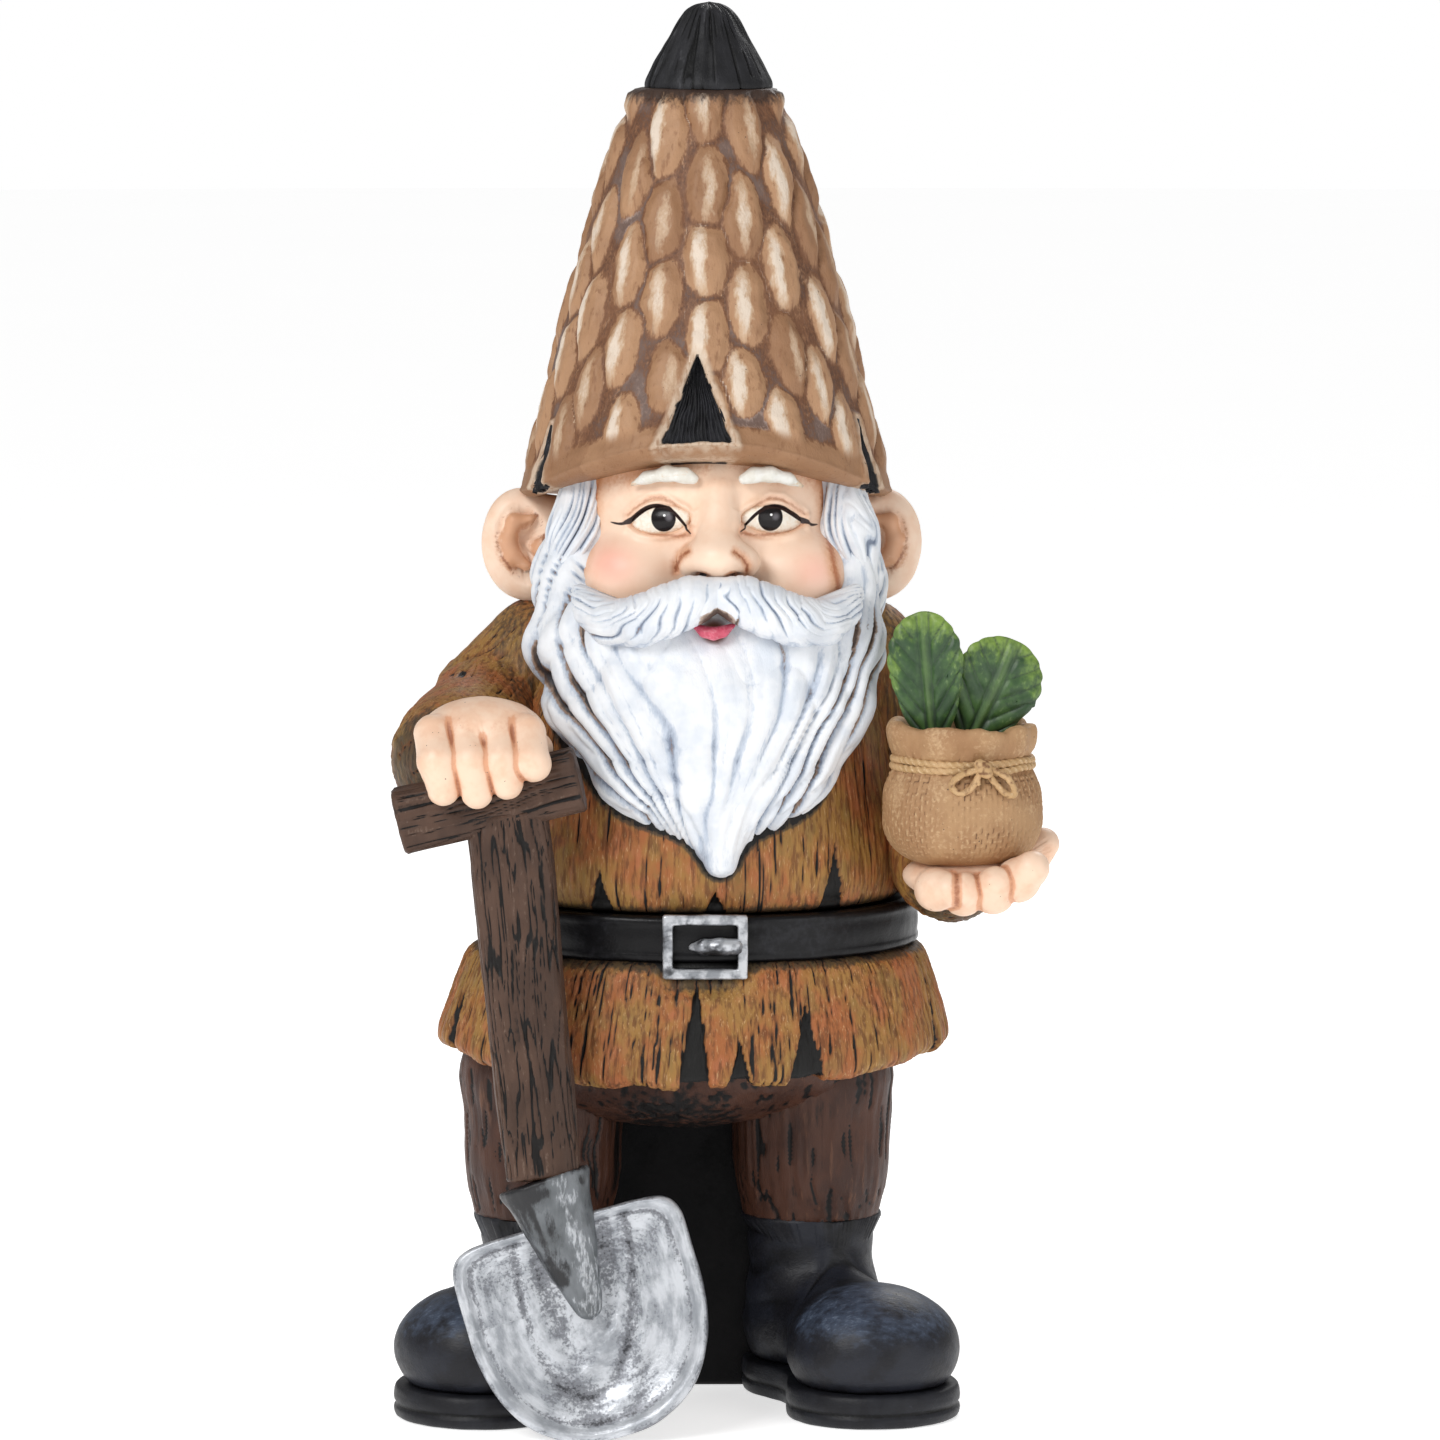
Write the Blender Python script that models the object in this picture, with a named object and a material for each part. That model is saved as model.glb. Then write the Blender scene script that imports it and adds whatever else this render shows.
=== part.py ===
"""A cast garden gnome with a spade and a sack of seedlings, as separate named pieces.

The gnome faces -Y and stands on the floor at Z = 0. Left and right are the gnome's own: its right
hand, on the -X side, holds the spade, and its left hand, on the +X side, holds the sack. Lengths are
in metres, written as millimetres times MM. The pieces are built in a working frame whose Z axis runs
up through the body, and the whole gnome is then moved so that the origin is at the middle of its base.

Organic pieces are cast: the points of a sphere are drawn in to the skin of a form, which is a set of
balls and tapered rods blended together. Round pieces are turned. Then every piece in turn is cut
back, with a clearance, from the pieces before it, so that they nest whatever their sizes. Last, one
core hollows out the skirt, the tunic, the head and the hat, as the core of a slush casting does.
"""

import math

import bmesh
import bpy
import numpy as np
from mathutils import Matrix, Vector

MM = 0.001

# ---- Driving dimensions ----

CLEARANCE = 0.3 * MM        # between pieces that touch

# heights of the stacked figure, each from the top of the one below it
SOLE_HEIGHT = 11 * MM
BOOT_HEIGHT = 51 * MM       # boot upper, on its sole
LEG_HEIGHT = 57 * MM        # boot top to the top of the trousers, inside the skirt
SKIRT_DROP = 10 * MM        # how far the hem hangs below the top of the trousers
SKIRT_HEIGHT = 29 * MM      # top of the trousers to the belt
BELT_WIDTH = 15 * MM
CHEST_HEIGHT = 87 * MM      # belt to collar
FACE_HEIGHT = 42 * MM       # collar to the hat's brim, at the sides
HAT_HEIGHT = 131 * MM       # brim, at the sides, to the foot of the black tip
TIP_HEIGHT = 27.5 * MM

# half widths across the figure, and how deep it is for its width
WAIST_HALF = 70.5 * MM      # over the belt
HEM_HALF = 83 * MM
CHEST_HALF = 66 * MM
COLLAR_HALF = 38 * MM
BODY_DEPTH = 0.80
HEAD_HALF = 47 * MM
BRIM_HALF = 59.9 * MM
HAT_DEPTH = 0.93
BRIM_ARCH = 20 * MM       # how far the brim rises over the forehead
BRIM_DIP = 7 * MM           # how far it drops behind
WALL = 8 * MM               # thickness of the casting

# legs
STANCE = 43.5 * MM            # half the distance between the boots
STANCE_MIDDLE = -7.5 * MM     # the hips stand off to the gnome's right
SPLAY = math.radians(25)    # how far each toe points outwards
BOOT_HALF = 28 * MM         # half width of the toe
CUFF_HALF = 21 * MM         # half width of the boot's shaft
SOLE_LIP = 0.6 * MM         # how far the sole stands out round the boot
THIGH_HALF = 22.5 * MM

# belt and buckle
BELT_THICKNESS = 6 * MM
BUCKLE_WIDTH = 27 * MM
BUCKLE_HEIGHT = 20.5 * MM
BUCKLE_BAR = 4 * MM
BUCKLE_THICKNESS = 4.5 * MM
PRONG_LENGTH = 14 * MM

# spade
BLADE_HALF = 38 * MM
BLADE_SHOULDER = 26 * MM    # from the middle of the blade up to its top edge
BLADE_NOSE = 45 * MM        # from the middle of the blade down to its tip
BLADE_THICKNESS = 9 * MM
BLADE_DISH = 6 * MM
BLADE_ROLL = math.radians(16.5)    # how far the blade turns in the plane facing the front
BLADE_LEAN = math.radians(9)     # how far its top leans back
SOCKET_RADIUS = 14.6 * MM
SOCKET_NOSE = 5 * MM
SHAFT_WIDTH = 27 * MM
SHAFT_OFFSET = 5.5 * MM     # the shaft meets the grip nearer the body than its middle
SHAFT_DEPTH = 20 * MM
GRIP_RADIUS = 10.4 * MM
GRIP_LENGTH = 59 * MM
GRIP_ROLL = math.radians(13.5)
SPADE_OUT = -66.5 * MM      # where the grip's middle stands, across the figure
SPADE_FRONT = -62 * MM      # and in front of it
GRIP_RISE = 38 * MM         # the grip's middle above the top of the belt
TOE_OF_SPADE = Vector((-37 * MM, -78 * MM))   # where the middle of the blade stands on the floor plan

# sack and seedlings
SACK_HALF = 25.6 * MM
SACK_HEIGHT = 45.5 * MM
SACK_DEPTH = 0.86
NECK_HALF = 21.2 * MM
NECK_AT = 33 * MM           # height of the tie above the sack's foot
TWINE_RADIUS = 1.5 * MM
SACK_PLACE = Vector((83.3 * MM, -45 * MM))
SACK_RISE = 15.5 * MM       # the sack's foot above the top of the belt
LEAF_THICKNESS = 5 * MM

# straw tears in the hat: the turn round the hat from the front, width, height and rise above the brim
TEARS = {
    "hat_tear_front": (math.radians(-3), 22 * MM, 30 * MM, 1.5 * MM),
    "hat_tear_right": (math.radians(-64), 6 * MM, 15 * MM, 4 * MM),
    "hat_tear_left": (math.radians(64), 6.5 * MM, 17 * MM, 4 * MM),
}
TEAR_DEPTH = 3 * MM
TEAR_PROUD = 0.5 * MM

# ---- Levels and places that follow from them ----

BOOT_TOP = SOLE_HEIGHT + BOOT_HEIGHT
TROUSER_TOP = BOOT_TOP + LEG_HEIGHT
HEM = TROUSER_TOP - SKIRT_DROP
BELT_BOTTOM = TROUSER_TOP + SKIRT_HEIGHT
BELT_TOP = BELT_BOTTOM + BELT_WIDTH
COLLAR = BELT_TOP + CHEST_HEIGHT
BRIM = COLLAR + FACE_HEIGHT
HAT_TOP = BRIM + HAT_HEIGHT

HAT_AXIS = Vector((1.8 * MM, 0, 0))
HEAD_CENTRE = Vector((2 * MM, 2 * MM, COLLAR + 38 * MM))
GRIP_CENTRE = Vector((SPADE_OUT, SPADE_FRONT, BELT_TOP + GRIP_RISE))
SACK_FOOT = Vector((SACK_PLACE.x, SACK_PLACE.y, BELT_TOP + SACK_RISE))

PIECES = []


# ---- Tools ----


def clear_scene():
    for obj in list(bpy.data.objects):
        bpy.data.objects.remove(obj)


def paint(name, colour, roughness=0.7, metallic=0.0):
    material = bpy.data.materials.new(name)
    material.use_nodes = True
    shader = material.node_tree.nodes["Principled BSDF"]
    shader.inputs["Base Color"].default_value = (*colour, 1)
    shader.inputs["Roughness"].default_value = roughness
    shader.inputs["Metallic"].default_value = metallic
    material.diffuse_color = (*colour, 1)
    return material


def piece(name, bm, material, triangles=None):
    """A named object from a bmesh, thinned to some number of triangles, kept in nesting order."""
    bmesh.ops.remove_doubles(bm, verts=bm.verts, dist=0.001 * MM)
    bmesh.ops.recalc_face_normals(bm, faces=bm.faces)
    mesh = bpy.data.meshes.new(name)
    bm.to_mesh(mesh)
    bm.free()
    mesh.shade_smooth()
    mesh.set_sharp_from_angle(angle=math.radians(40))
    obj = bpy.data.objects.new(name, mesh)
    bpy.context.scene.collection.objects.link(obj)
    obj.data.materials.append(material)
    if triangles and triangles < len(mesh.polygons):
        modifier = obj.modifiers.new("thin", "DECIMATE")
        modifier.ratio = triangles / len(mesh.polygons)
        apply_modifiers(obj)
    PIECES.append(obj)
    return obj


def apply_modifiers(obj):
    graph = bpy.context.evaluated_depsgraph_get()
    mesh = bpy.data.meshes.new_from_object(obj.evaluated_get(graph))
    obj.modifiers.clear()
    obj.data = mesh


def ball(centre, radii):
    return ("ball", np.array(centre, float) * MM, np.array(radii, float) * MM)


def rod(start, end, start_radius, end_radius):
    ends = np.array([start, end], float) * MM
    return ("rod", ends, (start_radius * MM, end_radius * MM))


def ball_distance(points, centre, radii):
    scaled = (points - centre) / radii
    length = np.linalg.norm(scaled, axis=1) + 1e-9
    slope = np.linalg.norm(scaled / radii, axis=1) + 1e-9
    return length * (length - 1) / slope


def rod_distance(points, ends, radii):
    run = ends[1] - ends[0]
    along = np.clip((points - ends[0]) @ run / (run @ run), 0, 1)
    nearest = ends[0] + along[:, None] * run
    radius = radii[0] + along * (radii[1] - radii[0])
    return np.linalg.norm(points - nearest, axis=1) - radius


def form_distance(points, form, blend):
    """Signed distance to the skin of balls and rods that melt together over the blend length."""
    each = []
    for kind, place, size in form:
        distance = ball_distance if kind == "ball" else rod_distance
        each.append(distance(points, place, size))
    each = np.array(each)
    nearest = each.min(axis=0)
    return nearest - blend * np.log(np.exp((nearest - each) / blend).sum(axis=0))


def cast(form, centre, blend=2 * MM, detail=4):
    """A ball of points drawn in, towards the centre, to the outermost skin of the form."""
    bm = bmesh.new()
    bmesh.ops.create_icosphere(bm, subdivisions=detail, radius=1)
    directions = np.array([v.co.normalized() for v in bm.verts])
    middle = np.array(centre, float) * MM
    reach = np.full(len(directions), 140 * MM)
    for _ in range(90):
        distance = form_distance(middle + directions * reach[:, None], form, blend)
        reach = np.maximum(reach - 0.7 * distance, 0.5 * MM)
    for vert, direction, length in zip(bm.verts, directions, reach):
        vert.co = middle + direction * length
    return bm


def turned(profile, segments=36):
    """A profile of (radius, height) points, from the axis and back to it, spun round the Z axis."""
    bm = bmesh.new()
    verts = [bm.verts.new((radius, 0, height)) for radius, height in profile]
    edges = [bm.edges.new(pair) for pair in zip(verts, verts[1:])]
    geom = verts + edges
    bmesh.ops.spin(
        bm, geom=geom, axis=(0, 0, 1), cent=(0, 0, 0), steps=segments, angle=math.tau, use_merge=True
    )
    bmesh.ops.remove_doubles(bm, verts=bm.verts, dist=0.01 * MM)
    return bm


def slab(width, depth, height):
    """A block centred on the origin."""
    bm = bmesh.new()
    bmesh.ops.create_cube(bm, size=1)
    bmesh.ops.scale(bm, vec=(width, depth, height), verts=bm.verts)
    return bm


def rounded(bm, offset, segments=2):
    edges = bm.edges[:]
    bmesh.ops.bevel(
        bm, geom=edges, offset=offset, segments=segments, profile=0.5, affect="EDGES", material=-1
    )


def trimmed(bm, point, normal):
    """Cuts off what lies on the normal's side of a plane, and closes the cut."""
    cut = bmesh.ops.bisect_plane(
        bm, geom=bm.verts[:] + bm.edges[:] + bm.faces[:], plane_co=point, plane_no=normal, clear_outer=True
    )
    rim = [item for item in cut["geom_cut"] if isinstance(item, bmesh.types.BMEdge)]
    bmesh.ops.edgenet_fill(bm, edges=rim)
    bmesh.ops.triangulate(bm, faces=[face for face in bm.faces if len(face.verts) > 4])


def move(bm, matrix):
    bmesh.ops.transform(bm, matrix=matrix, verts=bm.verts)


def along(start, end):
    """The placement that turns a piece standing on the Z axis to run from start towards end."""
    up = (end - start).normalized()
    across = (Vector((1, 0, 0)) - up * up.x).normalized()
    if abs(up.x) > 0.9:
        across = (Vector((0, 0, 1)) - up * up.z).normalized()
    turn = Matrix((across, up.cross(across), up)).transposed().to_4x4()
    return Matrix.Translation(start) @ turn


def swollen_copy(obj, gap):
    """A cutter: the piece with its skin moved out evenly by the gap."""
    bm = bmesh.new()
    bm.from_mesh(obj.data)
    bm.normal_update()
    moves = [vert.normal * gap * min(vert.calc_shell_factor(), 2) for vert in bm.verts]
    for vert, step in zip(bm.verts, moves):
        vert.co += step
    mesh = bpy.data.meshes.new("cutter")
    bm.to_mesh(mesh)
    bm.free()
    cutter = bpy.data.objects.new("cutter", mesh)
    bpy.context.scene.collection.objects.link(cutter)
    cutter.hide_render = True
    cutter.display_type = "WIRE"
    return cutter


def boolean(obj, cutter, operation):
    """Applies a Boolean, then drops the cutter and any crumb that the cut has split off."""
    modifier = obj.modifiers.new("cut", "BOOLEAN")
    modifier.operation = operation
    modifier.solver = "EXACT"
    modifier.object = cutter
    apply_modifiers(obj)
    bpy.data.objects.remove(cutter)
    bm = bmesh.new()
    bm.from_mesh(obj.data)
    bmesh.ops.remove_doubles(bm, verts=bm.verts, dist=0.001 * MM)
    bmesh.ops.dissolve_degenerate(bm, edges=bm.edges, dist=0.001 * MM)
    drop_crumbs(bm)
    bm.to_mesh(obj.data)
    bm.free()


def drop_crumbs(bm):
    """Keeps the body with the most corners."""
    left = set(bm.verts)
    bodies = []
    while left:
        body, edge = set(), [left.pop()]
        while edge:
            vert = edge.pop()
            body.add(vert)
            for link in vert.link_edges:
                other = link.other_vert(vert)
                if other in left:
                    left.remove(other)
                    edge.append(other)
        bodies.append(body)
    biggest = max(bodies, key=spread)
    crumbs = [vert for body in bodies if body is not biggest for vert in body]
    bmesh.ops.delete(bm, geom=crumbs, context="VERTS")


def spread(verts):
    """The diagonal of the box round some corners."""
    places = np.array([vert.co for vert in verts])
    return float(np.linalg.norm(places.max(axis=0) - places.min(axis=0)))


def box_of(obj):
    corners = np.array([vert.co for vert in obj.data.vertices])
    return corners.min(axis=0), corners.max(axis=0)


def boxes_meet(first, second):
    (low_a, high_a), (low_b, high_b) = box_of(first), box_of(second)
    return bool(((low_a - CLEARANCE) < high_b).all() and ((low_b - CLEARANCE) < high_a).all())


def nest(pieces):
    """Cuts each piece back from every piece before it, taken whole, that it would run into."""
    whole = [obj.copy() for obj in pieces]
    for copy in whole:
        copy.data = copy.data.copy()
    for index, obj in enumerate(pieces):
        for earlier in whole[:index]:
            if boxes_meet(obj, earlier):
                boolean(obj, swollen_copy(earlier, CLEARANCE), "DIFFERENCE")
    for copy in whole:
        bpy.data.objects.remove(copy)


# ---- Spade ----


def blade_frame():
    """Places the blade: X across it, Z up it, Y through it. Its tip touches the floor."""
    turn = Matrix.Rotation(-BLADE_ROLL, 4, "Y") @ Matrix.Rotation(-BLADE_LEAN, 4, "X")
    low = min((turn @ point).z for point in blade_rim())
    return Matrix.Translation((TOE_OF_SPADE.x, TOE_OF_SPADE.y, -low)) @ turn


def blade_outline(angle):
    """How far the blade's edge is from its middle: square at the shoulders, round at the nose."""
    across, up = math.cos(angle), math.sin(angle)
    length, power = (BLADE_SHOULDER, 7) if up > 0 else (BLADE_NOSE, 2.3)
    return (abs(across / BLADE_HALF) ** power + abs(up / length) ** power) ** (-1 / power)


def blade_rim():
    turns = [math.tau * step / 48 for step in range(48)]
    half = BLADE_THICKNESS / 2
    return [
        Vector((blade_outline(turn) * math.cos(turn), side, blade_outline(turn) * math.sin(turn)))
        for turn in turns
        for side in (-half, half)
    ]


def spade_blade(steel):
    """A round blank drawn out to the blade's outline and dished towards the front."""
    half = BLADE_THICKNESS / 2
    rings = [0, 0.35, 0.7, 0.93]
    front = [(ring, -half) for ring in rings]
    back = [(ring, half) for ring in reversed(rings)]
    bm = turned(front + [(1, -half * 0.5), (1, half * 0.5)] + back, 32)
    for vert in bm.verts:
        x, y, depth = vert.co
        radius = math.hypot(x, y)
        turn = math.atan2(y, x)
        edge = blade_outline(turn) if radius else 0
        dish = BLADE_DISH * (1 - radius**2)
        vert.co = (edge * x, depth + dish, edge * y)
    move(bm, blade_frame())
    return piece("spade_blade", bm, steel)


def socket_ends():
    """The socket runs up out of the dish, on the blade's own centre line, and turns to the shaft."""
    foot = blade_frame() @ Vector((1 * MM, -3 * MM, -2 * MM))
    head = blade_frame() @ Vector((-1 * MM, -4.5 * MM, BLADE_SHOULDER + 14 * MM))
    return foot, head


def spade_socket(steel):
    foot, head = socket_ends()
    length = (head - foot).length
    profile = [(0, -SOCKET_NOSE), (SOCKET_NOSE * 0.7, -SOCKET_NOSE * 0.7), (SOCKET_NOSE, 0)]
    profile += [(SOCKET_NOSE + (SOCKET_RADIUS - SOCKET_NOSE) * t**0.75, length * t) for t in (0.35, 0.7, 1)]
    profile += [(0, length)]
    bm = turned(profile, 24)
    bmesh.ops.scale(bm, vec=(1, SHAFT_DEPTH / SHAFT_WIDTH, 1), verts=bm.verts)
    move(bm, along(foot, head))
    return piece("spade_socket", bm, steel)


def spade_shaft(wood):
    """A stout rounded pole from the socket up to the grip."""
    start = socket_ends()[1]
    run = GRIP_CENTRE + Vector((SHAFT_OFFSET, 0, 0)) - start
    end = start + run * (1 - CLEARANCE / run.length)
    length = (end - start).length
    half = SHAFT_WIDTH / 2
    slim = half * 0.97
    profile = [(0, 0), (slim, 0), (slim, length / 2), (half, length * 0.9), (half, length), (0, length)]
    bm = turned(profile, 24)
    bmesh.ops.scale(bm, vec=(1, SHAFT_DEPTH / SHAFT_WIDTH, 1), verts=bm.verts)
    move(bm, along(start, end))
    return piece("spade_shaft", bm, wood)


def spade_grip(wood):
    """The cross bar of the T, tilted with the spade."""
    half = GRIP_LENGTH / 2
    round_over = 2 * MM
    profile = [(0, -half), (GRIP_RADIUS - round_over, -half), (GRIP_RADIUS, -half + round_over)]
    profile += [(GRIP_RADIUS, half - round_over), (GRIP_RADIUS - round_over, half), (0, half)]
    bm = turned(profile, 24)
    lean = Vector((math.cos(GRIP_ROLL), 0, math.sin(GRIP_ROLL)))
    move(bm, along(GRIP_CENTRE, GRIP_CENTRE + lean))
    return piece("spade_grip", bm, wood)


# ---- Legs ----


def boot_frame(side):
    """Places a boot: its own -Y points to the toe, and its shaft stands at its origin."""
    place = Vector((STANCE_MIDDLE + side * STANCE, 0, 0))
    return Matrix.Translation(place) @ Matrix.Rotation(side * SPLAY, 4, "Z")


def boot_form():
    wide, cuff = BOOT_HALF / MM, CUFF_HALF / MM
    top = BOOT_TOP / MM
    sole = SOLE_HEIGHT / MM
    return [
        ball((0, -46, sole + 11), (wide, wide * 0.95, 20)),
        rod((0, -34, sole + 9), (0, -4, sole + 18), wide * 0.68, cuff * 0.86),
        ball((0, 3, sole + 10), (cuff * 0.93, cuff, 20)),
        rod((0, 0, sole + 16), (0, 0, top + 6), cuff * 0.93, cuff * 0.97),
        ball((0, 0, top - 2), (cuff * 1.06, cuff * 1.04, 5)),
    ]


def boot(name, side, leather):
    bm = cast(boot_form(), (0, -12, (SOLE_HEIGHT / MM) + 17), 3 * MM, 4)
    trimmed(bm, (0, 0, BOOT_TOP), (0, 0, 1))
    trimmed(bm, (0, 0, SOLE_HEIGHT + CLEARANCE), (0, 0, -1))
    move(bm, boot_frame(side))
    return piece(name, bm, leather, 480)


def sole(name, side, rubber):
    """A slab cut to the boot's footprint, with a lip all round it."""
    bm = bmesh.new()
    bmesh.ops.create_circle(bm, cap_ends=True, radius=1, segments=36)
    ground = SOLE_HEIGHT + 7 * MM
    middle = np.array((0, -22 * MM, ground))
    turns = np.array([vert.co[:] for vert in bm.verts])
    reach = np.full(len(turns), 90 * MM)
    for _ in range(90):
        distance = form_distance(middle + turns * reach[:, None], boot_form(), 3 * MM)
        reach -= 0.7 * distance
    for vert, turn, length in zip(bm.verts, turns, reach):
        vert.co = Vector((0, middle[1], 0)) + Vector(turn) * (length + SOLE_LIP)
    grown = bmesh.ops.extrude_face_region(bm, geom=bm.faces[:])
    top = [item for item in grown["geom"] if isinstance(item, bmesh.types.BMVert)]
    bmesh.ops.translate(bm, vec=(0, 0, SOLE_HEIGHT), verts=top)
    move(bm, boot_frame(side))
    return piece(name, bm, rubber)


def trousers(wool):
    """Two baggy legs and the seat, in one."""
    foot, top = BOOT_TOP / MM, TROUSER_TOP / MM
    middle = STANCE_MIDDLE / MM
    thigh = THIGH_HALF / MM
    seat_form = [ball((middle + 3, 0, top - 6), (HEM_HALF / MM - 18, 44, 25))]
    bm = cast(seat_form, (middle, 0, top - 8), 2 * MM, 4)
    trimmed(bm, (0, 0, TROUSER_TOP), (0, 0, 1))
    seat = piece("trousers", bm, wool, 320)
    for side in (-1, 1):
        across = middle + side * STANCE / MM
        leg_form = [
            rod((across, 0, foot - 8), (across, 0, foot + 14), thigh * 0.94, thigh * 1.03),
            rod((across, 0, foot + 14), (across, 0, top - 16), thigh * 1.03, thigh * 1.2),
        ]
        leg = cast(leg_form, (across, 0, foot + 16), 3 * MM, 4)
        trimmed(leg, (0, 0, BOOT_TOP + CLEARANCE), (0, 0, -1))
        trimmed(leg, (0, 0, TROUSER_TOP - 6 * MM), (0, 0, 1))
        limb = piece("leg", leg, wool, 300)
        PIECES.remove(limb)
        boolean(seat, limb, "UNION")
    return seat


def leg_web(black):
    """The mass of casting behind and between the boots, which ties the legs together."""
    depth = 24 * MM
    height = BOOT_TOP + LEG_HEIGHT * 0.62
    width = 2 * STANCE - 2 * CUFF_HALF + 24 * MM
    bm = slab(width, depth, height)
    rounded(bm, 2 * MM, 1)
    move(bm, Matrix.Translation((STANCE_MIDDLE, 17 * MM, height / 2)))
    return piece("leg_web", bm, black)


# ---- Belt, skirt and tunic ----


def oval(bm, depth=BODY_DEPTH):
    bmesh.ops.scale(bm, vec=(1, depth, 1), verts=bm.verts)


def tunic_skirt(cloth):
    """A bell from the belt down to the hem, which rises a little at the sides."""
    waist = WAIST_HALF - BELT_THICKNESS
    rise = BELT_BOTTOM - HEM
    profile = [
        (0, HEM + 0.02 * rise),
        (HEM_HALF - 6 * MM, HEM),
        (HEM_HALF - 1 * MM, HEM + 0.04 * rise),
        (HEM_HALF, HEM + 0.12 * rise),
        (HEM_HALF - 3 * MM, HEM + 0.4 * rise),
        (HEM_HALF - 7 * MM, HEM + 0.72 * rise),
        (WAIST_HALF + 3 * MM, HEM + 0.92 * rise),
        (WAIST_HALF - 1.5 * MM, BELT_BOTTOM - CLEARANCE),
        (waist, BELT_BOTTOM - CLEARANCE),
        (waist, BELT_TOP),
        (0, BELT_TOP),
    ]
    bm = turned(profile, 32)
    for vert in bm.verts:
        side = min((vert.co.x / HEM_HALF) ** 2, 1)
        low = max(0, 1 - (vert.co.z - HEM) / rise)
        vert.co.z += 6 * MM * side * low
        vert.co.x -= (1 + 1.5 * low) * MM
    oval(bm)
    return piece("tunic_skirt", bm, cloth)


def tunic_body(cloth):
    """The chest, puffed out over the belt and drawn in to the collar."""
    rise = CHEST_HEIGHT
    foot = BELT_TOP + CLEARANCE
    profile = [
        (0, foot),
        (WAIST_HALF - 7 * MM, foot),
        (CHEST_HALF, foot + 0.05 * rise),
        (CHEST_HALF + 1 * MM, foot + 0.15 * rise),
        (CHEST_HALF - 2 * MM, foot + 0.35 * rise),
        (CHEST_HALF - 4 * MM, foot + 0.6 * rise),
        (CHEST_HALF - 7 * MM, foot + 0.8 * rise),
        (COLLAR_HALF + 8 * MM, foot + 0.93 * rise),
        (COLLAR_HALF, COLLAR - CLEARANCE),
        (0, COLLAR - CLEARANCE),
    ]
    bm = turned(profile, 28)
    oval(bm)
    return piece("tunic_body", bm, cloth)


def belt(leather):
    outside, inside = WAIST_HALF, WAIST_HALF - BELT_THICKNESS + CLEARANCE
    edge = 0.8 * MM
    profile = [
        (inside, BELT_BOTTOM),
        (outside - edge, BELT_BOTTOM),
        (outside, BELT_BOTTOM + edge),
        (outside, BELT_TOP - edge),
        (outside - edge, BELT_TOP),
        (inside, BELT_TOP),
        (inside, BELT_BOTTOM),
    ]
    bm = turned(profile, 32)
    oval(bm)
    return piece("belt", bm, leather)


def buckle_centre():
    front = WAIST_HALF * BODY_DEPTH
    return Vector((1.6 * MM, -front - 0.2 * MM, (BELT_BOTTOM + BELT_TOP) / 2 - 1.8 * MM))


def belt_buckle(silver):
    """A square frame, set into the front of the belt."""
    bm = slab(BUCKLE_WIDTH, BUCKLE_THICKNESS, BUCKLE_HEIGHT)
    rounded(bm, 0.8 * MM)
    move(bm, Matrix.Translation(buckle_centre()))
    frame = piece("belt_buckle", bm, silver)
    hole = slab(BUCKLE_WIDTH - 2 * BUCKLE_BAR, 4 * BUCKLE_THICKNESS, BUCKLE_HEIGHT - 2 * BUCKLE_BAR)
    move(hole, Matrix.Translation(buckle_centre()))
    window = piece("window", hole, silver)
    PIECES.remove(window)
    boolean(frame, window, "DIFFERENCE")
    return frame


def buckle_prong(silver):
    """The tongue, from the frame's left bar across the window."""
    width, thickness = 3.2 * MM, 3 * MM
    bm = slab(PRONG_LENGTH, thickness, width)
    rounded(bm, 0.8 * MM)
    reach = Vector((BUCKLE_WIDTH / 2 - BUCKLE_BAR - PRONG_LENGTH / 2 - CLEARANCE, 0, 0))
    move(bm, Matrix.Translation(buckle_centre() + reach + Vector((0, -0.5 * MM, 0))))
    return piece("buckle_prong", bm, silver)


# ---- Arms and hands ----


def local(place, *offset):
    """A point in millimetres, from an offset in millimetres to a place."""
    return tuple(np.array(place) / MM + np.array(offset, float))


def fist(skin):
    """The right hand over the grip: palm on top, four fingers down the front and the thumb behind."""
    at = GRIP_CENTRE
    radius = GRIP_RADIUS / MM
    form = [
        ball(local(at, -2, 1, radius + 10), (20, 15, 13)),
        rod(local(at, -4, 6, radius + 4), local(at, -8, 22, radius), 13, 14),
        rod(local(at, 15, 8, radius + 5), local(at, 13, radius + 5, -6), 5, 4.5),
    ]
    knuckles = [(-17.5, -14, 1), (-7.5, -3.5, 0), (2.5, 6, 3), (12, 14.5, 9)]
    for start, end, lift in knuckles:
        middle = (start + end) / 2
        form.append(rod(local(at, start, -7, radius + 12), local(at, middle, -radius - 4, 14), 6.4, 6))
        form.append(rod(local(at, middle, -radius - 4, 14), local(at, end, -radius - 4, 4 + lift), 6, 5))
    bm = cast(form, local(at, -2, -1, radius), 1 * MM, 5)
    return piece("hand_right", bm, skin, 900)


def open_hand(skin):
    """The left hand, palm up under the sack, with its fingers curling up the front."""
    at = SACK_FOOT
    form = [
        ball(local(at, 4, 3, -4), (23, 19, 8)),
        rod(local(at, 2, 14, -5), local(at, 0, 26, -7), 12, 13),
        rod(local(at, 20, 8, -2), local(at, 26, 4, 6), 6.5, 5),
    ]
    fingers = [(-9, -6, -4, -5.5), (0, -7.5, 0, -5.5), (9, -7, 10, -3.5), (17, -3, 22, 1.5)]
    for x, z, tip_x, tip_z in fingers:
        form.append(rod(local(at, x + 1, -6, z), local(at, x, -17, z), 6.5, 6.5))
        form.append(rod(local(at, x, -17, z), local(at, tip_x - 0.5, -21, tip_z), 6.3, 5.4))
    bm = cast(form, local(at, 6, 0, -6), 1 * MM, 5)
    return piece("hand_left", bm, skin, 760)


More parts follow.
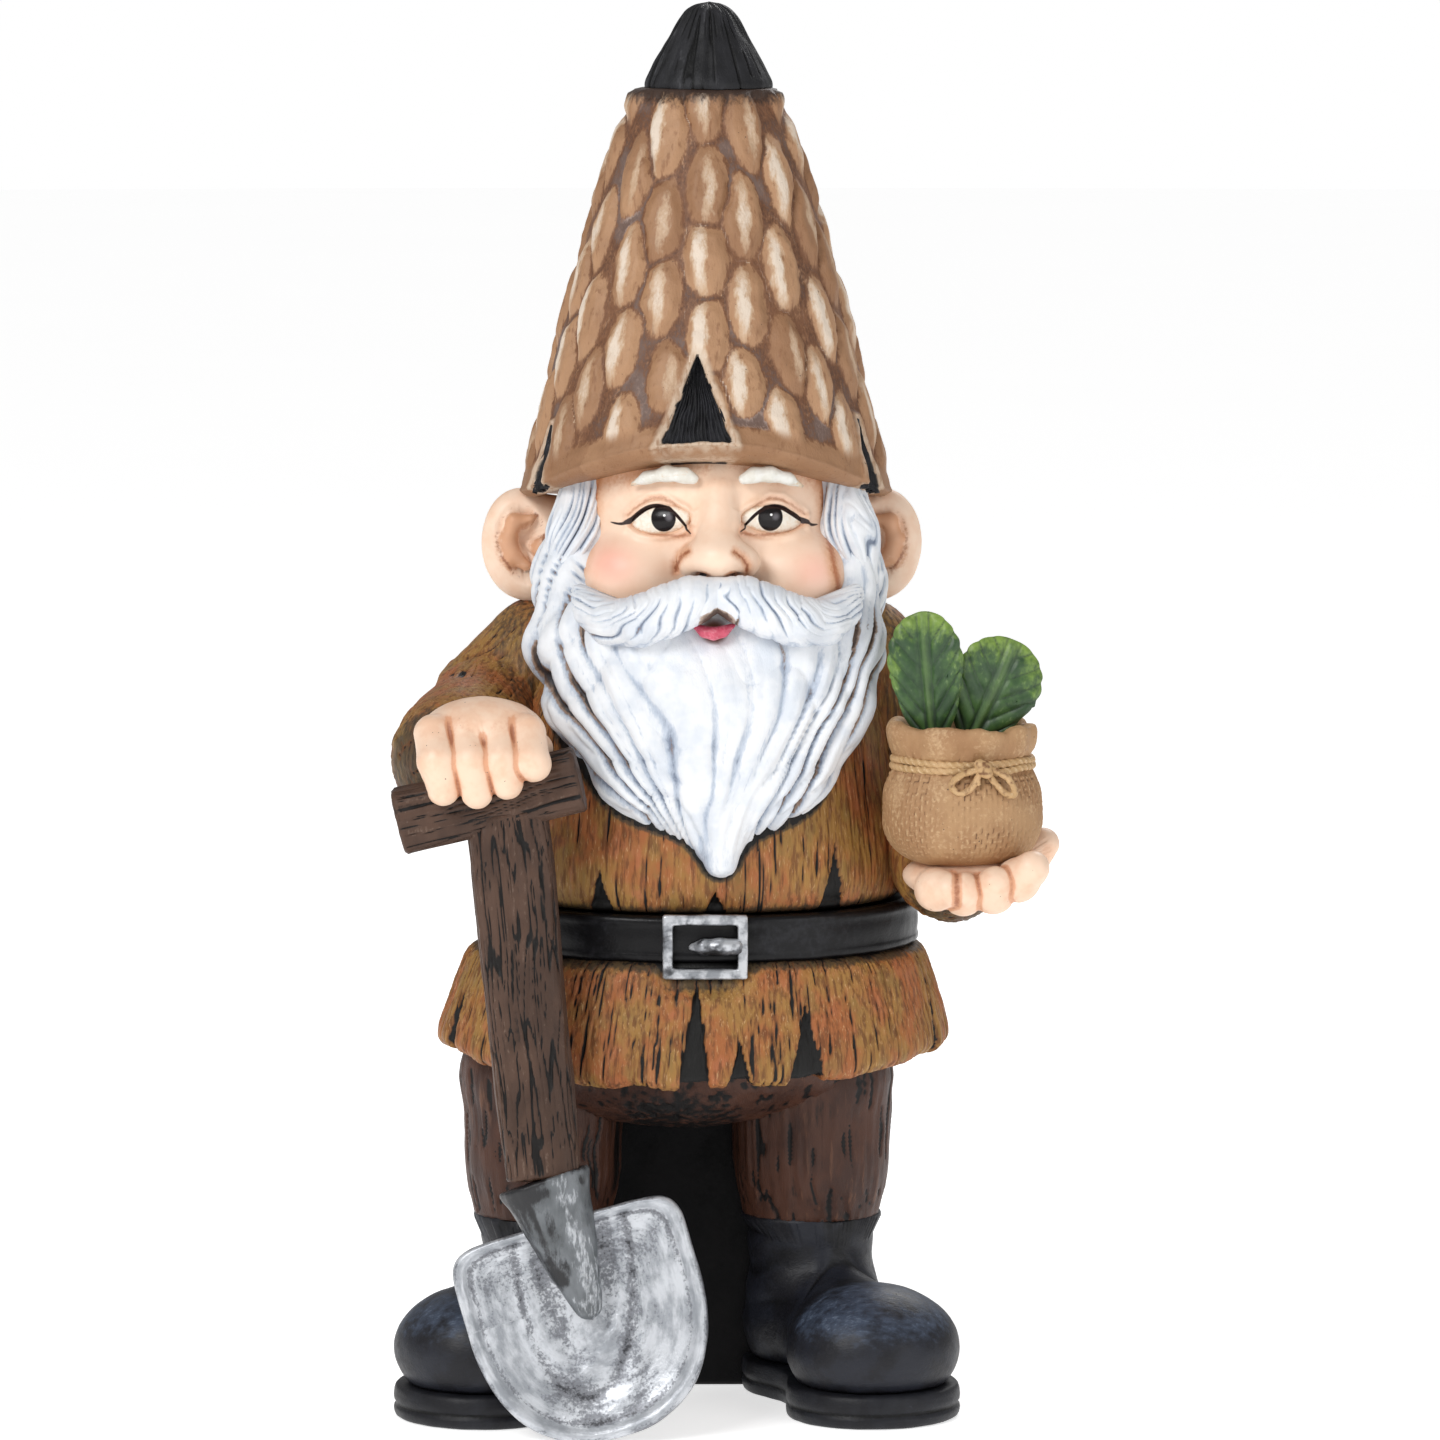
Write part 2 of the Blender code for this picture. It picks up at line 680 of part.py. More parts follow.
def sleeve(name, side, wrist, elbow, cuff, cloth):
    """An upper arm from the shoulder to the elbow and a forearm from there to the cuff."""
    shoulder = local((0, 0, COLLAR), side * (CHEST_HALF / MM - 15), 5, -11)
    form = [
        rod(shoulder, elbow, 20, 19),
        rod(elbow, wrist, 19.5, cuff),
    ]
    bm = cast(form, elbow, 3 * MM, 4)
    return piece(name, bm, cloth, 320)


def sleeves(cloth):
    right_wrist = local(GRIP_CENTRE, -10, 28, 10.5)
    right_elbow = local(GRIP_CENTRE, 0.5, 67, 21)
    sleeve("sleeve_right", -1, right_wrist, right_elbow, 22, cloth)
    left_wrist = local(SACK_FOOT, -3, 22, -3)
    left_elbow = local(SACK_FOOT, -13, 54, 12)
    sleeve("sleeve_left", 1, left_wrist, left_elbow, 18.5, cloth)


# ---- Sack and seedlings ----


def sack_place(bm):
    bmesh.ops.scale(bm, vec=(1, SACK_DEPTH, 1), verts=bm.verts)
    move(bm, Matrix.Translation(SACK_FOOT))


def sack(burlap):
    """A round bag, drawn in by its tie, with a ruffled mouth round a bed of soil."""
    rise = SACK_HEIGHT
    profile = [
        (0, 0),
        (SACK_HALF * 0.55, 0.01 * rise),
        (SACK_HALF * 0.86, 0.12 * rise),
        (SACK_HALF, 0.34 * rise),
        (SACK_HALF * 0.97, 0.53 * rise),
        (NECK_HALF + 1 * MM, NECK_AT - 3 * MM),
        (NECK_HALF, NECK_AT),
        (NECK_HALF + 1 * MM, NECK_AT + 4 * MM),
        (NECK_HALF + 2.2 * MM, rise - 2 * MM),
        (NECK_HALF + 0.8 * MM, rise),
        (NECK_HALF - 2.5 * MM, rise - 0.5 * MM),
        (NECK_HALF - 3.5 * MM, rise - 4 * MM),
        (0, rise - 4 * MM),
    ]
    bm = turned(profile, 24)
    sack_place(bm)
    return piece("sack", bm, burlap)


def sack_twine(twine):
    """The cord round the neck."""
    turns = [math.tau * step / 6 for step in range(7)]
    middle = NECK_HALF + TWINE_RADIUS * 0.6
    profile = [(middle + TWINE_RADIUS * math.cos(t), NECK_AT + TWINE_RADIUS * math.sin(t)) for t in turns]
    bm = turned(profile, 24)
    sack_place(bm)
    return piece("sack_twine", bm, twine)


def sack_bow(twine):
    """The knot of the tie and its two hanging loops."""
    knot_place = SACK_FOOT + Vector((6 * MM, -(NECK_HALF + 2.4 * MM) * SACK_DEPTH, NECK_AT))
    bm = bmesh.new()
    bmesh.ops.create_icosphere(bm, subdivisions=2, radius=2.6 * MM)
    move(bm, Matrix.Translation(knot_place))
    bow = piece("sack_bow", bm, twine)
    for side, reach in ((-1, 9.5 * MM), (1, 7.5 * MM)):
        steps = [math.tau * step / 6 for step in range(7)]
        inner = 3.4 * MM
        loop = turned([(inner + 1.1 * MM * math.cos(t), 1.1 * MM * math.sin(t)) for t in steps], 14)
        bmesh.ops.scale(loop, vec=(1.35, 1, 1), verts=loop.verts)
        move(loop, Matrix.Rotation(math.radians(90), 4, "X"))
        move(loop, Matrix.Rotation(math.radians(side * 38), 4, "Y"))
        offset = Vector((side * reach * 0.62, -0.6 * MM, -4.2 * MM))
        move(loop, Matrix.Translation(knot_place + offset))
        ring = piece("loop", loop, twine)
        PIECES.remove(ring)
        boolean(bow, ring, "UNION")
    return bow


def leaf(name, green, foot, width, height, lean, turn):
    """A thick cupped leaf: a ball flattened, drawn to a blunt point and creased down its midrib."""
    bm = bmesh.new()
    bmesh.ops.create_icosphere(bm, subdivisions=4, radius=1)
    for vert in bm.verts:
        x, y, z = vert.co
        wide = (1 - 0.35 * z * z) * (1 - 0.18 * z)
        crease = 0.35 * math.exp(-((x / 0.16) ** 2))
        cup = 0.30 * x * x
        vert.co = (
            x * wide * width / 2,
            (y * (1 - crease) * 0.5) * LEAF_THICKNESS - cup * width / 2 * 0.5,
            (z + 1) * height / 2,
        )
    move(bm, Matrix.Rotation(turn, 4, "Z"))
    move(bm, Matrix.Rotation(lean, 4, "Y"))
    move(bm, Matrix.Translation(SACK_FOOT + foot))
    return piece(name, bm, green, 240)


def leaves(green):
    soil = SACK_HEIGHT - 7 * MM
    left_foot = Vector((1 * MM, 0, soil))
    right_foot = Vector((-9 * MM, -3 * MM, soil))
    leaf("leaf_left", green, left_foot, 27 * MM, 37 * MM, math.radians(22), math.radians(8))
    leaf("leaf_right", green, right_foot, 24 * MM, 42 * MM, math.radians(-7), math.radians(-10))


# ---- Head ----


def head_form():
    at = HEAD_CENTRE
    return [
        ball(local(at, 0, 0, 0), (HEAD_HALF / MM, HEAD_HALF / MM - 1, 48)),
        ball(local(at, 1, -4, -24), (41, 38, 26)),
        ball(local(at, -23, -33, -20), (16, 15, 15)),
        ball(local(at, 28, -33, -20), (16, 15, 15)),
        ball(local(at, 4, -56, -11), (8.5, 9, 7)),
        ball(local(at, -4.5, -52, -13), (5, 6, 4.6)),
        ball(local(at, 12.5, -52, -13), (5, 6, 4.6)),
        rod(local(at, 4, -45, 8), local(at, 4, -52, -6), 5, 6),
    ]


def head(skin):
    bm = cast(head_form(), local(HEAD_CENTRE, 2, -6, -6), 2.2 * MM, 5)
    trimmed(bm, (0, 0, COLLAR), (0, 0, -1))
    trimmed(bm, (0, 0, BRIM + 31 * MM), (0, 0, 1))
    return piece("head", bm, skin, 900)


def eye(name, offset, white):
    bm = cast([ball(local(HEAD_CENTRE, *offset), (8.6, 5, 4.9))], local(HEAD_CENTRE, *offset), 1 * MM, 3)
    return piece(name, bm, white, 160)


def eyebrow(name, outer, top, inner, hair):
    """A short arched brow, thickest at its top."""
    start, middle, end = (local(HEAD_CENTRE, *offset) for offset in (outer, top, inner))
    form = [rod(start, middle, 1.6, 2.7), rod(middle, end, 2.7, 2.2)]
    return piece(name, cast(form, middle, 1 * MM, 3), hair, 160)


def lower_lip(red):
    middle = local(HEAD_CENTRE, 2.5, -60, -35)
    return piece("lower_lip", cast([ball(middle, (5.6, 4, 2.4))], middle, 1 * MM, 3), red, 120)


def ear(name, side, skin):
    """A big round ear, standing out sideways, with a hollow in front."""
    offset = np.array((side * 58.5 - 1.5, 1, -11))
    at = local(HEAD_CENTRE, *offset)
    bm = cast([ball(at, (12, 8, 17)), ball(np.array(at) - (side * 6, 0, 8), (8, 8, 10))], at, 3 * MM, 4)
    lobe = piece(name, bm, skin, 280)
    hollow_at = np.array(at) + (-side * 1, -8, 1)
    hollow = piece("hollow", cast([ball(hollow_at, (7, 5, 11))], hollow_at, 1 * MM, 3), skin, 110)
    PIECES.remove(hollow)
    boolean(lobe, hollow, "DIFFERENCE")
    return lobe


def moustache(name, side, hair):
    """One half of the moustache: it swells out beside the nose, droops and curls up at its end."""
    points = [(0, -62, -22, 5.5), (side * 12, -61, -25.5, 7.6), (side * 25, -57, -31, 8)]
    points += [(side * 36, -50, -31, 6.5), (side * 43, -43, -25.5, 3.6)]
    shift = 3.5
    form = []
    for (x0, y0, z0, r0), (x1, y1, z1, r1) in zip(points, points[1:]):
        start = local(HEAD_CENTRE, x0 + shift, y0, z0)
        form.append(rod(start, local(HEAD_CENTRE, x1 + shift, y1, z1), r0, r1))
    bm = cast(form, local(HEAD_CENTRE, side * 23 + shift, -56, -30), 1.5 * MM, 4)
    return piece(name, bm, hair, 320)


def beard(hair):
    """A broad shield of hair that narrows to a point over the chest."""
    at = HEAD_CENTRE
    form = [
        ball(local(at, 0, -32, -42), (59, 24, 25)),
        ball(local(at, 1, -40, -60), (53, 24, 28)),
        ball(local(at, 2, -47, -79), (39, 19, 22)),
        rod(local(at, 3, -52, -93), local(at, 4, -59, -107), 14, 5),
        ball(local(at, -40, -22, -22), (16, 16, 20)),
        ball(local(at, 42, -22, -22), (16, 16, 20)),
    ]
    bm = cast(form, local(at, 2, -36, -52), 3 * MM, 5)
    return piece("beard", bm, hair, 640)


def side_hair(name, side, hair):
    """The lock that comes out from under the hat in front of the ear and runs down to the beard."""
    at = HEAD_CENTRE
    form = [
        rod(local(at, 2 + side * 40, -21, 12), local(at, 2 + side * 43.5, -27, -6), 7.5, 8.5),
        rod(local(at, 2 + side * 43.5, -27, -6), local(at, 2 + side * 45, -26, -20), 8.5, 8.5),
    ]
    return piece(name, cast(form, local(at, 2 + side * 43.5, -26, -5), 2 * MM, 4), hair, 240)


def back_hair(hair):
    """The hair behind, between the brim and the collar."""
    at = HEAD_CENTRE
    form = [
        ball(local(at, 0, 8, -14), (53, 48, 34)),
        ball(local(at, 0, 22, -36), (44, 30, 20)),
    ]
    return piece("hair_back", cast(form, local(at, 0, 8, -16), 3 * MM, 4), hair, 320)


# ---- Hat ----


def brim_lift(y, share):
    """How far the hat's edge rises in front and drops behind, fading out up the hat."""
    forward = max(-1, min(1, -y / (BRIM_HALF * HAT_DEPTH)))
    lift = BRIM_ARCH * forward**2 if forward > 0 else -BRIM_DIP * forward**2
    return lift * max(0, 1 - share) ** 1.5


def hat_radius(share):
    """Half width of the hat, from the brim at 0 to the foot of the tip at 1."""
    return BRIM_HALF * (1 - 0.51 * share - 0.018 * share**2 - 0.083 * share**3)


def hat_solid():
    shares = [step / 10 for step in range(11)]
    profile = [(0, BRIM), (BRIM_HALF - 3 * MM, BRIM), (BRIM_HALF - 0.6 * MM, BRIM + 1.5 * MM)]
    profile += [(hat_radius(share), BRIM + HAT_HEIGHT * share) for share in shares if share]
    profile += [(0, HAT_TOP)]
    bm = turned(profile, 32)
    for vert in bm.verts:
        share = (vert.co.z - BRIM) / HAT_HEIGHT
        vert.co.z += brim_lift(vert.co.y, share)
    oval(bm, HAT_DEPTH)
    move(bm, Matrix.Translation(HAT_AXIS))
    return bm


def hat(straw):
    return piece("hat", hat_solid(), straw)


def hat_tip(black):
    """The dark stub at the top of the hat."""
    foot = hat_radius(1) - 3 * MM
    rise = TIP_HEIGHT - CLEARANCE
    base = HAT_TOP + CLEARANCE
    outline = [(1, 0), (0.985, 0.12), (0.84, 0.34), (0.62, 0.62), (0.44, 0.86), (0.28, 0.97), (0, 1)]
    profile = [(0, base)] + [(foot * across, base + rise * up) for across, up in outline]
    bm = turned(profile, 24)
    move(bm, Matrix.Translation(HAT_AXIS + Vector((1 * MM, 0, 0))))
    return piece("hat_tip", bm, black)


def hat_tear(name, black):
    """A pointed slit where dark straw shows, set into the hat and standing a hair proud of it."""
    turn, width, height, rise = TEARS[name]
    side_on = Vector((math.sin(turn), -math.cos(turn) * HAT_DEPTH, 0))
    base = BRIM + rise + brim_lift(side_on.y * BRIM_HALF, 0)
    bm = bmesh.new()
    corners = [bm.verts.new(at) for at in ((-width / 2, 0, 0), (width / 2, 0, 0), (0, 0, height))]
    face = bm.faces.new(corners)
    grown = bmesh.ops.extrude_face_region(bm, geom=[face])
    far = [item for item in grown["geom"] if isinstance(item, bmesh.types.BMVert)]
    bmesh.ops.translate(bm, vec=(0, -20 * MM, 0), verts=far)
    near = hat_radius((base - BRIM) / HAT_HEIGHT) * side_on.length
    slope = math.atan2(hat_radius(0) - hat_radius(0.35), HAT_HEIGHT * 0.35)
    move(bm, Matrix.Rotation(-slope, 4, "X"))
    move(bm, Matrix.Translation((0, -near + TEAR_DEPTH, base)))
    move(bm, Matrix.Translation(HAT_AXIS) @ Matrix.Rotation(turn, 4, "Z"))
    tear = piece(name, bm, black)
    shell = piece("shell", hat_solid(), black)
    PIECES.remove(shell)
    outer = swollen_copy(shell, TEAR_PROUD)
    bpy.data.objects.remove(shell)
    boolean(tear, outer, "INTERSECT")
    return tear


# ---- The hollow of the casting ----


def hollow_out(black):
    """Takes one core out of the stacked shells: skirt, tunic, head and hat."""
    waist = (WAIST_HALF - BELT_THICKNESS - WALL) / MM
    chest = (CHEST_HALF - WALL) / MM - 6
    neck = (COLLAR_HALF - WALL) / MM - 6
    crown = (HEAD_HALF - WALL) / MM - 8
    belt_top, collar, foot = BELT_TOP / MM, COLLAR / MM, TROUSER_TOP / MM
    brim, hat_top = BRIM / MM, HAT_TOP / MM
    rows = [(0, foot - 4), (waist, foot - 4), (waist, belt_top + 2), (chest, belt_top + 25)]
    rows += [(chest - 3, collar - 26), (neck, collar - 8), (neck, collar + 4), (crown, collar + 24)]
    rows += [(crown, brim + 30), (crown - 4, brim + 50), (12, hat_top - 24), (0, hat_top - 12)]
    for name in ("tunic_skirt", "tunic_body", "head", "hat"):
        bm = turned([(radius * MM, height * MM) for radius, height in rows], 16)
        oval(bm)
        move(bm, Matrix.Translation(HAT_AXIS))
        core = piece("core", bm, black)
        PIECES.remove(core)
        boolean(bpy.data.objects[name], core, "DIFFERENCE")


def centre_on_base(pieces):
    """Gives each piece an origin at its own middle, and stands the gnome on the origin."""
    lows, highs = zip(*(box_of(obj) for obj in pieces))
    low, high = np.min(lows, axis=0), np.max(highs, axis=0)
    base = bpy.data.objects.new("gnome", None)
    bpy.context.scene.collection.objects.link(base)
    base.location = (-(low[0] + high[0]) / 2, -(low[1] + high[1]) / 2, -low[2])
    for obj in pieces:
        middle = Vector(sum(box_of(obj)) / 2)
        obj.data.transform(Matrix.Translation(-middle))
        obj.location = middle
        obj.parent = base


def main():
    clear_scene()
    skin = paint("painted_skin", (0.87, 0.66, 0.53), 0.45)
    white_hair = paint("white_hair", (0.85, 0.86, 0.88), 0.6)
    straw = paint("straw_brown", (0.42, 0.26, 0.15), 0.75)
    black = paint("straw_black", (0.02, 0.02, 0.022), 0.6)
    cloth = paint("tunic_ochre", (0.36, 0.18, 0.07), 0.75)
    belt_black = paint("belt_black", (0.02, 0.02, 0.022), 0.35)
    silver = paint("buckle_silver", (0.6, 0.6, 0.62), 0.35, 0.8)
    wool = paint("trouser_brown", (0.08, 0.035, 0.025), 0.8)
    boot_black = paint("boot_black", (0.025, 0.028, 0.035), 0.5)
    sole_black = paint("sole_black", (0.02, 0.02, 0.022), 0.6)
    web_black = paint("web_black", (0.005, 0.005, 0.005), 0.6)
    wood = paint("spade_wood", (0.07, 0.045, 0.032), 0.7)
    steel = paint("spade_steel", (0.5, 0.5, 0.52), 0.4, 0.7)
    burlap = paint("burlap", (0.42, 0.27, 0.15), 0.9)
    twine = paint("twine", (0.45, 0.31, 0.18), 0.9)
    green = paint("leaf_green", (0.07, 0.14, 0.03), 0.6)
    eye_white = paint("eye_white", (0.85, 0.8, 0.72), 0.3)
    lip_red = paint("lip_red", (0.65, 0.1, 0.14), 0.4)

    spade_grip(wood)
    spade_shaft(wood)
    spade_socket(steel)
    spade_blade(steel)
    for name, side in (("right", -1), ("left", 1)):
        sole(f"sole_{name}", side, sole_black)
        boot(f"boot_{name}", side, boot_black)
    leg_web(web_black)
    trousers(wool)
    belt_buckle(silver)
    buckle_prong(silver)
    belt(belt_black)
    tunic_skirt(cloth)
    tunic_body(cloth)
    sack(burlap)
    sack_twine(twine)
    sack_bow(twine)
    leaves(green)
    fist(skin)
    open_hand(skin)
    eye("eye_right", (-13.5, -44.5, 0), eye_white)
    eye("eye_left", (20, -44.5, -0.5), eye_white)
    eyebrow("eyebrow_right", (-22, -43, 11), (-13, -47, 13.5), (-4, -49, 11.5), white_hair)
    eyebrow("eyebrow_left", (29.5, -43, 11), (20.5, -47, 13.5), (13, -49, 12), white_hair)
    lower_lip(lip_red)
    head(skin)
    ear("ear_right", -1, skin)
    ear("ear_left", 1, skin)
    moustache("moustache_right", -1, white_hair)
    moustache("moustache_left", 1, white_hair)
    hat_tip(black)
    for name in TEARS:
        hat_tear(name, black)
    hat(straw)
    beard(white_hair)
    side_hair("hair_right", -1, white_hair)
    side_hair("hair_left", 1, white_hair)
    back_hair(white_hair)
    sleeves(cloth)
    nest(PIECES)
    hollow_out(black)
    centre_on_base(PIECES)


main()
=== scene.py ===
# %% [markdown]
# # A painted garden gnome
# The real gnome is one hollow casting of stone powder and resin, modelled in clay first and painted by
# hand. Its straw hat, beard, bark-like coat, spade and sack are all skin-deep relief on that casting. The
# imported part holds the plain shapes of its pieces, each as a node of the frame. This script gives every
# one of them a finely modelled and painted stand-in, in the same place and of the same size.
# Nothing on a cast gnome is limp, so no cloth is simulated: the sack and its twine are as hard as the rest.

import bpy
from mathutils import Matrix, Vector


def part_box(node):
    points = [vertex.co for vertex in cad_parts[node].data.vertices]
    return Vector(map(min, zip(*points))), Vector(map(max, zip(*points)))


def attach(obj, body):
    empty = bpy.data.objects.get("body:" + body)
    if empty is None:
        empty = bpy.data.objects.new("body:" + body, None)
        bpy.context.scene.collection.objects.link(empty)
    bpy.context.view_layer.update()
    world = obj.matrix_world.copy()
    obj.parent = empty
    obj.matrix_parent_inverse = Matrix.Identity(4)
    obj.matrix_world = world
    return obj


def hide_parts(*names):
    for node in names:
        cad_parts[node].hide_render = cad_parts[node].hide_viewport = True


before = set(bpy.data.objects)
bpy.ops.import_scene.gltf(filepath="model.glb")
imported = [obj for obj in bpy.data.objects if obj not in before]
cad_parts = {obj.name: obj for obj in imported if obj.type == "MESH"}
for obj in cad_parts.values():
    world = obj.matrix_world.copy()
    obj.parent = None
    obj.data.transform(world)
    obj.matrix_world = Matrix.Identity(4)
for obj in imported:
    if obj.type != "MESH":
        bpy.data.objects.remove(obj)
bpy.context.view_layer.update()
print("frame:", len(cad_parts), "nodes")

# %% [markdown]
# The work is done in millimetres round the figure's own upright axis, which is easier to think in than
# metres round the middle of the base. The black tip of the hat stands on a known spot beside that axis,
# so its box tells where the axis is in the frame. A piece is moved there when it is finished.

# %% Units and the figure's axis
import itertools
import math

import bmesh
import bpy
import numpy as np
from mathutils import Matrix, Vector

MM = 0.001
SIDES = ((-1, "right"), (1, "left"))    # the gnome's own
TIP_OFFSET = 2.8    # the middle of the hat's tip, to the side of the figure's axis
tip_low, tip_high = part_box("hat_tip")
AXIS = np.array([(tip_low.x + tip_high.x) / 2 / MM - TIP_OFFSET, (tip_low.y + tip_high.y) / 2 / MM, 0])
HEIGHT = tip_high.z / MM
print("axis at", AXIS.round(2), "mm, height", round(HEIGHT, 1), "mm")

# levels up the figure
SOLE_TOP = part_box("sole_left")[1].z / MM
BOOT_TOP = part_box("boot_left")[1].z / MM
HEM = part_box("tunic_skirt")[0].z / MM
BELT_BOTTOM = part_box("belt")[0].z / MM
BELT_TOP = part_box("belt")[1].z / MM
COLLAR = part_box("head")[0].z / MM
BRIM = COLLAR + 42
HAT_TOP = tip_low.z / MM
HEAD = np.array([2, 2, COLLAR + 38])
print("belt", BELT_BOTTOM, BELT_TOP, "collar", COLLAR, "hat top", round(HAT_TOP, 1))

# %% [markdown]
# Every piece is a mesh whose points are read into one array, moved by sums on the whole array, and
# written back. That is sculpting by numbers: a relief is a height for each point, and the skin is raised
# along its normals by it. Values that only the paint needs, such as how deep a point lies in a groove, are
# left on the mesh as attributes.

# %% Reading, raising and marking a mesh
def points_of(mesh):
    """The mesh's points, one row of (x, y, z) each."""
    flat = np.empty(len(mesh.vertices) * 3)
    mesh.vertices.foreach_get("co", flat)
    return flat.reshape(-1, 3)


def put_points(mesh, points):
    mesh.vertices.foreach_set("co", np.ascontiguousarray(points, float).ravel())
    mesh.update()


def normals_of(mesh):
    flat = np.empty(len(mesh.vertices) * 3)
    mesh.vertex_normals.foreach_get("vector", flat)
    return flat.reshape(-1, 3)


def raise_skin(mesh, height):
    """Moves every point out along its normal by its own height."""
    put_points(mesh, points_of(mesh) + normals_of(mesh) * height[:, None])


def mark(mesh, name, values):
    """Leaves a value on every point, for the paint."""
    layer = mesh.attributes.new(name, "FLOAT", "POINT")
    layer.data.foreach_set("value", np.ascontiguousarray(values, np.float32))


def mesh_from(bm, name):
    """Closes a bmesh's doubles, turns its faces outwards and makes it a smooth mesh."""
    bmesh.ops.remove_doubles(bm, verts=bm.verts, dist=0.0005)
    bmesh.ops.recalc_face_normals(bm, faces=bm.faces)
    mesh = bpy.data.meshes.new(name)
    bm.to_mesh(mesh)
    bm.free()
    mesh.shade_smooth()
    return mesh


def joined(meshes, name):
    """Several closed shells as one mesh, which keeps their marks."""
    bm = bmesh.new()
    for mesh in meshes:
        bm.from_mesh(mesh)
    whole = bpy.data.meshes.new(name)
    bm.to_mesh(whole)
    bm.free()
    whole.shade_smooth()
    return whole


# %% [markdown]
# A piece is shown in a few steps: its mesh goes from millimetres to the frame's metres, it is painted, it
# is hung on the root body, and the nodes of the part that it stands for are hidden.


def show(name, mesh, finish, slot, *nodes):
    put_points(mesh, (points_of(mesh) + AXIS) * MM)
    mesh.materials.clear()
    mesh.materials.append(finish)
    obj = bpy.data.objects.new(name, mesh)
    bpy.context.scene.collection.objects.link(obj)
    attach(obj, "root")
    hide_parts(*nodes)
    mesh.calc_loop_triangles()


# %% [markdown]
# Clay is never even. `cloud` gives soft random values in space, the same each run. `grain` draws the cloud
# out into streaks along a direction, for bark, wood and hair. `cracks` keeps the thin lines where a cloud
# changes sign, which wander and branch like real cracks.

# %% Clouds, grain and cracks
def cloud(points, seed=0):
    """Smooth random values from -1 to 1 that change over about one unit of the points."""
    table = np.random.default_rng(seed).uniform(-1, 1, (32, 32, 32))
    cell = np.floor(points).astype(int)
    part = points - cell
    part = part * part * (3 - 2 * part)
    total = np.zeros(len(points))
    for corner in itertools.product((0, 1), repeat=3):
        share = np.where(corner, part, 1 - part).prod(axis=1)
        at = (cell + corner) % 32
        total += share * table[at[:, 0], at[:, 1], at[:, 2]]
    return total


def rough(points, size, seed=0):
    """Two octaves of cloud, the larger about `size` across."""
    return 0.67 * cloud(points / size, seed) + 0.33 * cloud(points / size * 2.1, seed + 1)


def grain(points, direction, width, length, seed=0):
    """A cloud drawn out into streaks along a direction."""
    axis = np.array(direction, float)
    axis /= np.linalg.norm(axis)
    run = points @ axis
    across = points - run[:, None] * axis
    return cloud(across / width + (run / length)[:, None] * axis, seed)


def cracks(values, width):
    """1 on the lines where the values pass zero, falling to 0 at some width beside them."""
    return np.clip(1 - np.abs(values) / width, 0, 1)


def points_from(*parts):
    """Points whose coordinates are arrays or single numbers."""
    return np.stack(np.broadcast_arrays(*parts), axis=1)


def hump(values, middle, width):
    """1 in the middle, falling off evenly to both sides like a rounded ridge."""
    return np.exp(-(((values - middle) / width) ** 2))


def soft(values, low, high):
    """0 below one limit, 1 above the other, and an even curve between."""
    share = np.clip((values - low) / (high - low), 0, 1)
    return share * share * (3 - 2 * share)


def near_line(across, up, line):
    """Distance in millimetres to a line of (across, up) corners, and how far along it, from 0 to 1."""
    best = np.full(len(across), 1e9)
    along = np.zeros(len(across))
    spot = points_from(across, up)
    corners = np.array(line, float)
    for index, (start, end) in enumerate(zip(corners, corners[1:])):
        run = end - start
        share = np.clip((spot - start) @ run / (run @ run), 0, 1)
        gap = np.linalg.norm(spot - start - share[:, None] * run, axis=1)
        along = np.where(gap < best, (index + share) / (len(corners) - 1), along)
        best = np.minimum(best, gap)
    return best, along


# %% [markdown]
# The round-about pieces, such as the face, hands, beard and boots, are cast. Their form is a set of balls
# and tapered rods that melt into one another, as a clay modeller builds up pellets. The points of a fine
# ball are drawn in towards a centre until they meet the skin of that form. Hollows are taken away from it
# in the same way, and inserts are added inside the hollows after that.

# %% Casting a form
FAR_OUT = 150.0     # where the points start, outside every form
CLOSE_ENOUGH = 0.01


def ball(centre, radii):
    return ("ball", np.array(centre, float), np.array(radii, float))


def rod(start, end, start_radius, end_radius):
    return ("rod", np.array([start, end], float), (start_radius, end_radius))


def chain(corners):
    """Rods through a list of (x, y, z, radius)."""
    return [rod(a[:3], b[:3], a[3], b[3]) for a, b in zip(corners, corners[1:])]


def gap_to(points, shape):
    """How far points are outside one ball or rod, below 0 inside it."""
    kind, place, size = shape
    if kind == "ball":
        scaled = (points - place) / size
        length = np.linalg.norm(scaled, axis=1) + 1e-9
        return length * (length - 1) / (np.linalg.norm(scaled / size, axis=1) + 1e-9)
    run = place[1] - place[0]
    along = np.clip((points - place[0]) @ run / (run @ run), 0, 1)
    gap = np.linalg.norm(points - place[0] - along[:, None] * run, axis=1)
    return gap - size[0] - along * (size[1] - size[0])


def melted(points, form, blend):
    """How far points are outside shapes that run into one another over the blend's width."""
    gaps = np.array([gap_to(points, shape) for shape in form])
    nearest = gaps.min(axis=0)
    return nearest - blend * np.log(np.exp((nearest - gaps) / blend).sum(axis=0))


def fine_ball(detail):
    bm = bmesh.new()
    bmesh.ops.create_icosphere(bm, subdivisions=detail, radius=1)
    return mesh_from(bm, "fine_ball")


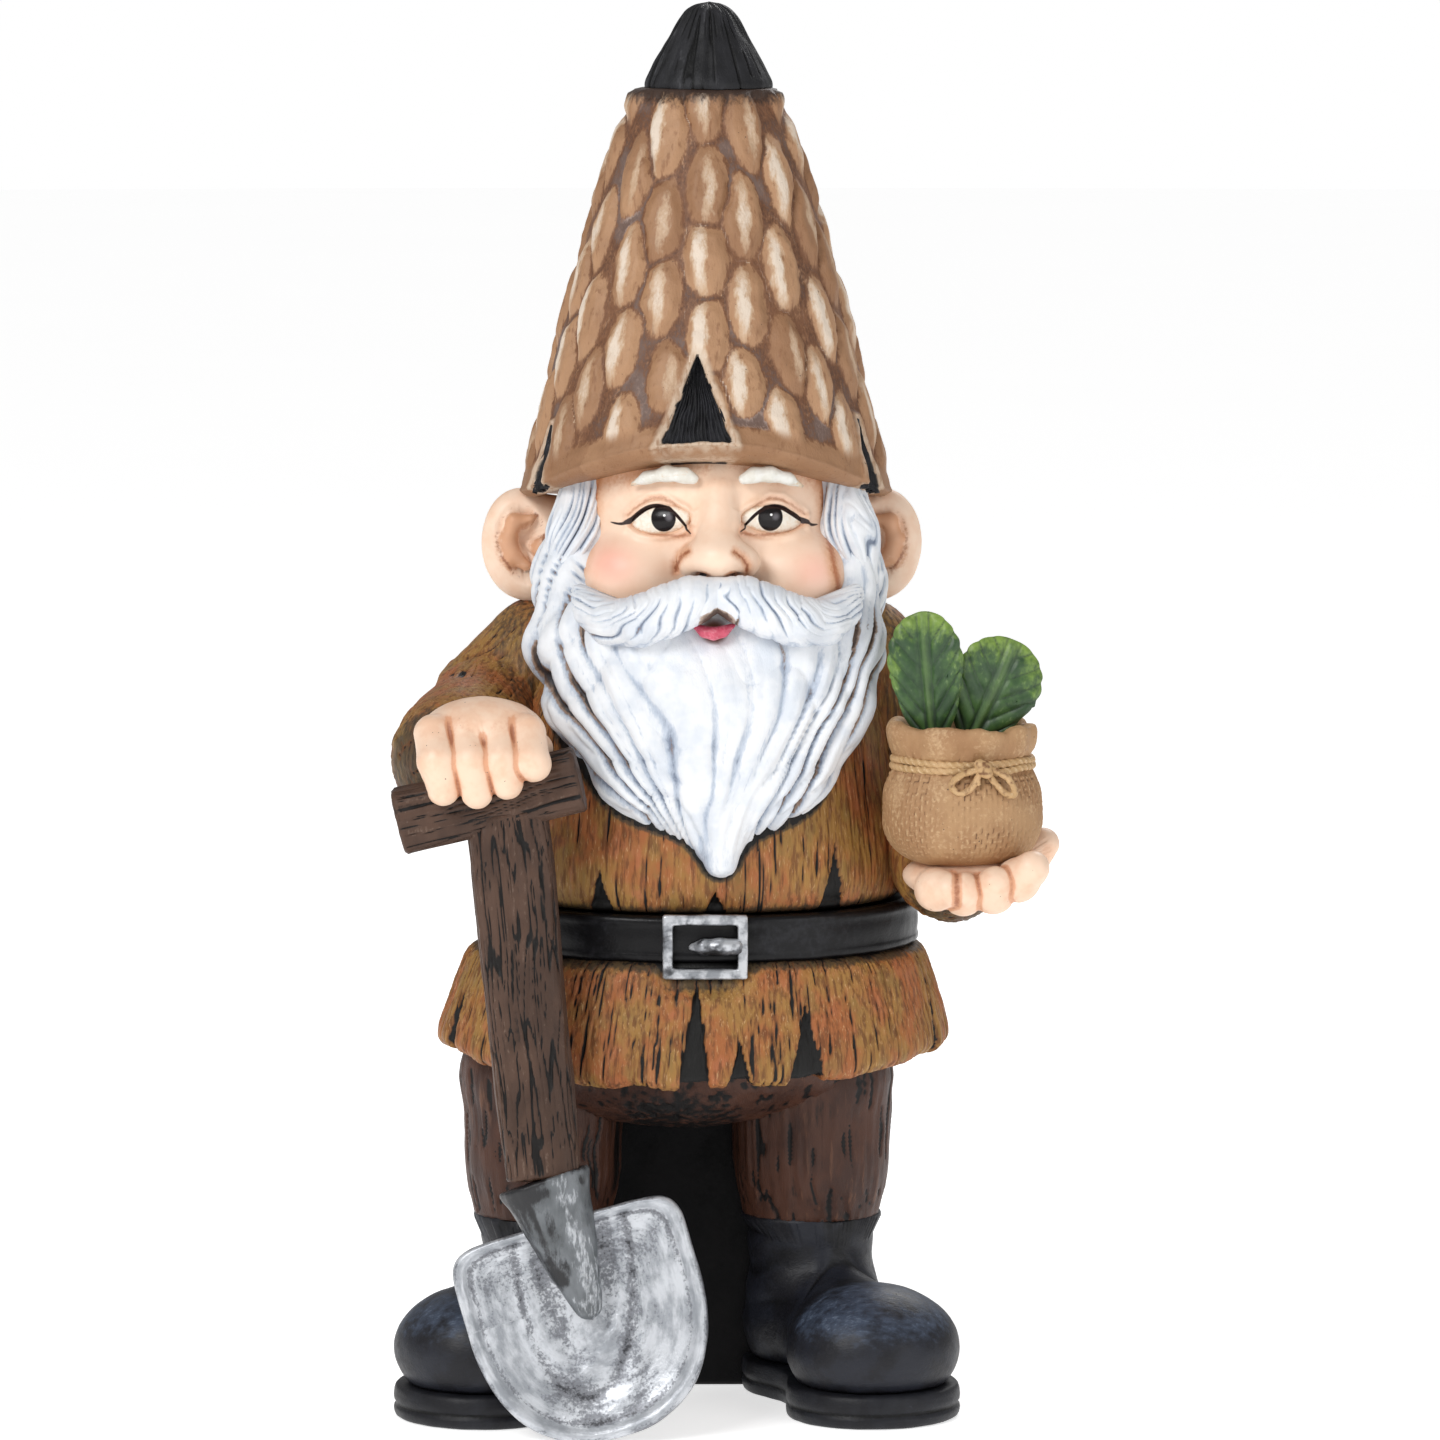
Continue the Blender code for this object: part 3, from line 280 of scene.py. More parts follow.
def cast(form, centre, blend=2, detail=7, hollows=(), inserts=()):
    """A fine ball whose points are drawn in from all sides to the skin of a form."""
    mesh = fine_ball(detail)
    directions = points_of(mesh)
    middle = np.array(centre, float)
    reach = np.full(len(directions), FAR_OUT)
    live = np.arange(len(directions))
    for _ in range(80):
        spots = middle + directions[live] * reach[live, None]
        gap = melted(spots, form, blend)
        if hollows:
            gap = -melted_pair(-gap, melted(spots, hollows, 1), 1)
        if inserts:
            gap = melted_pair(gap, melted(spots, inserts, 1), 1)
        reach[live] = np.maximum(reach[live] - 0.8 * gap, 0.5)
        live = live[np.abs(gap) > CLOSE_ENOUGH]
        if not len(live):
            break
    put_points(mesh, middle + directions * reach[:, None])
    return mesh


def melted_pair(one, other, blend):
    low = np.minimum(one, other)
    return low - blend * np.log(np.exp((low - one) / blend) + np.exp((low - other) / blend))


# %% [markdown]
# Round pieces are turned: a line of (radius, height) points goes once round an upright axis with spin.
# `evenly` first puts many points along a few corners, so that there is enough skin for a fine relief.

# %% Turning a profile
def evenly(corners, step):
    """Points about one step apart along a line of corners."""
    line = [tuple(corners[0])]
    for start, end in zip(corners, corners[1:]):
        count = max(1, round(math.dist(start, end) / step))
        line += [tuple(np.array(start) + (np.array(end) - start) * k / count) for k in range(1, count + 1)]
    return line


def rounded_line(corners, times=2):
    """Cuts the corners of a line, some times over, so that it runs in curves."""
    line = np.array(corners, float)
    for _ in range(times):
        cut = points_from(line[:-1] * 0.75 + line[1:] * 0.25, line[:-1] * 0.25 + line[1:] * 0.75)
        line = np.concatenate([line[:1], cut.reshape(-1, line.shape[1]), line[-1:]])
    return line


def turned(profile, segments):
    """A line of (radius, height) points spun once round the upright axis."""
    bm = bmesh.new()
    verts = [bm.verts.new((radius, 0, height)) for radius, height in profile]
    edges = [bm.edges.new(pair) for pair in zip(verts, verts[1:])]
    bmesh.ops.spin(
        bm, geom=verts + edges, axis=(0, 0, 1), cent=(0, 0, 0), steps=segments, angle=math.tau,
        use_merge=True
    )
    return mesh_from(bm, "turned")


def round_from_front(points):
    """The turn of each point round the axis, 0 at the front and growing towards the gnome's left."""
    return np.arctan2(points[:, 0], -points[:, 1])
# %% [markdown]
# # Paint
# The casting is undercoated, painted with a brush in flat colours, washed with thin dark paint that stays
# in the grooves, and then dry-brushed: a nearly dry brush of a lighter colour catches only the high spots.
# The shaders do the same in the same order. `Shade` wraps a socket so that such sums read as arithmetic,
# and `Finish` holds one material with its nodes.

# %% Shader sums
class Shade:
    """A number from a node, for use in ordinary sums."""

    def __init__(self, finish, socket):
        self.finish = finish
        self.socket = socket

    def sum(self, operation, first, second):
        node = self.finish.node("ShaderNodeMath", {"operation": operation}, {0: first, 1: second})
        return Shade(self.finish, node.outputs[0])

    def __add__(self, other):
        return self.sum("ADD", self, other)

    def __sub__(self, other):
        return self.sum("SUBTRACT", self, other)

    def __rsub__(self, other):
        return self.sum("SUBTRACT", other, self)

    def __mul__(self, other):
        return self.sum("MULTIPLY", self, other)

    __radd__ = __add__
    __rmul__ = __mul__

    def soft(self, low, high):
        """0 below one limit and 1 above the other, as a soft step."""
        values = {"Value": self, "From Min": low, "From Max": high}
        node = self.finish.node("ShaderNodeMapRange", {"interpolation_type": "SMOOTHSTEP"}, values)
        return Shade(self.finish, node.outputs[0])


class Finish:
    """One painted finish: its material, its shader and the nodes that lead to it."""

    def __init__(self, name):
        self.material = bpy.data.materials.new(name)
        self.material.use_nodes = True
        self.tree = self.material.node_tree
        self.shader = self.tree.nodes["Principled BSDF"]
        self.place = self.node("ShaderNodeTexCoord", {}, {}).outputs["Object"]

    def node(self, kind, settings, values):
        node = self.tree.nodes.new(kind)
        for name, setting in settings.items():
            setattr(node, name, setting)
        for name, value in values.items():
            socket = value.socket if isinstance(value, Shade) else value
            if isinstance(socket, bpy.types.NodeSocket):
                self.tree.links.new(socket, node.inputs[name])
            else:
                node.inputs[name].default_value = socket
        return node

    def mark(self, name):
        """A value left on the mesh."""
        return Shade(self, self.node("ShaderNodeAttribute", {"attribute_name": name}, {}).outputs["Fac"])

    def noise(self, size, detail=3, stretch=(1, 1, 1), offset=0.0):
        """Noise whose spots are about `size` millimetres across, drawn out by the stretch."""
        scale = tuple(1 / MM / size / part for part in stretch)
        values = {"Vector": self.place, "Scale": scale, "Location": (offset, offset * 1.7, offset * 0.6)}
        spot = self.node("ShaderNodeMapping", {}, values).outputs[0]
        values = {"Vector": spot, "Scale": 1.0, "Detail": detail, "Roughness": 0.6}
        return Shade(self, self.node("ShaderNodeTexNoise", {}, values).outputs[0])

    def mix(self, first, second, share):
        """One colour passing into another, each a socket or a paint chip's (red, green, blue)."""
        chips = [swatch(*colour) if isinstance(colour, tuple) else colour for colour in (first, second)]
        values = {0: share, 6: chips[0], 7: chips[1]}
        node = self.node("ShaderNodeMix", {"data_type": "RGBA", "clamp_factor": True}, values)
        return node.outputs[2]

    def done(self, colour, roughness, height=None, bump=0.3, lift=0.4, gloss=0.5):
        """Joins the last colour, roughness and bump height, in millimetres, to the shader."""
        self.shader.inputs["Specular IOR Level"].default_value = gloss
        for name, value in (("Base Color", colour), ("Roughness", roughness)):
            socket = value.socket if isinstance(value, Shade) else value
            if isinstance(socket, bpy.types.NodeSocket):
                self.tree.links.new(socket, self.shader.inputs[name])
            else:
                self.shader.inputs[name].default_value = socket
        if height is not None:
            values = {"Height": height, "Strength": bump, "Distance": lift * MM}
            bumps = self.node("ShaderNodeBump", {}, values).outputs[0]
            self.tree.links.new(bumps, self.shader.inputs["Normal"])
        self.material.diffuse_color = (0.5, 0.5, 0.5, 1)
        return self.material


def swatch(red, green, blue):
    """A paint chip's colour, from 0 to 255, as the shader's linear colour."""
    parts = [part / 255 for part in (red, green, blue)]
    return (*(((part + 0.055) / 1.055) ** 2.4 if part > 10 / 255 else part / 12.92 for part in parts), 1.0)


# %% [markdown]
# Most pieces share one way of painting: two close colours in soft patches, a dark wash in the grooves and
# a dry-brushed light colour on the ridges. The wash's edge is broken up by fine noise, as real paint is,
# and its mark is `groove`, from 0 on a ridge to 1 at the bottom. The bump is only the brush strokes and the
# pores of the casting; the grooves themselves are modelled.

# %% The common way of painting
def painted(name, base, other, wash, light, patch=14, stroke=1.2, stretch=(1, 1, 3), wash_at=(0.35, 0.75),
            light_share=0.5, roughness=(0.5, 0.7), bump=0.25, specks=0.0, gloss=0.5):
    finish = Finish(name)
    groove = finish.mark("groove")
    patches = finish.noise(patch, 3, (1, 1, 1.6))
    strokes = finish.noise(stroke, 3, stretch, 3.0)
    fine = finish.noise(stroke * 0.3, 2, stretch, 7.0)
    colour = finish.mix(base, other, patches.soft(0.38, 0.62))
    ridge = (1 - groove) + (strokes - 0.5) * 1.1 + (patches - 0.5) * 0.6
    colour = finish.mix(colour, light, ridge.soft(0.85, 1.25) * light_share)
    hollow = groove + (strokes - 0.5) * 0.5 + (fine - 0.5) * 0.35
    colour = finish.mix(colour, wash, hollow.soft(*wash_at))
    if specks:
        dots = finish.noise(1.1, 1, (1, 1, 1), 11.0)
        colour = finish.mix(colour, (30, 26, 24), dots.soft(0.76, 0.80) * specks)
    shine = strokes * (roughness[1] - roughness[0]) + roughness[0]
    return finish.done(colour, shine, fine + strokes * 0.8, bump, gloss=gloss)
# %% [markdown]
# # The hat
# The hat is a straw cone, modelled as nine rings of long rounded bundles that overlap like scales, with a
# smooth rolled brim. The bundles could each be an object, but on the casting they are one skin, so the
# cone is turned with a very fine mesh and the bundles are raised on it. Their middles lie on rings round
# the cone, each ring shifted by half a bundle from the one below, and every point of the skin belongs to
# the middle that is nearest when heights count for less than widths, which gives long cells.

# %% The cone
BRIM_HALF = 59.9
HAT_DEPTH = 0.93
ROUND = 0.965        # the oval's mean radius, as a share of its half width
HAT_HEIGHT = HAT_TOP - BRIM
HAT_SIDE = 1.8      # the hat's axis stands to the side of the figure's


def hat_half(share):
    """Half width of the hat, from the brim at 0 to the foot of the black tip at 1."""
    return BRIM_HALF * (1 - 0.51 * share - 0.018 * share**2 - 0.083 * share**3)


def brim_lift(y, share):
    """How far the hat's edge rises over the forehead and drops behind, fading out up the hat."""
    forward = np.clip(-y / BRIM_HALF, -1, 1)
    lift = np.where(forward > 0, 20 * forward**2, -7 * forward**2)
    return lift * np.clip(1 - share, 0, 1) ** 1.5


cone = [(hat_half(rise / HAT_HEIGHT) + 0.25, rise) for rise in np.arange(3.2, HAT_HEIGHT - 1.5, 0.6)]
under = [(0, 6), (30, 5), (44, 3.5), (51, 1.5), (54.5, 0.3), (57.2, 0.1), (59, 1.0), (59.9, 2.2)]
over = [
    (hat_half(1) - 0.4, HAT_HEIGHT - 0.5), (hat_half(1) - 2.5, HAT_HEIGHT), (12, HAT_HEIGHT + 0.3),
    (0, HAT_HEIGHT + 0.3)
]
hat = turned([*rounded_line(under, 1), *cone, *over], 400)
spots = points_of(hat)
turn = round_from_front(spots)
share = spots[:, 2] / HAT_HEIGHT
skin = (np.hypot(spots[:, 0], spots[:, 1]) > hat_half(share) - 1.6) & (share > 0.012) & (share < 0.995)
print("hat skin points:", int(skin.sum()))

# %% The middles of the straw bundles
RINGS, FIRST_RING, RING_STEP = 9, 0.125, 0.109    # the last two as shares of the hat's height
BUNDLE_WIDTH = 26.5
dice = np.random.default_rng(7)
middles = []
for ring in range(RINGS):
    ring_share = FIRST_RING + RING_STEP * ring
    count = round(math.tau * hat_half(ring_share) * ROUND / BUNDLE_WIDTH)
    for place in range(count):
        jitter = dice.uniform(-1, 1, 2)
        at = (place + 0.5 * (ring % 2) + 0.06 * jitter[0]) / count * math.tau
        middles.append((at, ring_share + 0.024 * jitter[1], dice.uniform(0, 1)))
middles = np.array(middles)

wobble = rough(spots, 9, 3) * 1.3 + 0.35 * cloud(spots / 2.5, 4)
near = np.full((len(spots), 3), 1e9)    # nearest, next nearest, and which
local = np.zeros((len(spots), 2))
for index, (at, ring_share, chance) in enumerate(middles):
    across = ((turn - at + math.pi) % math.tau - math.pi) * hat_half(share) * ROUND + wobble
    up = (share - ring_share) * HAT_HEIGHT * 1.06
    gap = np.hypot(across, up * 0.44)
    closer = gap < near[:, 0]
    near[:, 1] = np.where(closer, near[:, 0], np.minimum(near[:, 1], gap))
    near[:, 2] = np.where(closer, index, near[:, 2])
    near[:, 0] = np.where(closer, gap, near[:, 0])
    local[closer] = points_from(across[closer] / 6.4, up[closer] / 15.5)
oval = np.hypot(local[:, 0] * 0.92, local[:, 1] * 0.93)
edge = np.minimum(near[:, 1] - near[:, 0], (1.07 - oval) * 7.5)
print("straw bundles:", len(middles))

# %% [markdown]
# Three tears show dark straw below the skin: a broad one over the nose and a slit on either side. Their
# place is worked out as the part does: a turn round the hat, a width, a height and a rise above the brim.

# %% Tears, and the hat's relief
TEARS = {
    "front": (math.radians(-3), 22.5, 38, 2.5),
    "right": (math.radians(-64), 7.5, 21, 1),
    "left": (math.radians(64), 8, 23, 1),
}


def tear_gap(name, turn, rise):
    """Distance outside a tear's slanting sides, in millimetres, below 0 inside it."""
    at, width, height, foot = TEARS[name]
    across = np.abs(turn - at) * hat_half(rise / HAT_HEIGHT) * ROUND
    side = across - width / 2 * (1 - (rise - foot) / height)
    return np.maximum(side * 0.93, np.maximum(foot - rise, rise - foot - height))


torn = np.minimum.reduce([tear_gap(name, turn, spots[:, 2]) for name in TEARS])
ragged = torn + rough(spots, 2.5, 8) * 0.8
band = soft(spots[:, 2], 7, 13)
bundle = soft(edge, 0.2, 3.9) * band * soft(torn, 1.5, 4)
straws = grain(spots, (0, 0, 1), 1.5, 14, 21)
height = bundle * (2.2 - 0.6 * (near[:, 0] / 7) ** 2) - 1.1 * band
height += 0.2 * straws * band + 0.4 * rough(spots, 5, 5)
height += 1.3 * hump(torn, 1.6, 1.3) - 2.6 * soft(-ragged, 0, 1.2)
height -= 1.1 * soft(spots[:, 2] / HAT_HEIGHT + 0.02 * rough(spots, 4, 6), 0.975, 0.995)
raise_skin(hat, np.where(skin, height, 0))
placed = points_of(hat)
placed[:, 2] += BRIM + brim_lift(spots[:, 1], share)
placed *= (1, HAT_DEPTH, 1)
put_points(hat, placed + (HAT_SIDE, 0, 0))

groove = 1 - soft(edge, 0.2, 2.5)
mark(hat, "groove", groove * band * soft(torn, 0.5, 3))
mark(hat, "across", local[:, 0])
mark(hat, "up", local[:, 1])
mark(hat, "chance", middles[near[:, 2].astype(int), 2])
mark(hat, "torn", ragged)
mark(hat, "band", band)
mark(hat, "share", share)

# %% [markdown]
# Each bundle is tan, with a soft cream streak that the brush left up one side of its middle, brown wash
# round it that bleeds into the straw, and here and there a lilac grey in the gaps where the undercoat
# shows. The streak is painted from the bundle's own two marks, `across` and `up`, so it sits on every one.

# %% Straw paint
def straw_paint():
    finish = Finish("painted_straw")
    groove, across, up = finish.mark("groove"), finish.mark("across"), finish.mark("up")
    chance, torn, band, share = (finish.mark(name) for name in ("chance", "torn", "band", "share"))
    patches = finish.noise(22, 3, (1, 1, 1.5))
    strokes = finish.noise(1.7, 4, (1, 1, 3.5), 2.0)
    fine = finish.noise(0.7, 3, (1, 1, 2), 5.0)
    tone = finish.mix((146, 107, 76), (172, 132, 98), (patches + chance * 0.35).soft(0.5, 0.85))
    tone = finish.mix(tone, (122, 82, 54), strokes.soft(0.54, 0.7) * 0.6)
    off_middle = across + chance * 0.8 - 0.3 + (strokes - 0.5) * 0.7
    streak = 1 - off_middle * off_middle * 6.0 - up * up + (chance - 0.62) * 0.9 + (fine - 0.5) * 0.7
    tone = finish.mix(tone, (206, 180, 152), streak.soft(-0.1, 0.6) * band * 0.6)
    tone = finish.mix(tone, (222, 208, 192), streak.soft(0.45, 1.1) * band * 0.8)
    bleed = groove + (strokes - 0.5) * 1.6 + (fine - 0.5) * 0.8 + (patches - 0.5) * 0.8
    tone = finish.mix(tone, (112, 73, 48), bleed.soft(0.4, 0.95) * 0.9)
    lilac = (groove + (patches - 0.5) * 3.0 + (fine - 0.5) * 0.9).soft(1.12, 1.45)
    tone = finish.mix(tone, (186, 172, 166), lilac * 0.6)
    deep = (groove + (fine - 0.5) * 0.9 + (patches - 0.5) * 1.2).soft(0.85, 1.2)
    tone = finish.mix(tone, (74, 46, 32), deep * 0.75)
    brim = (1 - band) * patches.soft(0.3, 0.6)
    tone = finish.mix(tone, (140, 101, 70), brim * 0.7)
    lip = (1 - torn.soft(0.9, 3.2)) * (strokes + 0.2).soft(0.45, 0.8)
    tone = finish.mix(tone, (206, 186, 164), lip * 0.8)
    tone = finish.mix(tone, (24, 22, 22), 1 - torn.soft(-0.3, 0.25))
    crown = (share + (strokes - 0.5) * 0.06 + (fine - 0.5) * 0.04).soft(0.955, 0.99)
    tone = finish.mix(tone, (62, 45, 36), crown)
    specks = finish.noise(1.0, 1, (1, 1, 1), 13.0).soft(0.77, 0.8)
    tone = finish.mix(tone, (52, 38, 30), specks * 0.8)
    return finish.done(tone, strokes * 0.25 + 0.42, fine + strokes, 0.4, 0.5, gloss=0.4)


show("straw_hat", hat, straw_paint(), "straw_brown", "hat")

# %% [markdown]
# The dark straw in a tear is a bundle of bristles that runs up to a point. A flat grid is drawn to the
# triangle, laid just under the hat's skin, ridged from the point down, and given a thickness.

# %% Bristles in the tears
def bristles(name):
    at, width, height, foot = TEARS[name]
    columns, rows = (90, 60) if name == "front" else (30, 40)
    bm = bmesh.new()
    bmesh.ops.create_grid(bm, x_segments=columns, y_segments=rows, size=1)
    patch = bpy.data.meshes.new("patch")
    bm.to_mesh(patch)
    flat = points_of(patch)
    side, rise = flat[:, 0], (flat[:, 1] + 1) / 2
    across = side * (width / 2 + 1.0) * (1 - rise * 0.98)
    z = foot - 0.8 + rise * (height + 1.0)
    bristle = np.abs(np.sin(side * width * 1.15 + 1.5 * cloud(flat * (2, 3, 1) + 5, 31)))
    depth = -1.1 + 0.9 * bristle + 0.5 * cloud(flat * (width / 2, 4, 1), 32)
    half = hat_half(z / HAT_HEIGHT) + depth
    angle = at + across / half / ROUND
    y = -np.cos(angle) * half
    place = points_from(
        np.sin(angle) * half + HAT_SIDE, y * HAT_DEPTH, z + BRIM + brim_lift(y, z / HAT_HEIGHT)
    )
    for vert, spot in zip(bm.verts, place):
        vert.co = spot
    bmesh.ops.recalc_face_normals(bm, faces=bm.faces)
    bmesh.ops.solidify(bm, geom=bm.faces[:], thickness=1.5)
    bpy.data.meshes.remove(patch)
    mesh = mesh_from(bm, "bristles")
    spots = points_of(mesh)
    mark(mesh, "groove", 0.5 - 0.5 * grain(spots, (0, 0, 1), 0.8, 12, 33))
    return mesh


bristle_black = painted("bristle_black", (26, 26, 28), (38, 38, 42), (6, 6, 7), (122, 122, 128),
                        6, 0.7, (1, 1, 6), (0.6, 0.9), 0.45, (0.35, 0.6), 0.5, gloss=0.25)
for side in TEARS:
    show(f"straw_tear_{side}", bristles(side), bristle_black, "straw_black", f"hat_tear_{side}")

# %% [markdown]
# The hat ends in a stub of tarred straw. It is turned, then scored upwards by coarse and fine grain.

# %% Black tip
tip_half = hat_half(1) - 3
tip_rise = HEIGHT - HAT_TOP
outline = [
    (0, -1.5), (1.0, -1.5), (1.02, 0.04), (0.985, 0.12), (0.84, 0.34), (0.62, 0.62), (0.44, 0.86),
    (0.28, 0.97), (0, 1)
]
tip_line = [(tip_half * across, HAT_TOP + tip_rise * max(up, -0.04)) for across, up in outline]
tip = turned(evenly(rounded_line(tip_line, 3), 0.8), 260)
put_points(tip, points_of(tip) + (TIP_OFFSET, 0, 0))
spots = points_of(tip)
angle = np.arctan2(spots[:, 1], spots[:, 0] - TIP_OFFSET)
ringed = points_from(np.cos(angle) * 9, np.sin(angle) * 9, spots[:, 2] / 16)
scored = cloud(ringed, 41)
lines = soft(cloud(ringed * (2.2, 2.2, 1.3), 43), 0.3, 0.62)
raise_skin(tip, 0.4 * scored + 0.4 * rough(spots, 6, 45) - 0.5 * lines - 0.3)
mark(tip, "groove", np.clip(lines + 0.35 - 0.35 * scored, 0, 1))
tar_black = painted("tar_black", (27, 27, 29), (38, 38, 41), (8, 8, 9), (100, 100, 104),
                    9, 1.2, (1, 1, 5), (0.5, 0.85), 0.4, (0.4, 0.6), 0.4, gloss=0.25)
show("tar_tip", tip, tar_black, "straw_black", "hat_tip")
# %% [markdown]
# # The face
# The face is a plain doll's face: a broad forehead, full cheeks, a ball of a nose and big dark eyes that
# are painted, not modelled. It is cast from a few balls, with its centre well forward so that most of the
# fine mesh lands on the front. Nostrils are hollows, and the lids are a raised welt round each eye.

# %% Head form
def by_head(*offset):
    return tuple(HEAD + np.array(offset, float))


def head_corners(corners):
    """Corners of a chain given from the head's middle."""
    return [(*by_head(x, y, z), radius) for x, y, z, radius in corners]


head_form = [
    ball(by_head(0, 0, 0), (47, 46, 48)),
    ball(by_head(1, -4, -24), (41, 38, 26)),
    ball(by_head(-23, -33, -19), (16.5, 15, 15)),
    ball(by_head(28, -33, -19), (16.5, 15, 15)),
    ball(by_head(3.5, -54.5, -11), (8.2, 9.2, 6.6)),
    ball(by_head(-4.6, -50.5, -12.8), (5, 6.4, 4.6)),
    ball(by_head(11.8, -50.5, -12.8), (5, 6.4, 4.6)),
    rod(by_head(3.8, -45, 8), by_head(3.6, -52, -6), 4.6, 5.6),
]
nostrils = [
    ball(by_head(-1.2, -55, -17.4), (2.5, 3, 2.0)),
    ball(by_head(8.4, -55, -17.4), (2.5, 3, 2.0)),
]
face = cast(head_form, by_head(3, -26, -8), 2.0, 7, nostrils)
spots = points_of(face)
front = soft(-spots[:, 1], 5, 25)
across, up = spots[:, 0], spots[:, 2] - HEAD[2]

# %% [markdown]
# The lines of the face are short lists of (across, up) corners, in millimetres from the head's middle
# height. Each point of the skin keeps its distance to them. A distance changes evenly over the skin, so
# the shader can cut a crisp painted line from it even where the mesh is coarser than the line.

# %% Lines of the face
LID_RIGHT = [
    (-3.0, -4.2), (-5.2, -0.9), (-8.6, 3.0), (-12.2, 4.6), (-15.8, 4.2), (-19.4, 1.9), (-22.4, -1.1),
    (-25.0, -1.9), (-28.6, -1.5)
]
LID_LEFT = [(12.7, -3.6), (15.0, -0.7), (18.3, 2.5), (22.0, 4.3), (25.6, 3.8), (29.2, 1.5), (32.8, -1.2),
            (35.4, -2.6), (37.4, -2.5)]
UNDER_RIGHT = [(-3.0, -4.6), (-6.0, -4.9), (-10.8, -4.9), (-15.6, -4.3), (-19.4, -2.9), (-22.4, -1.3)]
UNDER_LEFT = [(12.7, -3.9), (16.0, -4.7), (20.2, -5.0), (24.8, -4.4), (29.2, -3.2), (32.8, -1.6)]
WINGS = [
    [(-4.0, -8.6), (-6.4, -10.6), (-7.8, -13.6), (-7.6, -16.6)],
    [(11.0, -8.6), (13.6, -10.6), (15.2, -13.6), (14.6, -16.6)]
]
CHEEK_EDGES = [
    [(-32.0, 13.6), (-33.6, 6), (-34.4, -1.6), (-36.4, -10), (-39.0, -19), (-40.4, -24)],
    [(39.0, 13), (39.4, 5), (40.0, -3), (41.8, -11), (43.6, -20), (44.4, -26)],
]
EYES = {"right": (-12.4, -0.3, 9.9), "left": (22.6, -0.3, 10.2)}


def eye_gap(name, across, up):
    """About how far outside an eye's almond outline, in millimetres."""
    middle, level, half = EYES[name]
    side = (across - middle) / half
    lean = side if name == "left" else -side
    tall = np.where(up > level - 1.2 * lean, 4.9, 4.4)
    tall = tall * np.sqrt(np.clip(1.02 - np.abs(side) ** 1.9, 0.02, 1))
    return np.maximum(np.abs(up - level + 1.0 * lean) - tall, (np.abs(side) - 1) * half)


gap_right, gap_left = (eye_gap(name, across, up) for name in ("right", "left"))
eye_edge = np.where(front > 0, np.minimum(gap_right, gap_left), 20)
lid_width = []
for line in (LID_RIGHT, LID_LEFT):
    gap, along = near_line(across, up, rounded_line(line))
    lid_width.append(
        gap - 0.64 * np.interp(along, [0, 0.2, 0.5, 0.74, 0.82, 1], [0.35, 0.8, 1, 1.15, 0.75, 0.3])
    )
lid_line = np.where(front > 0, np.minimum(*lid_width), 20)
under = np.minimum(*(near_line(across, up, line)[0] for line in (UNDER_RIGHT, UNDER_LEFT)))
wing = np.minimum(*(near_line(across, up, line)[0] for line in WINGS))
cheek = np.minimum(*(near_line(across, up, line)[0] for line in CHEEK_EDGES))
fold = np.minimum(*(near_line(across, up - 2.4, line[:7])[0] for line in (LID_RIGHT, LID_LEFT)))

height = 0.9 * hump(eye_edge, 1.1, 0.9) - 1.3 * soft(-eye_edge, -0.3, 1.2)
height += 0.5 * hump(fold, 1.3, 1.0) - 0.45 * hump(fold, 0, 0.8)
height -= 0.7 * hump(wing, 0, 0.9) * soft(up, -18.5, -16.5)
height += 0.25 * rough(spots, 16, 51) + 0.06 * rough(spots, 3, 52)
raise_skin(face, height * front)

mark(face, "lid", lid_line)
for name, gap in (("under", under), ("wing", wing), ("cheek", cheek), ("fold", fold)):
    mark(face, name, np.where(front > 0, gap, 20))
# Height below the hat's brim, which the skin paint darkens in blotches: wash and painted shade.
mark(face, "brow", up - 14.2 + 0.0052 * (across - 3) ** 2)


def dab(x, z, wide, tall):
    """1 in the middle of an oval dab of paint on the face, fading out round it."""
    return np.exp(-(((across - x) / wide) ** 2) - ((up - z) / tall) ** 2)


mark(face, "blush", front * (dab(-28, -14, 7.5, 6) + 0.7 * dab(36.5, -16, 7, 6)))
mark(face, "nostril", front * (dab(0.8, -17, 2.3, 1.8) + 0.8 * dab(10.2, -16.8, 2.6, 2)))

# %% [markdown]
# Skin is a warm cream with a little gloss. A thin orange-brown wash lies in the folds: round the eyes, in
# the wings of the nose, down the edge of the cheeks and, with painted shade, in blotches under the hat. The
# blush is soft.

# %% Skin paint
SKIN, SKIN_SHADE, UMBER = (243, 214, 190), (236, 196, 166), (176, 104, 62)


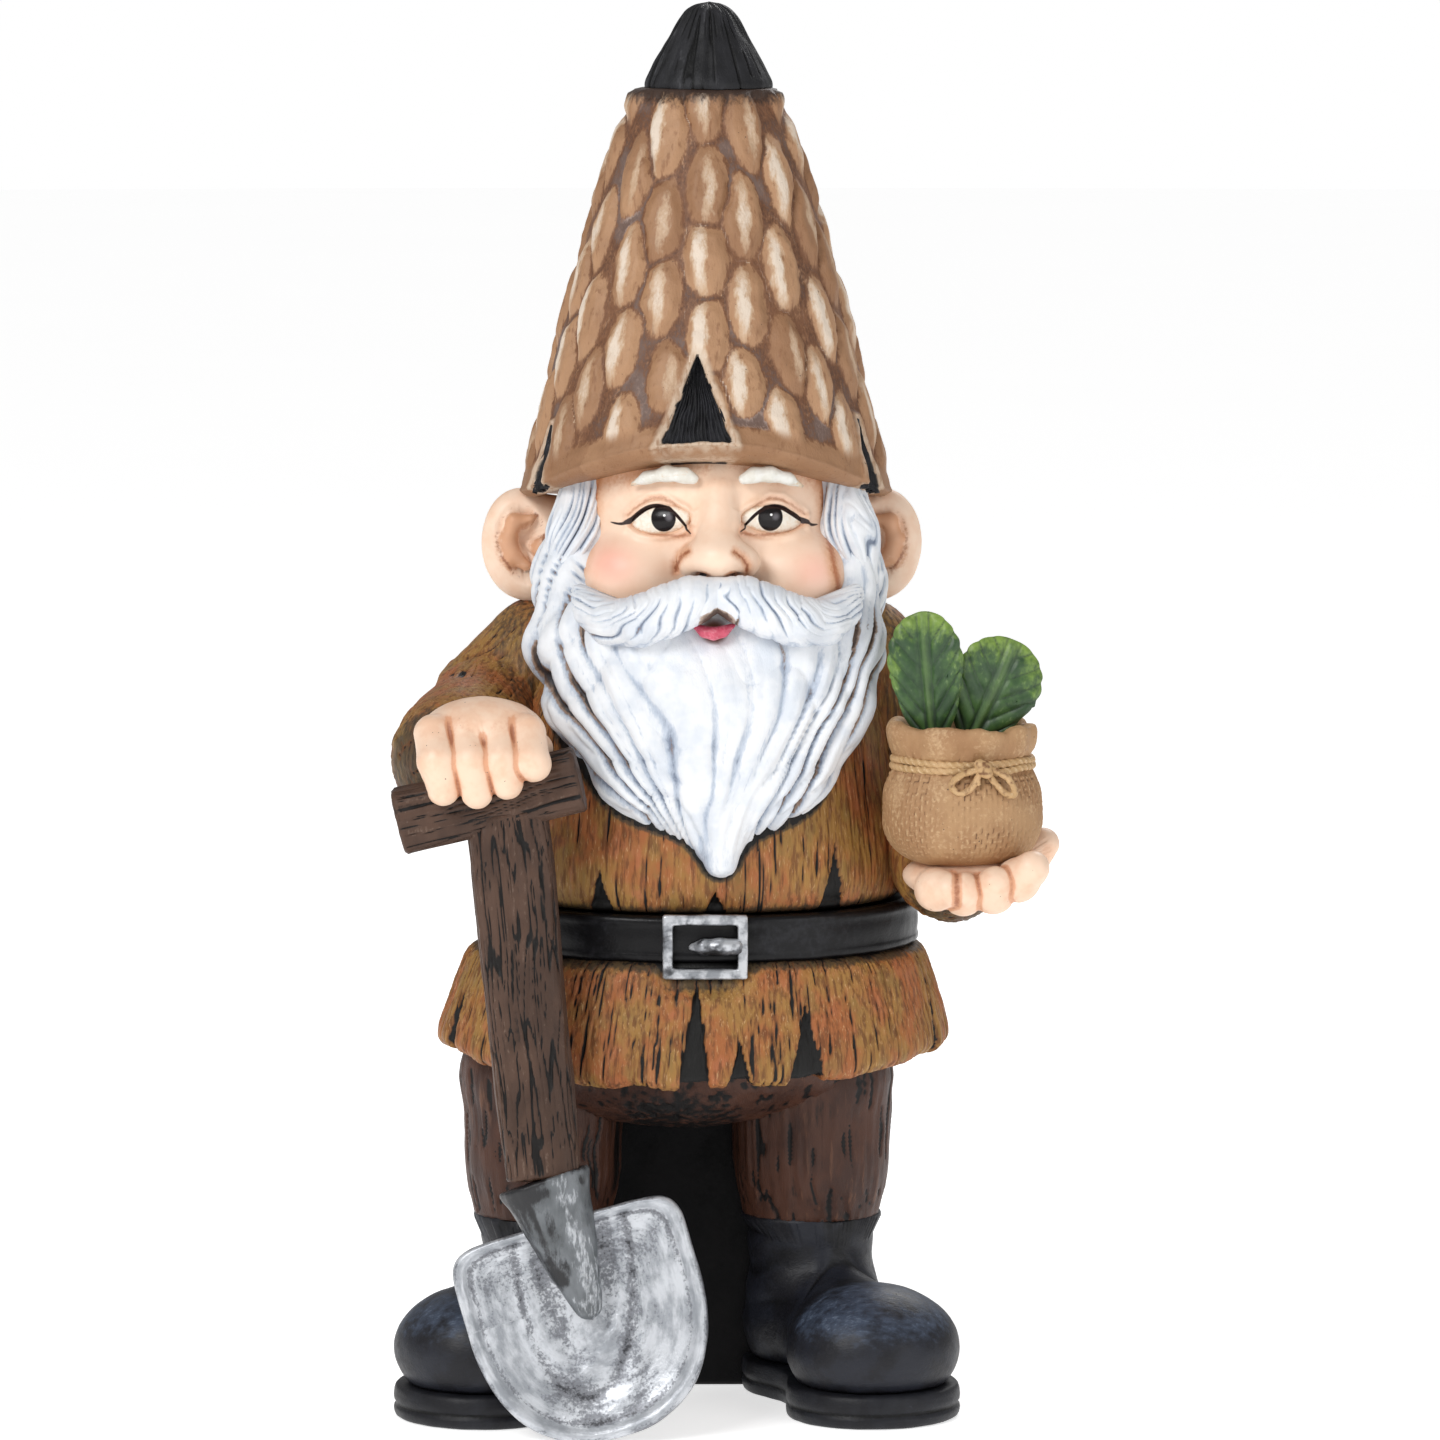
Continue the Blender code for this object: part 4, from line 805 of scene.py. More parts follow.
def skin_paint():
    finish = Finish("painted_face")
    mottle, fine = finish.noise(9, 3), finish.noise(1.2, 3, (1, 1, 1), 4.0)
    colour = finish.mix(SKIN, SKIN_SHADE, mottle.soft(0.35, 0.75) * 0.6)
    colour = finish.mix(colour, (238, 160, 142), finish.mark("blush") * 0.72)
    edge = finish.mark("cheek") + (fine - 0.5) * 2.2
    colour = finish.mix(colour, (214, 158, 116), (1 - edge.soft(0.4, 4.2)) * 0.75)
    colour = finish.mix(colour, UMBER, (1 - edge.soft(0.0, 1.5)) * 0.9)
    # Brown blotches under the hat's brim: wash, and painted shade where the hat overhangs the face.
    wash_and_shade_under_brim = finish.mark("brow") + (mottle - 0.5) * 13 + (fine - 0.5) * 8
    colour = finish.mix(colour, (205, 140, 92), wash_and_shade_under_brim.soft(-1, 5) * 0.7)
    colour = finish.mix(colour, (120, 70, 42), wash_and_shade_under_brim.soft(4.5, 9) * 0.75)
    for name, reach, strength in (("under", 1.5, 0.55), ("wing", 1.5, 0.9), ("fold", 1.3, 0.45)):
        line = finish.mark(name) + (fine - 0.5) * 1.6
        colour = finish.mix(colour, (206, 138, 92), (1 - line.soft(0.1, reach * 1.7)) * strength * 0.8)
        colour = finish.mix(colour, (150, 84, 50), (1 - line.soft(0.0, reach * 0.55)) * strength)
    # Painted shade: the nostril holes go brown and then nearly black.
    nostril_shade = finish.mark("nostril") + (fine - 0.5) * 0.5
    colour = finish.mix(colour, (184, 118, 74), nostril_shade.soft(0.15, 0.5) * 0.85)
    colour = finish.mix(colour, (62, 42, 32), nostril_shade.soft(0.6, 0.85))
    colour = finish.mix(colour, (46, 30, 26), 1 - finish.mark("lid").soft(-0.12, 0.12))
    return finish.done(colour, mottle * 0.15 + 0.36, fine, 0.12, 0.3)


show("painted_head", face, skin_paint(), "painted_skin", "head")

# %% [markdown]
# An eye is a low dome with an almond outline, set just inside the welt of the lids. Its iris, pupil,
# painted highlight and grey painted reflection are discs painted by their distance to the eye's middle, so
# each point keeps how far it is.

# %% Eyes
def eyeball(name):
    middle, level, half = EYES[name]
    mesh = fine_ball(6)
    spots = points_of(mesh)
    side = spots[:, 0]
    lean = side if name == "left" else -side
    tall = np.where(spots[:, 2] > 0, 5.1, 4.6) * np.sqrt(np.clip(1.08 - 0.35 * side**2, 0, 2))
    x = middle + side * (half + 0.3)
    z = HEAD[2] + level - 1.0 * lean + spots[:, 2] * tall
    out = -np.sqrt(np.clip(1 - ((x - HEAD[0]) / 47) ** 2 - ((z - HEAD[2]) / 48) ** 2, 0, 1)) * 46 + HEAD[1]
    y = out + 1.7 + spots[:, 1] * 3.6
    put_points(mesh, points_from(x, y, z))
    iris_x = -11.6 if name == "right" else 22.3
    across, up = x - iris_x, z - HEAD[2] - 0.6
    mark(mesh, "iris", np.hypot(across / 3.95, up / 4.35))
    # Marks for a painted highlight, a white dot up on the iris, and a grey painted reflection beside it.
    mark(mesh, "painted_highlight", np.hypot(across - 0.25, up - 0.95))
    mark(mesh, "painted_reflection", np.hypot(across - 1.7, up - 0.3))
    mark(mesh, "rim", eye_gap(name, x, z - HEAD[2]))
    mark(mesh, "corner", np.abs(side))
    line = LID_RIGHT if name == "right" else LID_LEFT
    gap, along = near_line(x, z - HEAD[2], rounded_line(line))
    mark(mesh, "lid", gap - 0.64 * np.interp(along, [0, 0.2, 0.5, 0.74], [0.35, 0.8, 1, 1.15]))
    return mesh


def eye_paint():
    finish = Finish("painted_eye")
    fine = finish.noise(1.3, 3)
    colour = finish.mix((240, 234, 222), (228, 208, 180), fine.soft(0.4, 0.7) * 0.5)
    rim = finish.mark("rim") + (fine - 0.5) * 2.2
    colour = finish.mix(colour, (205, 150, 98), rim.soft(-1.5, -0.2) * 0.55)
    corner = finish.mark("corner") + (fine - 0.5) * 0.3
    colour = finish.mix(colour, (196, 140, 92), corner.soft(0.72, 0.98) * 0.6)
    iris = finish.mark("iris")
    colour = finish.mix(colour, (22, 17, 18), 1 - iris.soft(0.95, 1.03))
    # A grey painted reflection on one side of the iris, then a white painted highlight.
    painted_reflection = (1 - finish.mark("painted_reflection").soft(0.2, 1.7)) * (1 - iris.soft(0.75, 0.95)) * 0.4
    colour = finish.mix(colour, (150, 146, 152), painted_reflection)
    colour = finish.mix(colour, (250, 250, 250), 1 - finish.mark("painted_highlight").soft(0.28, 0.5))
    colour = finish.mix(colour, (38, 24, 22), 1 - finish.mark("lid").soft(-0.12, 0.12))
    return finish.done(colour, 0.22, gloss=0.25)


eye_white = eye_paint()
for side in EYES:
    show(f"painted_eye_{side}", eyeball(side), eye_white, "eye_white", f"eye_{side}")

# %% [markdown]
# The brows and the lower lip are small pads on the face. The brows are white like the beard, blunt at the
# nose and pointed at the temple.

# %% Brows and lip
def brow(corners):
    corners = head_corners(corners)
    mesh = cast(chain(corners), corners[2][:3], 0.7, 5)
    spots = points_of(mesh)
    hairs = grain(spots, (1, 0, 0.15), 0.8, 7, 61)
    raise_skin(mesh, 0.1 * hairs)
    mark(mesh, "groove", np.clip(0.35 - 0.6 * hairs + soft(spots[:, 1], -43, -40), 0, 1))
    return mesh


brow_white = painted("brow_white", (230, 230, 224), (218, 216, 206), (214, 190, 160), (250, 250, 248),
                     4, 0.8, (3, 1, 1), (0.75, 1.1), 0.5, (0.4, 0.55), 0.2)
BROWS = {
    "right": [(-23.5, -42.2, 11.2, 0.7), (-19, -44.2, 13.4, 1.7), (-12.5, -46.2, 14.8, 2.2),
              (-7, -47.2, 14.4, 2.2), (-4.2, -47.4, 13.3, 1.7)],
    "left": [(30.2, -41.4, 10.6, 0.7), (26, -43.6, 13.0, 1.7), (20, -45.6, 14.6, 2.2),
             (15, -46.6, 14.4, 2.2), (11.8, -47.2, 13.2, 1.7)],
}
for name, corners in BROWS.items():
    show(f"white_brow_{name}", brow(corners), brow_white, "white_hair", f"eyebrow_{name}")

LIP = [(-4.0, -58.0, -32.2, 0.8), (-0.8, -59.6, -34.0, 1.35), (2.2, -60.4, -34.6, 1.55),
       (5.2, -59.6, -34.0, 1.35), (8.4, -58.0, -32.2, 0.8)]
lip = cast(chain(head_corners(LIP)), by_head(2.2, -60.2, -34.4), 0.8, 5)
spots = points_of(lip)
mark(lip, "groove", 0.1 + 0.2 * rough(spots, 2, 63))
lip_pink = painted("lip_pink", (206, 84, 108), (192, 68, 92), (140, 46, 60), (232, 150, 164),
                   3, 1.0, (1, 1, 1), (0.45, 0.9), 0.5, (0.3, 0.4), 0.15)
show("pink_lip", lip, lip_pink, "lip_red", "lower_lip")

# %% [markdown]
# An ear is a shell-shaped pad: a rounded rim, a deep hollow inside it, and a curl of gristle in the
# hollow. The hollow is cut out of the pad and the curl is put in after, while the ear is still a form.

# %% Ears
def ear(side):
    middle = np.array(by_head(side * 58.5 - 1.5, 1, -11))

    def at(out, back, up):
        return tuple(middle + (side * out, back, up))

    pad = [
        ball(at(0, 0, 0), (12.4, 8, 17.3)), ball(at(-6, 0, -8), (8, 8, 10)),
        rod(at(-12, 4, 6), at(-6, 2, 2), 8, 7)
    ]
    hollow = [ball(at(0.2, -8, 3.0), (7.8, 6.2, 10.2)), ball(at(-2.4, -8.5, -4.5), (6.0, 6.4, 7.4))]
    curl = chain(
        [
            (*at(-3.5, -6.6, 8), 1.3), (*at(1.8, -6.0, 7.2), 1.9), (*at(3.6, -5.6, 1.5), 2.1),
            (*at(2.0, -5.8, -4), 2.0), (*at(-2.0, -6.2, -7), 1.7)
        ]
    )
    curl += [ball(at(-6.5, -7.5, -1.5), (2.6, 2.4, 3.4))]
    mesh = cast(pad, at(0, 1.5, 0), 3, 6, hollow, curl)
    spots = points_of(mesh)
    deep = melted(spots, hollow, 1)
    raise_skin(mesh, 0.12 * rough(spots, 5, 66))
    mark(mesh, "groove", np.clip(soft(-np.abs(deep), -1.4, 0.2) * soft(-spots[:, 1], -2, 6), 0, 1) * 0.9)
    dip = melted(spots, [ball(at(0, -7, 1), (9.5, 9, 12.5))], 1)
    mark(mesh, "inner", soft(-dip, -2, 4) * soft(-spots[:, 1], -1, 5))
    return mesh


def ear_paint():
    finish = Finish("painted_ear")
    groove, inner = finish.mark("groove"), finish.mark("inner")
    mottle, fine = finish.noise(7, 3), finish.noise(1.3, 3, (1, 1, 1), 4.0)
    colour = finish.mix(SKIN, SKIN_SHADE, mottle.soft(0.35, 0.7) * 0.7)
    inner = inner + (fine - 0.5) * 0.9 + (mottle - 0.5) * 0.8
    colour = finish.mix(colour, (206, 148, 108), inner.soft(0.3, 0.9) * 0.85)
    colour = finish.mix(colour, (140, 80, 50), (groove + (fine - 0.5) * 1.0).soft(0.3, 0.85) * 0.9)
    return finish.done(colour, mottle * 0.15 + 0.38, fine, 0.12, 0.3)


ear_skin = ear_paint()
for side, name in SIDES:
    show(f"painted_ear_{name}", ear(side), ear_skin, "painted_skin", f"ear_{name}")
# %% [markdown]
# # Hair and beard
# The hair is modelled as thick locks, each with finer strands in it, that run along the flow of the hair.
# Separate strands would be hair on a real head, but here they are clay: a ridge pattern whose lines
# follow the beard's outline, so every lock ends at the point. Where a lock lies across the beard is one
# number, from the left edge at -1 to the right at 1, and it is bent by a slow wave and a soft cloud.

# %% Locks
def locks(across, flow, count, seed, fork=0.5):
    """Heights of thick locks and fine strands, 0 to 1, and the bent count of locks they come from."""
    place = points_from(across * 2.2, flow * 2.4, seed)
    bent = across * count / 2 + fork * cloud(place, seed) + 0.62 * np.sin(flow * 6.4 + across * 2.3 + seed)
    bent += 0.35 * fork * cloud(place * (2.1, 2.3, 1), seed + 7)
    lock = np.abs(np.sin(bent * math.pi)) ** 0.62
    strand = np.abs(np.sin(bent * math.pi * 2.7 + 1.7 * cloud(place * (1.5, 1.5, 1), seed + 1))) ** 0.7
    return lock, strand, bent


def scored(bent, flow, seed, width):
    """Grooves between locks, 1 at the bottom: each has its own length and fades out at its ends."""
    which = np.round(bent).astype(int)
    first, length, force = np.random.default_rng(seed).uniform(0, 1, (97, 3))[which % 97].T
    share = np.clip((flow - first * 0.5) / (0.34 + 0.42 * length), 0, 1)
    taper = np.sqrt(np.sin(share * math.pi).clip(0, 1))
    return hump(bent, which, width * (0.35 + 0.65 * taper)) * taper * (0.35 + 0.65 * force)


def white_paint(name, mouth=False):
    """White ridges, blue-grey grooves, and brown in the deepest: stain, and painted shade where parts meet.
    """
    finish = Finish(name)
    groove, stain_and_shade = finish.mark("groove"), finish.mark("stain_and_shade")
    patches = finish.noise(12, 3)
    strokes = finish.noise(1.3, 4, (1, 1, 3), 3.0)
    fine = finish.noise(0.5, 2, (1, 1, 4), 6.0)
    colour = finish.mix((230, 232, 235), (214, 219, 226), patches.soft(0.4, 0.65))
    wash = groove + (strokes - 0.5) * 0.6 + (fine - 0.5) * 0.3
    colour = finish.mix(colour, (176, 187, 203), wash.soft(0.25, 0.6) * 0.8)
    colour = finish.mix(colour, (98, 110, 132), wash.soft(0.55, 0.95) * 0.85)
    # Brown where the mark for stain and shade is high in the grooves: stain, and painted shade where parts
    # meet.
    brown = stain_and_shade + (wash - 0.75) * 1.3 + (patches - 0.5) * 1.5
    colour = finish.mix(colour, (150, 116, 84), brown.soft(0.35, 0.7) * 0.8)
    colour = finish.mix(colour, (58, 42, 32), brown.soft(0.7, 1.1) * 0.85)
    colour = finish.mix(colour, (36, 38, 46), wash.soft(0.98, 1.25) * 0.9)
    # Painted shade: brown in the hollow of the mouth.
    if mouth:
        colour = finish.mix((110, 64, 42), colour, finish.mark("mouth").soft(0.7, 2.1))
    return finish.done(colour, strokes * 0.2 + 0.38, fine + strokes, 0.3, 0.4)


# %% [markdown]
# The beard is one broad shield with its mouth hollow cut in at the top. Its locks are deep at the sides and
# shallow in the middle, where the real one is smoothest, and they all turn in to a rounded tip.

# %% Beard
beard_form = [
    ball(by_head(0, -32, -42), (58.5, 24, 25)),
    ball(by_head(1, -40, -60), (52.5, 24, 28)),
    ball(by_head(2, -47, -79), (38.5, 19, 22)),
    rod(by_head(3, -50, -93), by_head(4.5, -57, -107), 13.5, 5.5),
    ball(by_head(-40, -22, -22), (16, 16, 20)),
    ball(by_head(42, -22, -22), (16, 16, 20)),
]
mouth = [rod(by_head(2.6, -62, -25), by_head(2.4, -60, -32), 2.0, 5.0)]
beard = cast(beard_form, by_head(2, -44, -56), 3, 7, mouth)
spots = points_of(beard)
x, y, z = (spots - HEAD).T
flow = np.clip(-(z + 14) / 98, 0, 1)
half = np.interp(-z, [0, 20, 42, 60, 79, 93, 107, 114], [56, 60, 61, 56, 42, 26, 13, 9])
middle = np.interp(-z, [0, 60, 107], [1.5, 1.5, 4.5])
bend = np.sign(x - middle) * np.clip(y + 50, 0, 60) * 0.55
across = (x - middle + bend) / half
lock, strand, bent = locks(across, flow, 11, 71, 1.0)
wide = locks(across, flow, 5.5, 75, 0.9)[0]
high_side = flow + 0.22 * soft(np.abs(x - 2), 30, 42)
deep = scored(bent, high_side, 72, 0.16)
thin = scored(bent * 2.15 + 0.3, high_side, 73, 0.15)
temple = scored(bent * 1.9 + 0.6, 0.42 - (z + 14) / 70, 74, 0.17)
temple *= soft(np.abs(x - 2), 29, 37) * soft(z, -46, -34)
sides = soft(np.abs(across), 0.42, 0.95)
clear_of_mouth = np.maximum(soft(-z, 26, 34), soft(np.abs(x - 2), 26, 36))
depth = (0.45 + 0.55 * soft(np.abs(across), 0.1, 0.6)) * clear_of_mouth
height = depth * (1.5 * (lock - 1) + 0.35 * (strand - 0.5) - 2.4 * deep - 0.7 * thin - 1.1 * temple)
height += 1.9 * depth * (wide - 0.7)
tip = soft(-z, 97, 106)
height = height * (1 - 0.85 * tip) + 0.25 * rough(spots, 4, 77)
raise_skin(beard, height)
open_mouth = melted(spots, mouth, 1)
lower = soft(flow, 0.55, 0.95)
washed = deep * (0.85 + 0.4 * lower + 0.25 * sides) + 0.55 * thin + 0.8 * temple
washed += (1 - lock) * 0.35 + 0.3 * (0.7 - wide)
washed = (washed + 0.3 * sides * (1 - lock)) * (1 - 0.8 * tip) + tip * (0.32 + 0.35 * soft(4 - x, 0, 5))
mark(beard, "groove", np.clip(washed, 0, 1.3) * (0.7 + 0.3 * depth))
# Brown on the beard: painted shade under the moustache's edge and in the mouth, and brown down the sides
# and in the deep grooves high up.
moustache_edge = -39 - 0.06 * np.abs(x - 3) + 0.0028 * (x - 3) ** 2
shade_under_moustache = hump(moustache_edge, z, 4.5)
upper = 1 - soft(flow, 0.3, 0.7)
stain_and_shade = 0.46 * shade_under_moustache + 0.36 * sides + 0.6 * deep * upper + 1.6 * soft(-open_mouth, -1.2, 0.3)
mark(beard, "stain_and_shade", stain_and_shade)
mark(beard, "mouth", open_mouth)
show("white_beard", beard, white_paint("beard_white", mouth=True), "white_hair", "beard")
hair_white = white_paint("hair_white")

# %% [markdown]
# Each half of the moustache swells beside the nose, droops over the cheek and curls up at its end. Its
# strands leave the nose and fan out along it, so they are ridges across the lock's own width.

# %% Moustache
def moustache(side):
    corners = [
        (0, -60, -22, 5.2), (side * 8, -61, -24, 6.8), (side * 16, -60, -27.5, 7.4),
        (side * 25, -57, -31, 7.2), (side * 34, -51.5, -32, 6.2), (side * 40, -46, -28.5, 4.8),
        (side * 43.5, -42, -23.5, 3.0)
    ]
    corners = [(*by_head(x + 3.5, y, z), radius) for x, y, z, radius in corners]
    form = chain(corners)
    mesh = cast(form, by_head(side * 20 + 3.5, -54, -29), 1.6, 7)
    spots = points_of(mesh)
    line = [(corner[0], corner[2]) for corner in corners]
    _, along = near_line(spots[:, 0], spots[:, 2], line)
    level = np.interp(along, np.linspace(0, 1, len(line)), [corner[2] for corner in corners])
    size = np.interp(along, np.linspace(0, 1, len(line)), [corner[3] for corner in corners])
    over = (spots[:, 2] - level) / size
    stray = cloud(points_from(along * 5, over * 1.5, 0), 81 + side)
    fan = along * 11 + over * (0.7 + 2.1 * along) + 0.5 * stray
    stroke = scored(fan, 0.5 - 0.4 * over, 84 + side, 0.17)
    ridge = np.abs(np.sin(fan * math.pi)) ** 0.6
    fine = np.abs(np.sin(fan * math.pi * 2.3 + cloud(spots / 5, 83))) ** 0.7
    calm = soft(np.abs(spots[:, 0] - HEAD[0] - 3.5), 1, 8)
    raise_skin(mesh, (0.3 + 0.7 * calm) * (0.4 * (ridge - 0.8) + 0.16 * (fine - 0.6) - 0.7 * stroke))
    low = soft(-over, 0.55, 1.1)
    mark(mesh, "groove", np.clip(0.85 * stroke + (1 - ridge) * 0.25 + 0.4 * low, 0, 1))
    # Painted shade on the moustache: darker on its underside and top edge, and deep brown underneath by the
    # middle, over the mouth.
    high = soft(over, 0.72, 1.05)
    mark(mesh, "stain_and_shade", 0.32 * low + 0.22 * high + 0.1 * soft(np.abs(spots[:, 0] - HEAD[0] - 3.5), 6, 1)
         + 1.4 * soft(np.abs(spots[:, 0] - HEAD[0] - 3.5), 8, 4) * soft(-over, 0.45, 0.8))
    return mesh


for side, name in SIDES:
    show(f"white_moustache_{name}", moustache(side), hair_white, "white_hair", f"moustache_{name}")

# %% [markdown]
# The side locks come out from under the hat before the ears and run down into the beard, and the hair
# behind fills the space between brim and collar. Both are ridged downwards by the same locks.

# %% Side and back hair
def side_lock(side):
    form = [
        rod(by_head(2 + side * 40, -21, 12), by_head(2 + side * 43.5, -27, -6), 7.5, 8.5),
        rod(by_head(2 + side * 43.5, -27, -6), by_head(2 + side * 45, -26, -20), 8.5, 8.5),
    ]
    mesh = cast(form, by_head(2 + side * 43.5, -26, -5), 2, 6)
    spots = points_of(mesh) - HEAD
    turn = np.arctan2((spots[:, 0] - 2) * side - 43, -(spots[:, 1] + 22)) / 1.4
    lock, strand, bent = locks(turn + 0.02 * spots[:, 2], spots[:, 2] / 60, 8, 90 + side, 0.6)
    deep = scored(bent * 1.7, 0.5 - spots[:, 2] / 50, 92 + side, 0.2)
    raise_skin(mesh, 0.9 * (lock - 0.8) + 0.3 * (strand - 0.5) - 1.2 * deep)
    low_end = 0.35 + 0.65 * soft(spots[:, 2], -27, -15)
    mark(mesh, "groove", np.clip(((1 - lock) * 0.5 + deep) * low_end, 0, 1.2))
    # Painted shade where the lock lies against the face and under the hat.
    mark(mesh, "stain_and_shade", 0.3 * soft(-turn, 0.1, 0.8) + 0.2 * soft(spots[:, 2], 0, 12))
    return mesh


for side, name in SIDES:
    show(f"white_lock_{name}", side_lock(side), hair_white, "white_hair", f"hair_{name}")

back_form = [ball(by_head(0, 8, -14), (53, 48, 34)), ball(by_head(0, 22, -36), (44, 30, 20))]
back_hair = cast(back_form, by_head(0, 12, -16), 3, 6)
spots = points_of(back_hair) - HEAD
turn = np.arctan2(spots[:, 0], spots[:, 1] - 4) / math.pi
lock, strand, bent = locks(turn, -spots[:, 2] / 70, 34, 95, 0.9)
behind = soft(spots[:, 1], -6, 6)
deep = scored(bent, 0.6 - spots[:, 2] / 90, 96, 0.22)
raise_skin(back_hair, behind * (1.5 * (lock - 0.75) + 0.5 * (strand - 0.5) - 1.2 * deep))
mark(back_hair, "groove", np.clip((1 - lock) * 0.55 + deep + (1 - strand) * 0.15, 0, 1.2))
# Painted shade under the hat and down by the collar.
mark(back_hair, "stain_and_shade", 0.3 * soft(spots[:, 2], 0, 10) + 0.3 * soft(-spots[:, 2], 36, 48))
show("white_back_hair", back_hair, hair_white, "white_hair", "hair_back")
# %% [markdown]
# # The coat, belt and trousers
# The coat looks like bark: close vertical scores, longer black cracks, and pointed tears that open at the
# hem and over the belt. Each crack is a narrow wedge with its own place, so the function below takes a
# list of them as well as scattering small ones. A tear is the same wedge, wider and open at its foot.

# %% Scores, cracks and tears
def wedge(across, rise, at, half_width, foot, length):
    """1 inside a crack that is widest low down and runs up to a point, falling to 0 at its edges."""
    share = np.clip((rise - foot) / length, -0.2, 1.2)
    width = half_width * np.clip(1 - share, 0, 1) * np.clip(1 + share * 5, 0, 1)
    return np.clip((width - np.abs(across - at)) / 0.55 + 0.5, 0, 1) * (share < 1) * (share > -0.2)


def bark(spots, across, rise, low, high, count, seed, tears):
    """Height and darkness of a bark-like skin, from a place round it and a height, in millimetres."""
    dice = np.random.default_rng(seed)
    sway = 1.5 * cloud(spots / (9, 9, 24), seed)
    cut = np.zeros(len(spots))
    reach = np.abs(across).max()
    for _ in range(count):
        at, foot = dice.uniform(-reach, reach), dice.uniform(low - 4, high)
        length, width = dice.uniform(9, 32), dice.uniform(0.08, 0.44)
        cut = np.maximum(cut, wedge(across + sway, rise, at, width, foot, length))
    torn = np.zeros(len(spots))
    for at, half_width, foot, length in tears:
        rag = 0.45 * cloud(spots / (1.6, 1.6, 5), seed + 2)
        torn = np.maximum(torn, wedge(across + rag + 0.4 * sway, rise, at, half_width, foot, length))
    scores = grain(spots, (0, 0, 1), 0.8, 9, seed + 3)
    folds = rough(spots / (1, 1, 2.2), 11, seed + 5)
    height = 0.45 * folds + 0.28 * scores - 1.0 * cut * (1 - torn) - 2.6 * torn
    dark = np.maximum(cut * 0.95, torn * 1.2)
    groove = np.clip(0.32 - 0.35 * scores + dark, 0, 1.2)
    return height, groove


def coat_paint():
    """Ochre and orange-brown in upright patches, streaked, with black cracks and black painted shade at
    joins.
    """
    finish = Finish("bark_coat")
    groove, stain_and_shade = finish.mark("groove"), finish.mark("stain_and_shade")
    patches = finish.noise(17, 3, (1, 1, 1.5))
    blots = finish.noise(8, 3, (1, 1, 1.6), 9.0)
    streaks = finish.noise(1.5, 4, (1, 1, 7), 3.0)
    fine = finish.noise(0.6, 3, (1, 1, 7), 6.0)
    colour = finish.mix((152, 112, 58), (156, 94, 52), patches.soft(0.42, 0.58))
    colour = finish.mix(colour, (172, 104, 70), blots.soft(0.54, 0.7) * 0.6)
    colour = finish.mix(colour, (130, 104, 56), (1 - blots.soft(0.34, 0.5)) * 0.6)
    colour = finish.mix(colour, (98, 58, 32), streaks.soft(0.46, 0.64) * 0.75)
    colour = finish.mix(colour, (206, 166, 118), fine.soft(0.58, 0.72) * 0.55)
    # Painted shade: dark olive and then black where the mark for stain and shade is high.
    coat_darkening = stain_and_shade + (streaks - 0.5) * 0.9 + (blots - 0.5) * 0.7
    colour = finish.mix(colour, (62, 55, 42), coat_darkening.soft(0.3, 0.75) * 0.85)
    crack = groove + (streaks - 0.5) * 0.45
    colour = finish.mix(colour, (112, 66, 34), crack.soft(0.42, 0.72) * 0.6)
    colour = finish.mix(colour, (15, 14, 13), crack.soft(0.68, 0.9))
    colour = finish.mix(colour, (17, 16, 16), coat_darkening.soft(0.8, 1.1))
    return finish.done(colour, streaks * 0.3 + 0.38, fine + streaks, 0.4, 0.5, gloss=0.3)


bark_coat = coat_paint()

# %% [markdown]
# The skirt is a bell turned from the belt to the hem and pressed to an oval. The chest is turned the same
# way and puffs out over the belt. Both are painted black close to the belt, as painted shade where they
# meet it.

# %% Skirt
WAIST_HALF, HEM_HALF, CHEST_HALF, COLLAR_HALF, BODY_DEPTH = 70.5, 83, 66, 38, 0.80
rise_of_skirt = BELT_BOTTOM - HEM
bell = [
    (HEM_HALF - 7, 0.02), (HEM_HALF - 3.5, -0.005), (HEM_HALF - 0.8, 0.04), (HEM_HALF, 0.13),
    (HEM_HALF - 2.6, 0.4), (HEM_HALF - 6, 0.7), (WAIST_HALF + 4, 0.9), (WAIST_HALF + 1, 0.985),
    (WAIST_HALF - 4, 1.02)
]
skirt_line = rounded_line([(radius, HEM + share * rise_of_skirt) for radius, share in bell], 2)
skirt_line = [
    (0, HEM + 4), (55, HEM + 3), *evenly(skirt_line, 0.85), (58, BELT_BOTTOM + 2), (0, BELT_BOTTOM + 2)
]
skirt = turned(skirt_line, 800)
spots = points_of(skirt)
turn = round_from_front(spots)
across = turn * 80
SKIRT_TEARS = [
    (0.4, 5.0, HEM - 1, 37), (14.6, 4.2, HEM - 1, 17), (37, 6.6, HEM - 1, 27), (-100, 4.5, HEM + 1, 30),
    (101, 4, HEM - 1, 22), (165, 5, HEM - 1, 30), (214, 4, HEM - 1, 20), (-150, 5, HEM - 1, 26),
    (-205, 4, HEM - 1, 18)
]
height, groove = bark(spots, across, spots[:, 2], HEM, BELT_BOTTOM, 380, 101, SKIRT_TEARS)
outside = soft(np.hypot(spots[:, 0], spots[:, 1]), WAIST_HALF - 1, WAIST_HALF + 2.5)
hem_waves = soft(spots[:, 2], HEM + 9, HEM)
under_buckle = np.exp(-(((across - 1.6) / 15) ** 4)) * soft(spots[:, 2], BELT_BOTTOM - 12, BELT_BOTTOM - 5)
raise_skin(skirt, outside * (height - 3.2 * under_buckle))
placed = points_of(skirt)
placed[:, 2] += hem_waves * 1.1 * cloud(points_from(turn * 9, 0, 0), 103) * outside
low = np.clip(1 - (spots[:, 2] - HEM) / rise_of_skirt, 0, 1)
placed[:, 2] += 6 * np.clip((spots[:, 0] / HEM_HALF) ** 2, 0, 1) * low
placed[:, 0] -= 1 + 1.5 * low
put_points(skirt, placed * (1, BODY_DEPTH, 1))
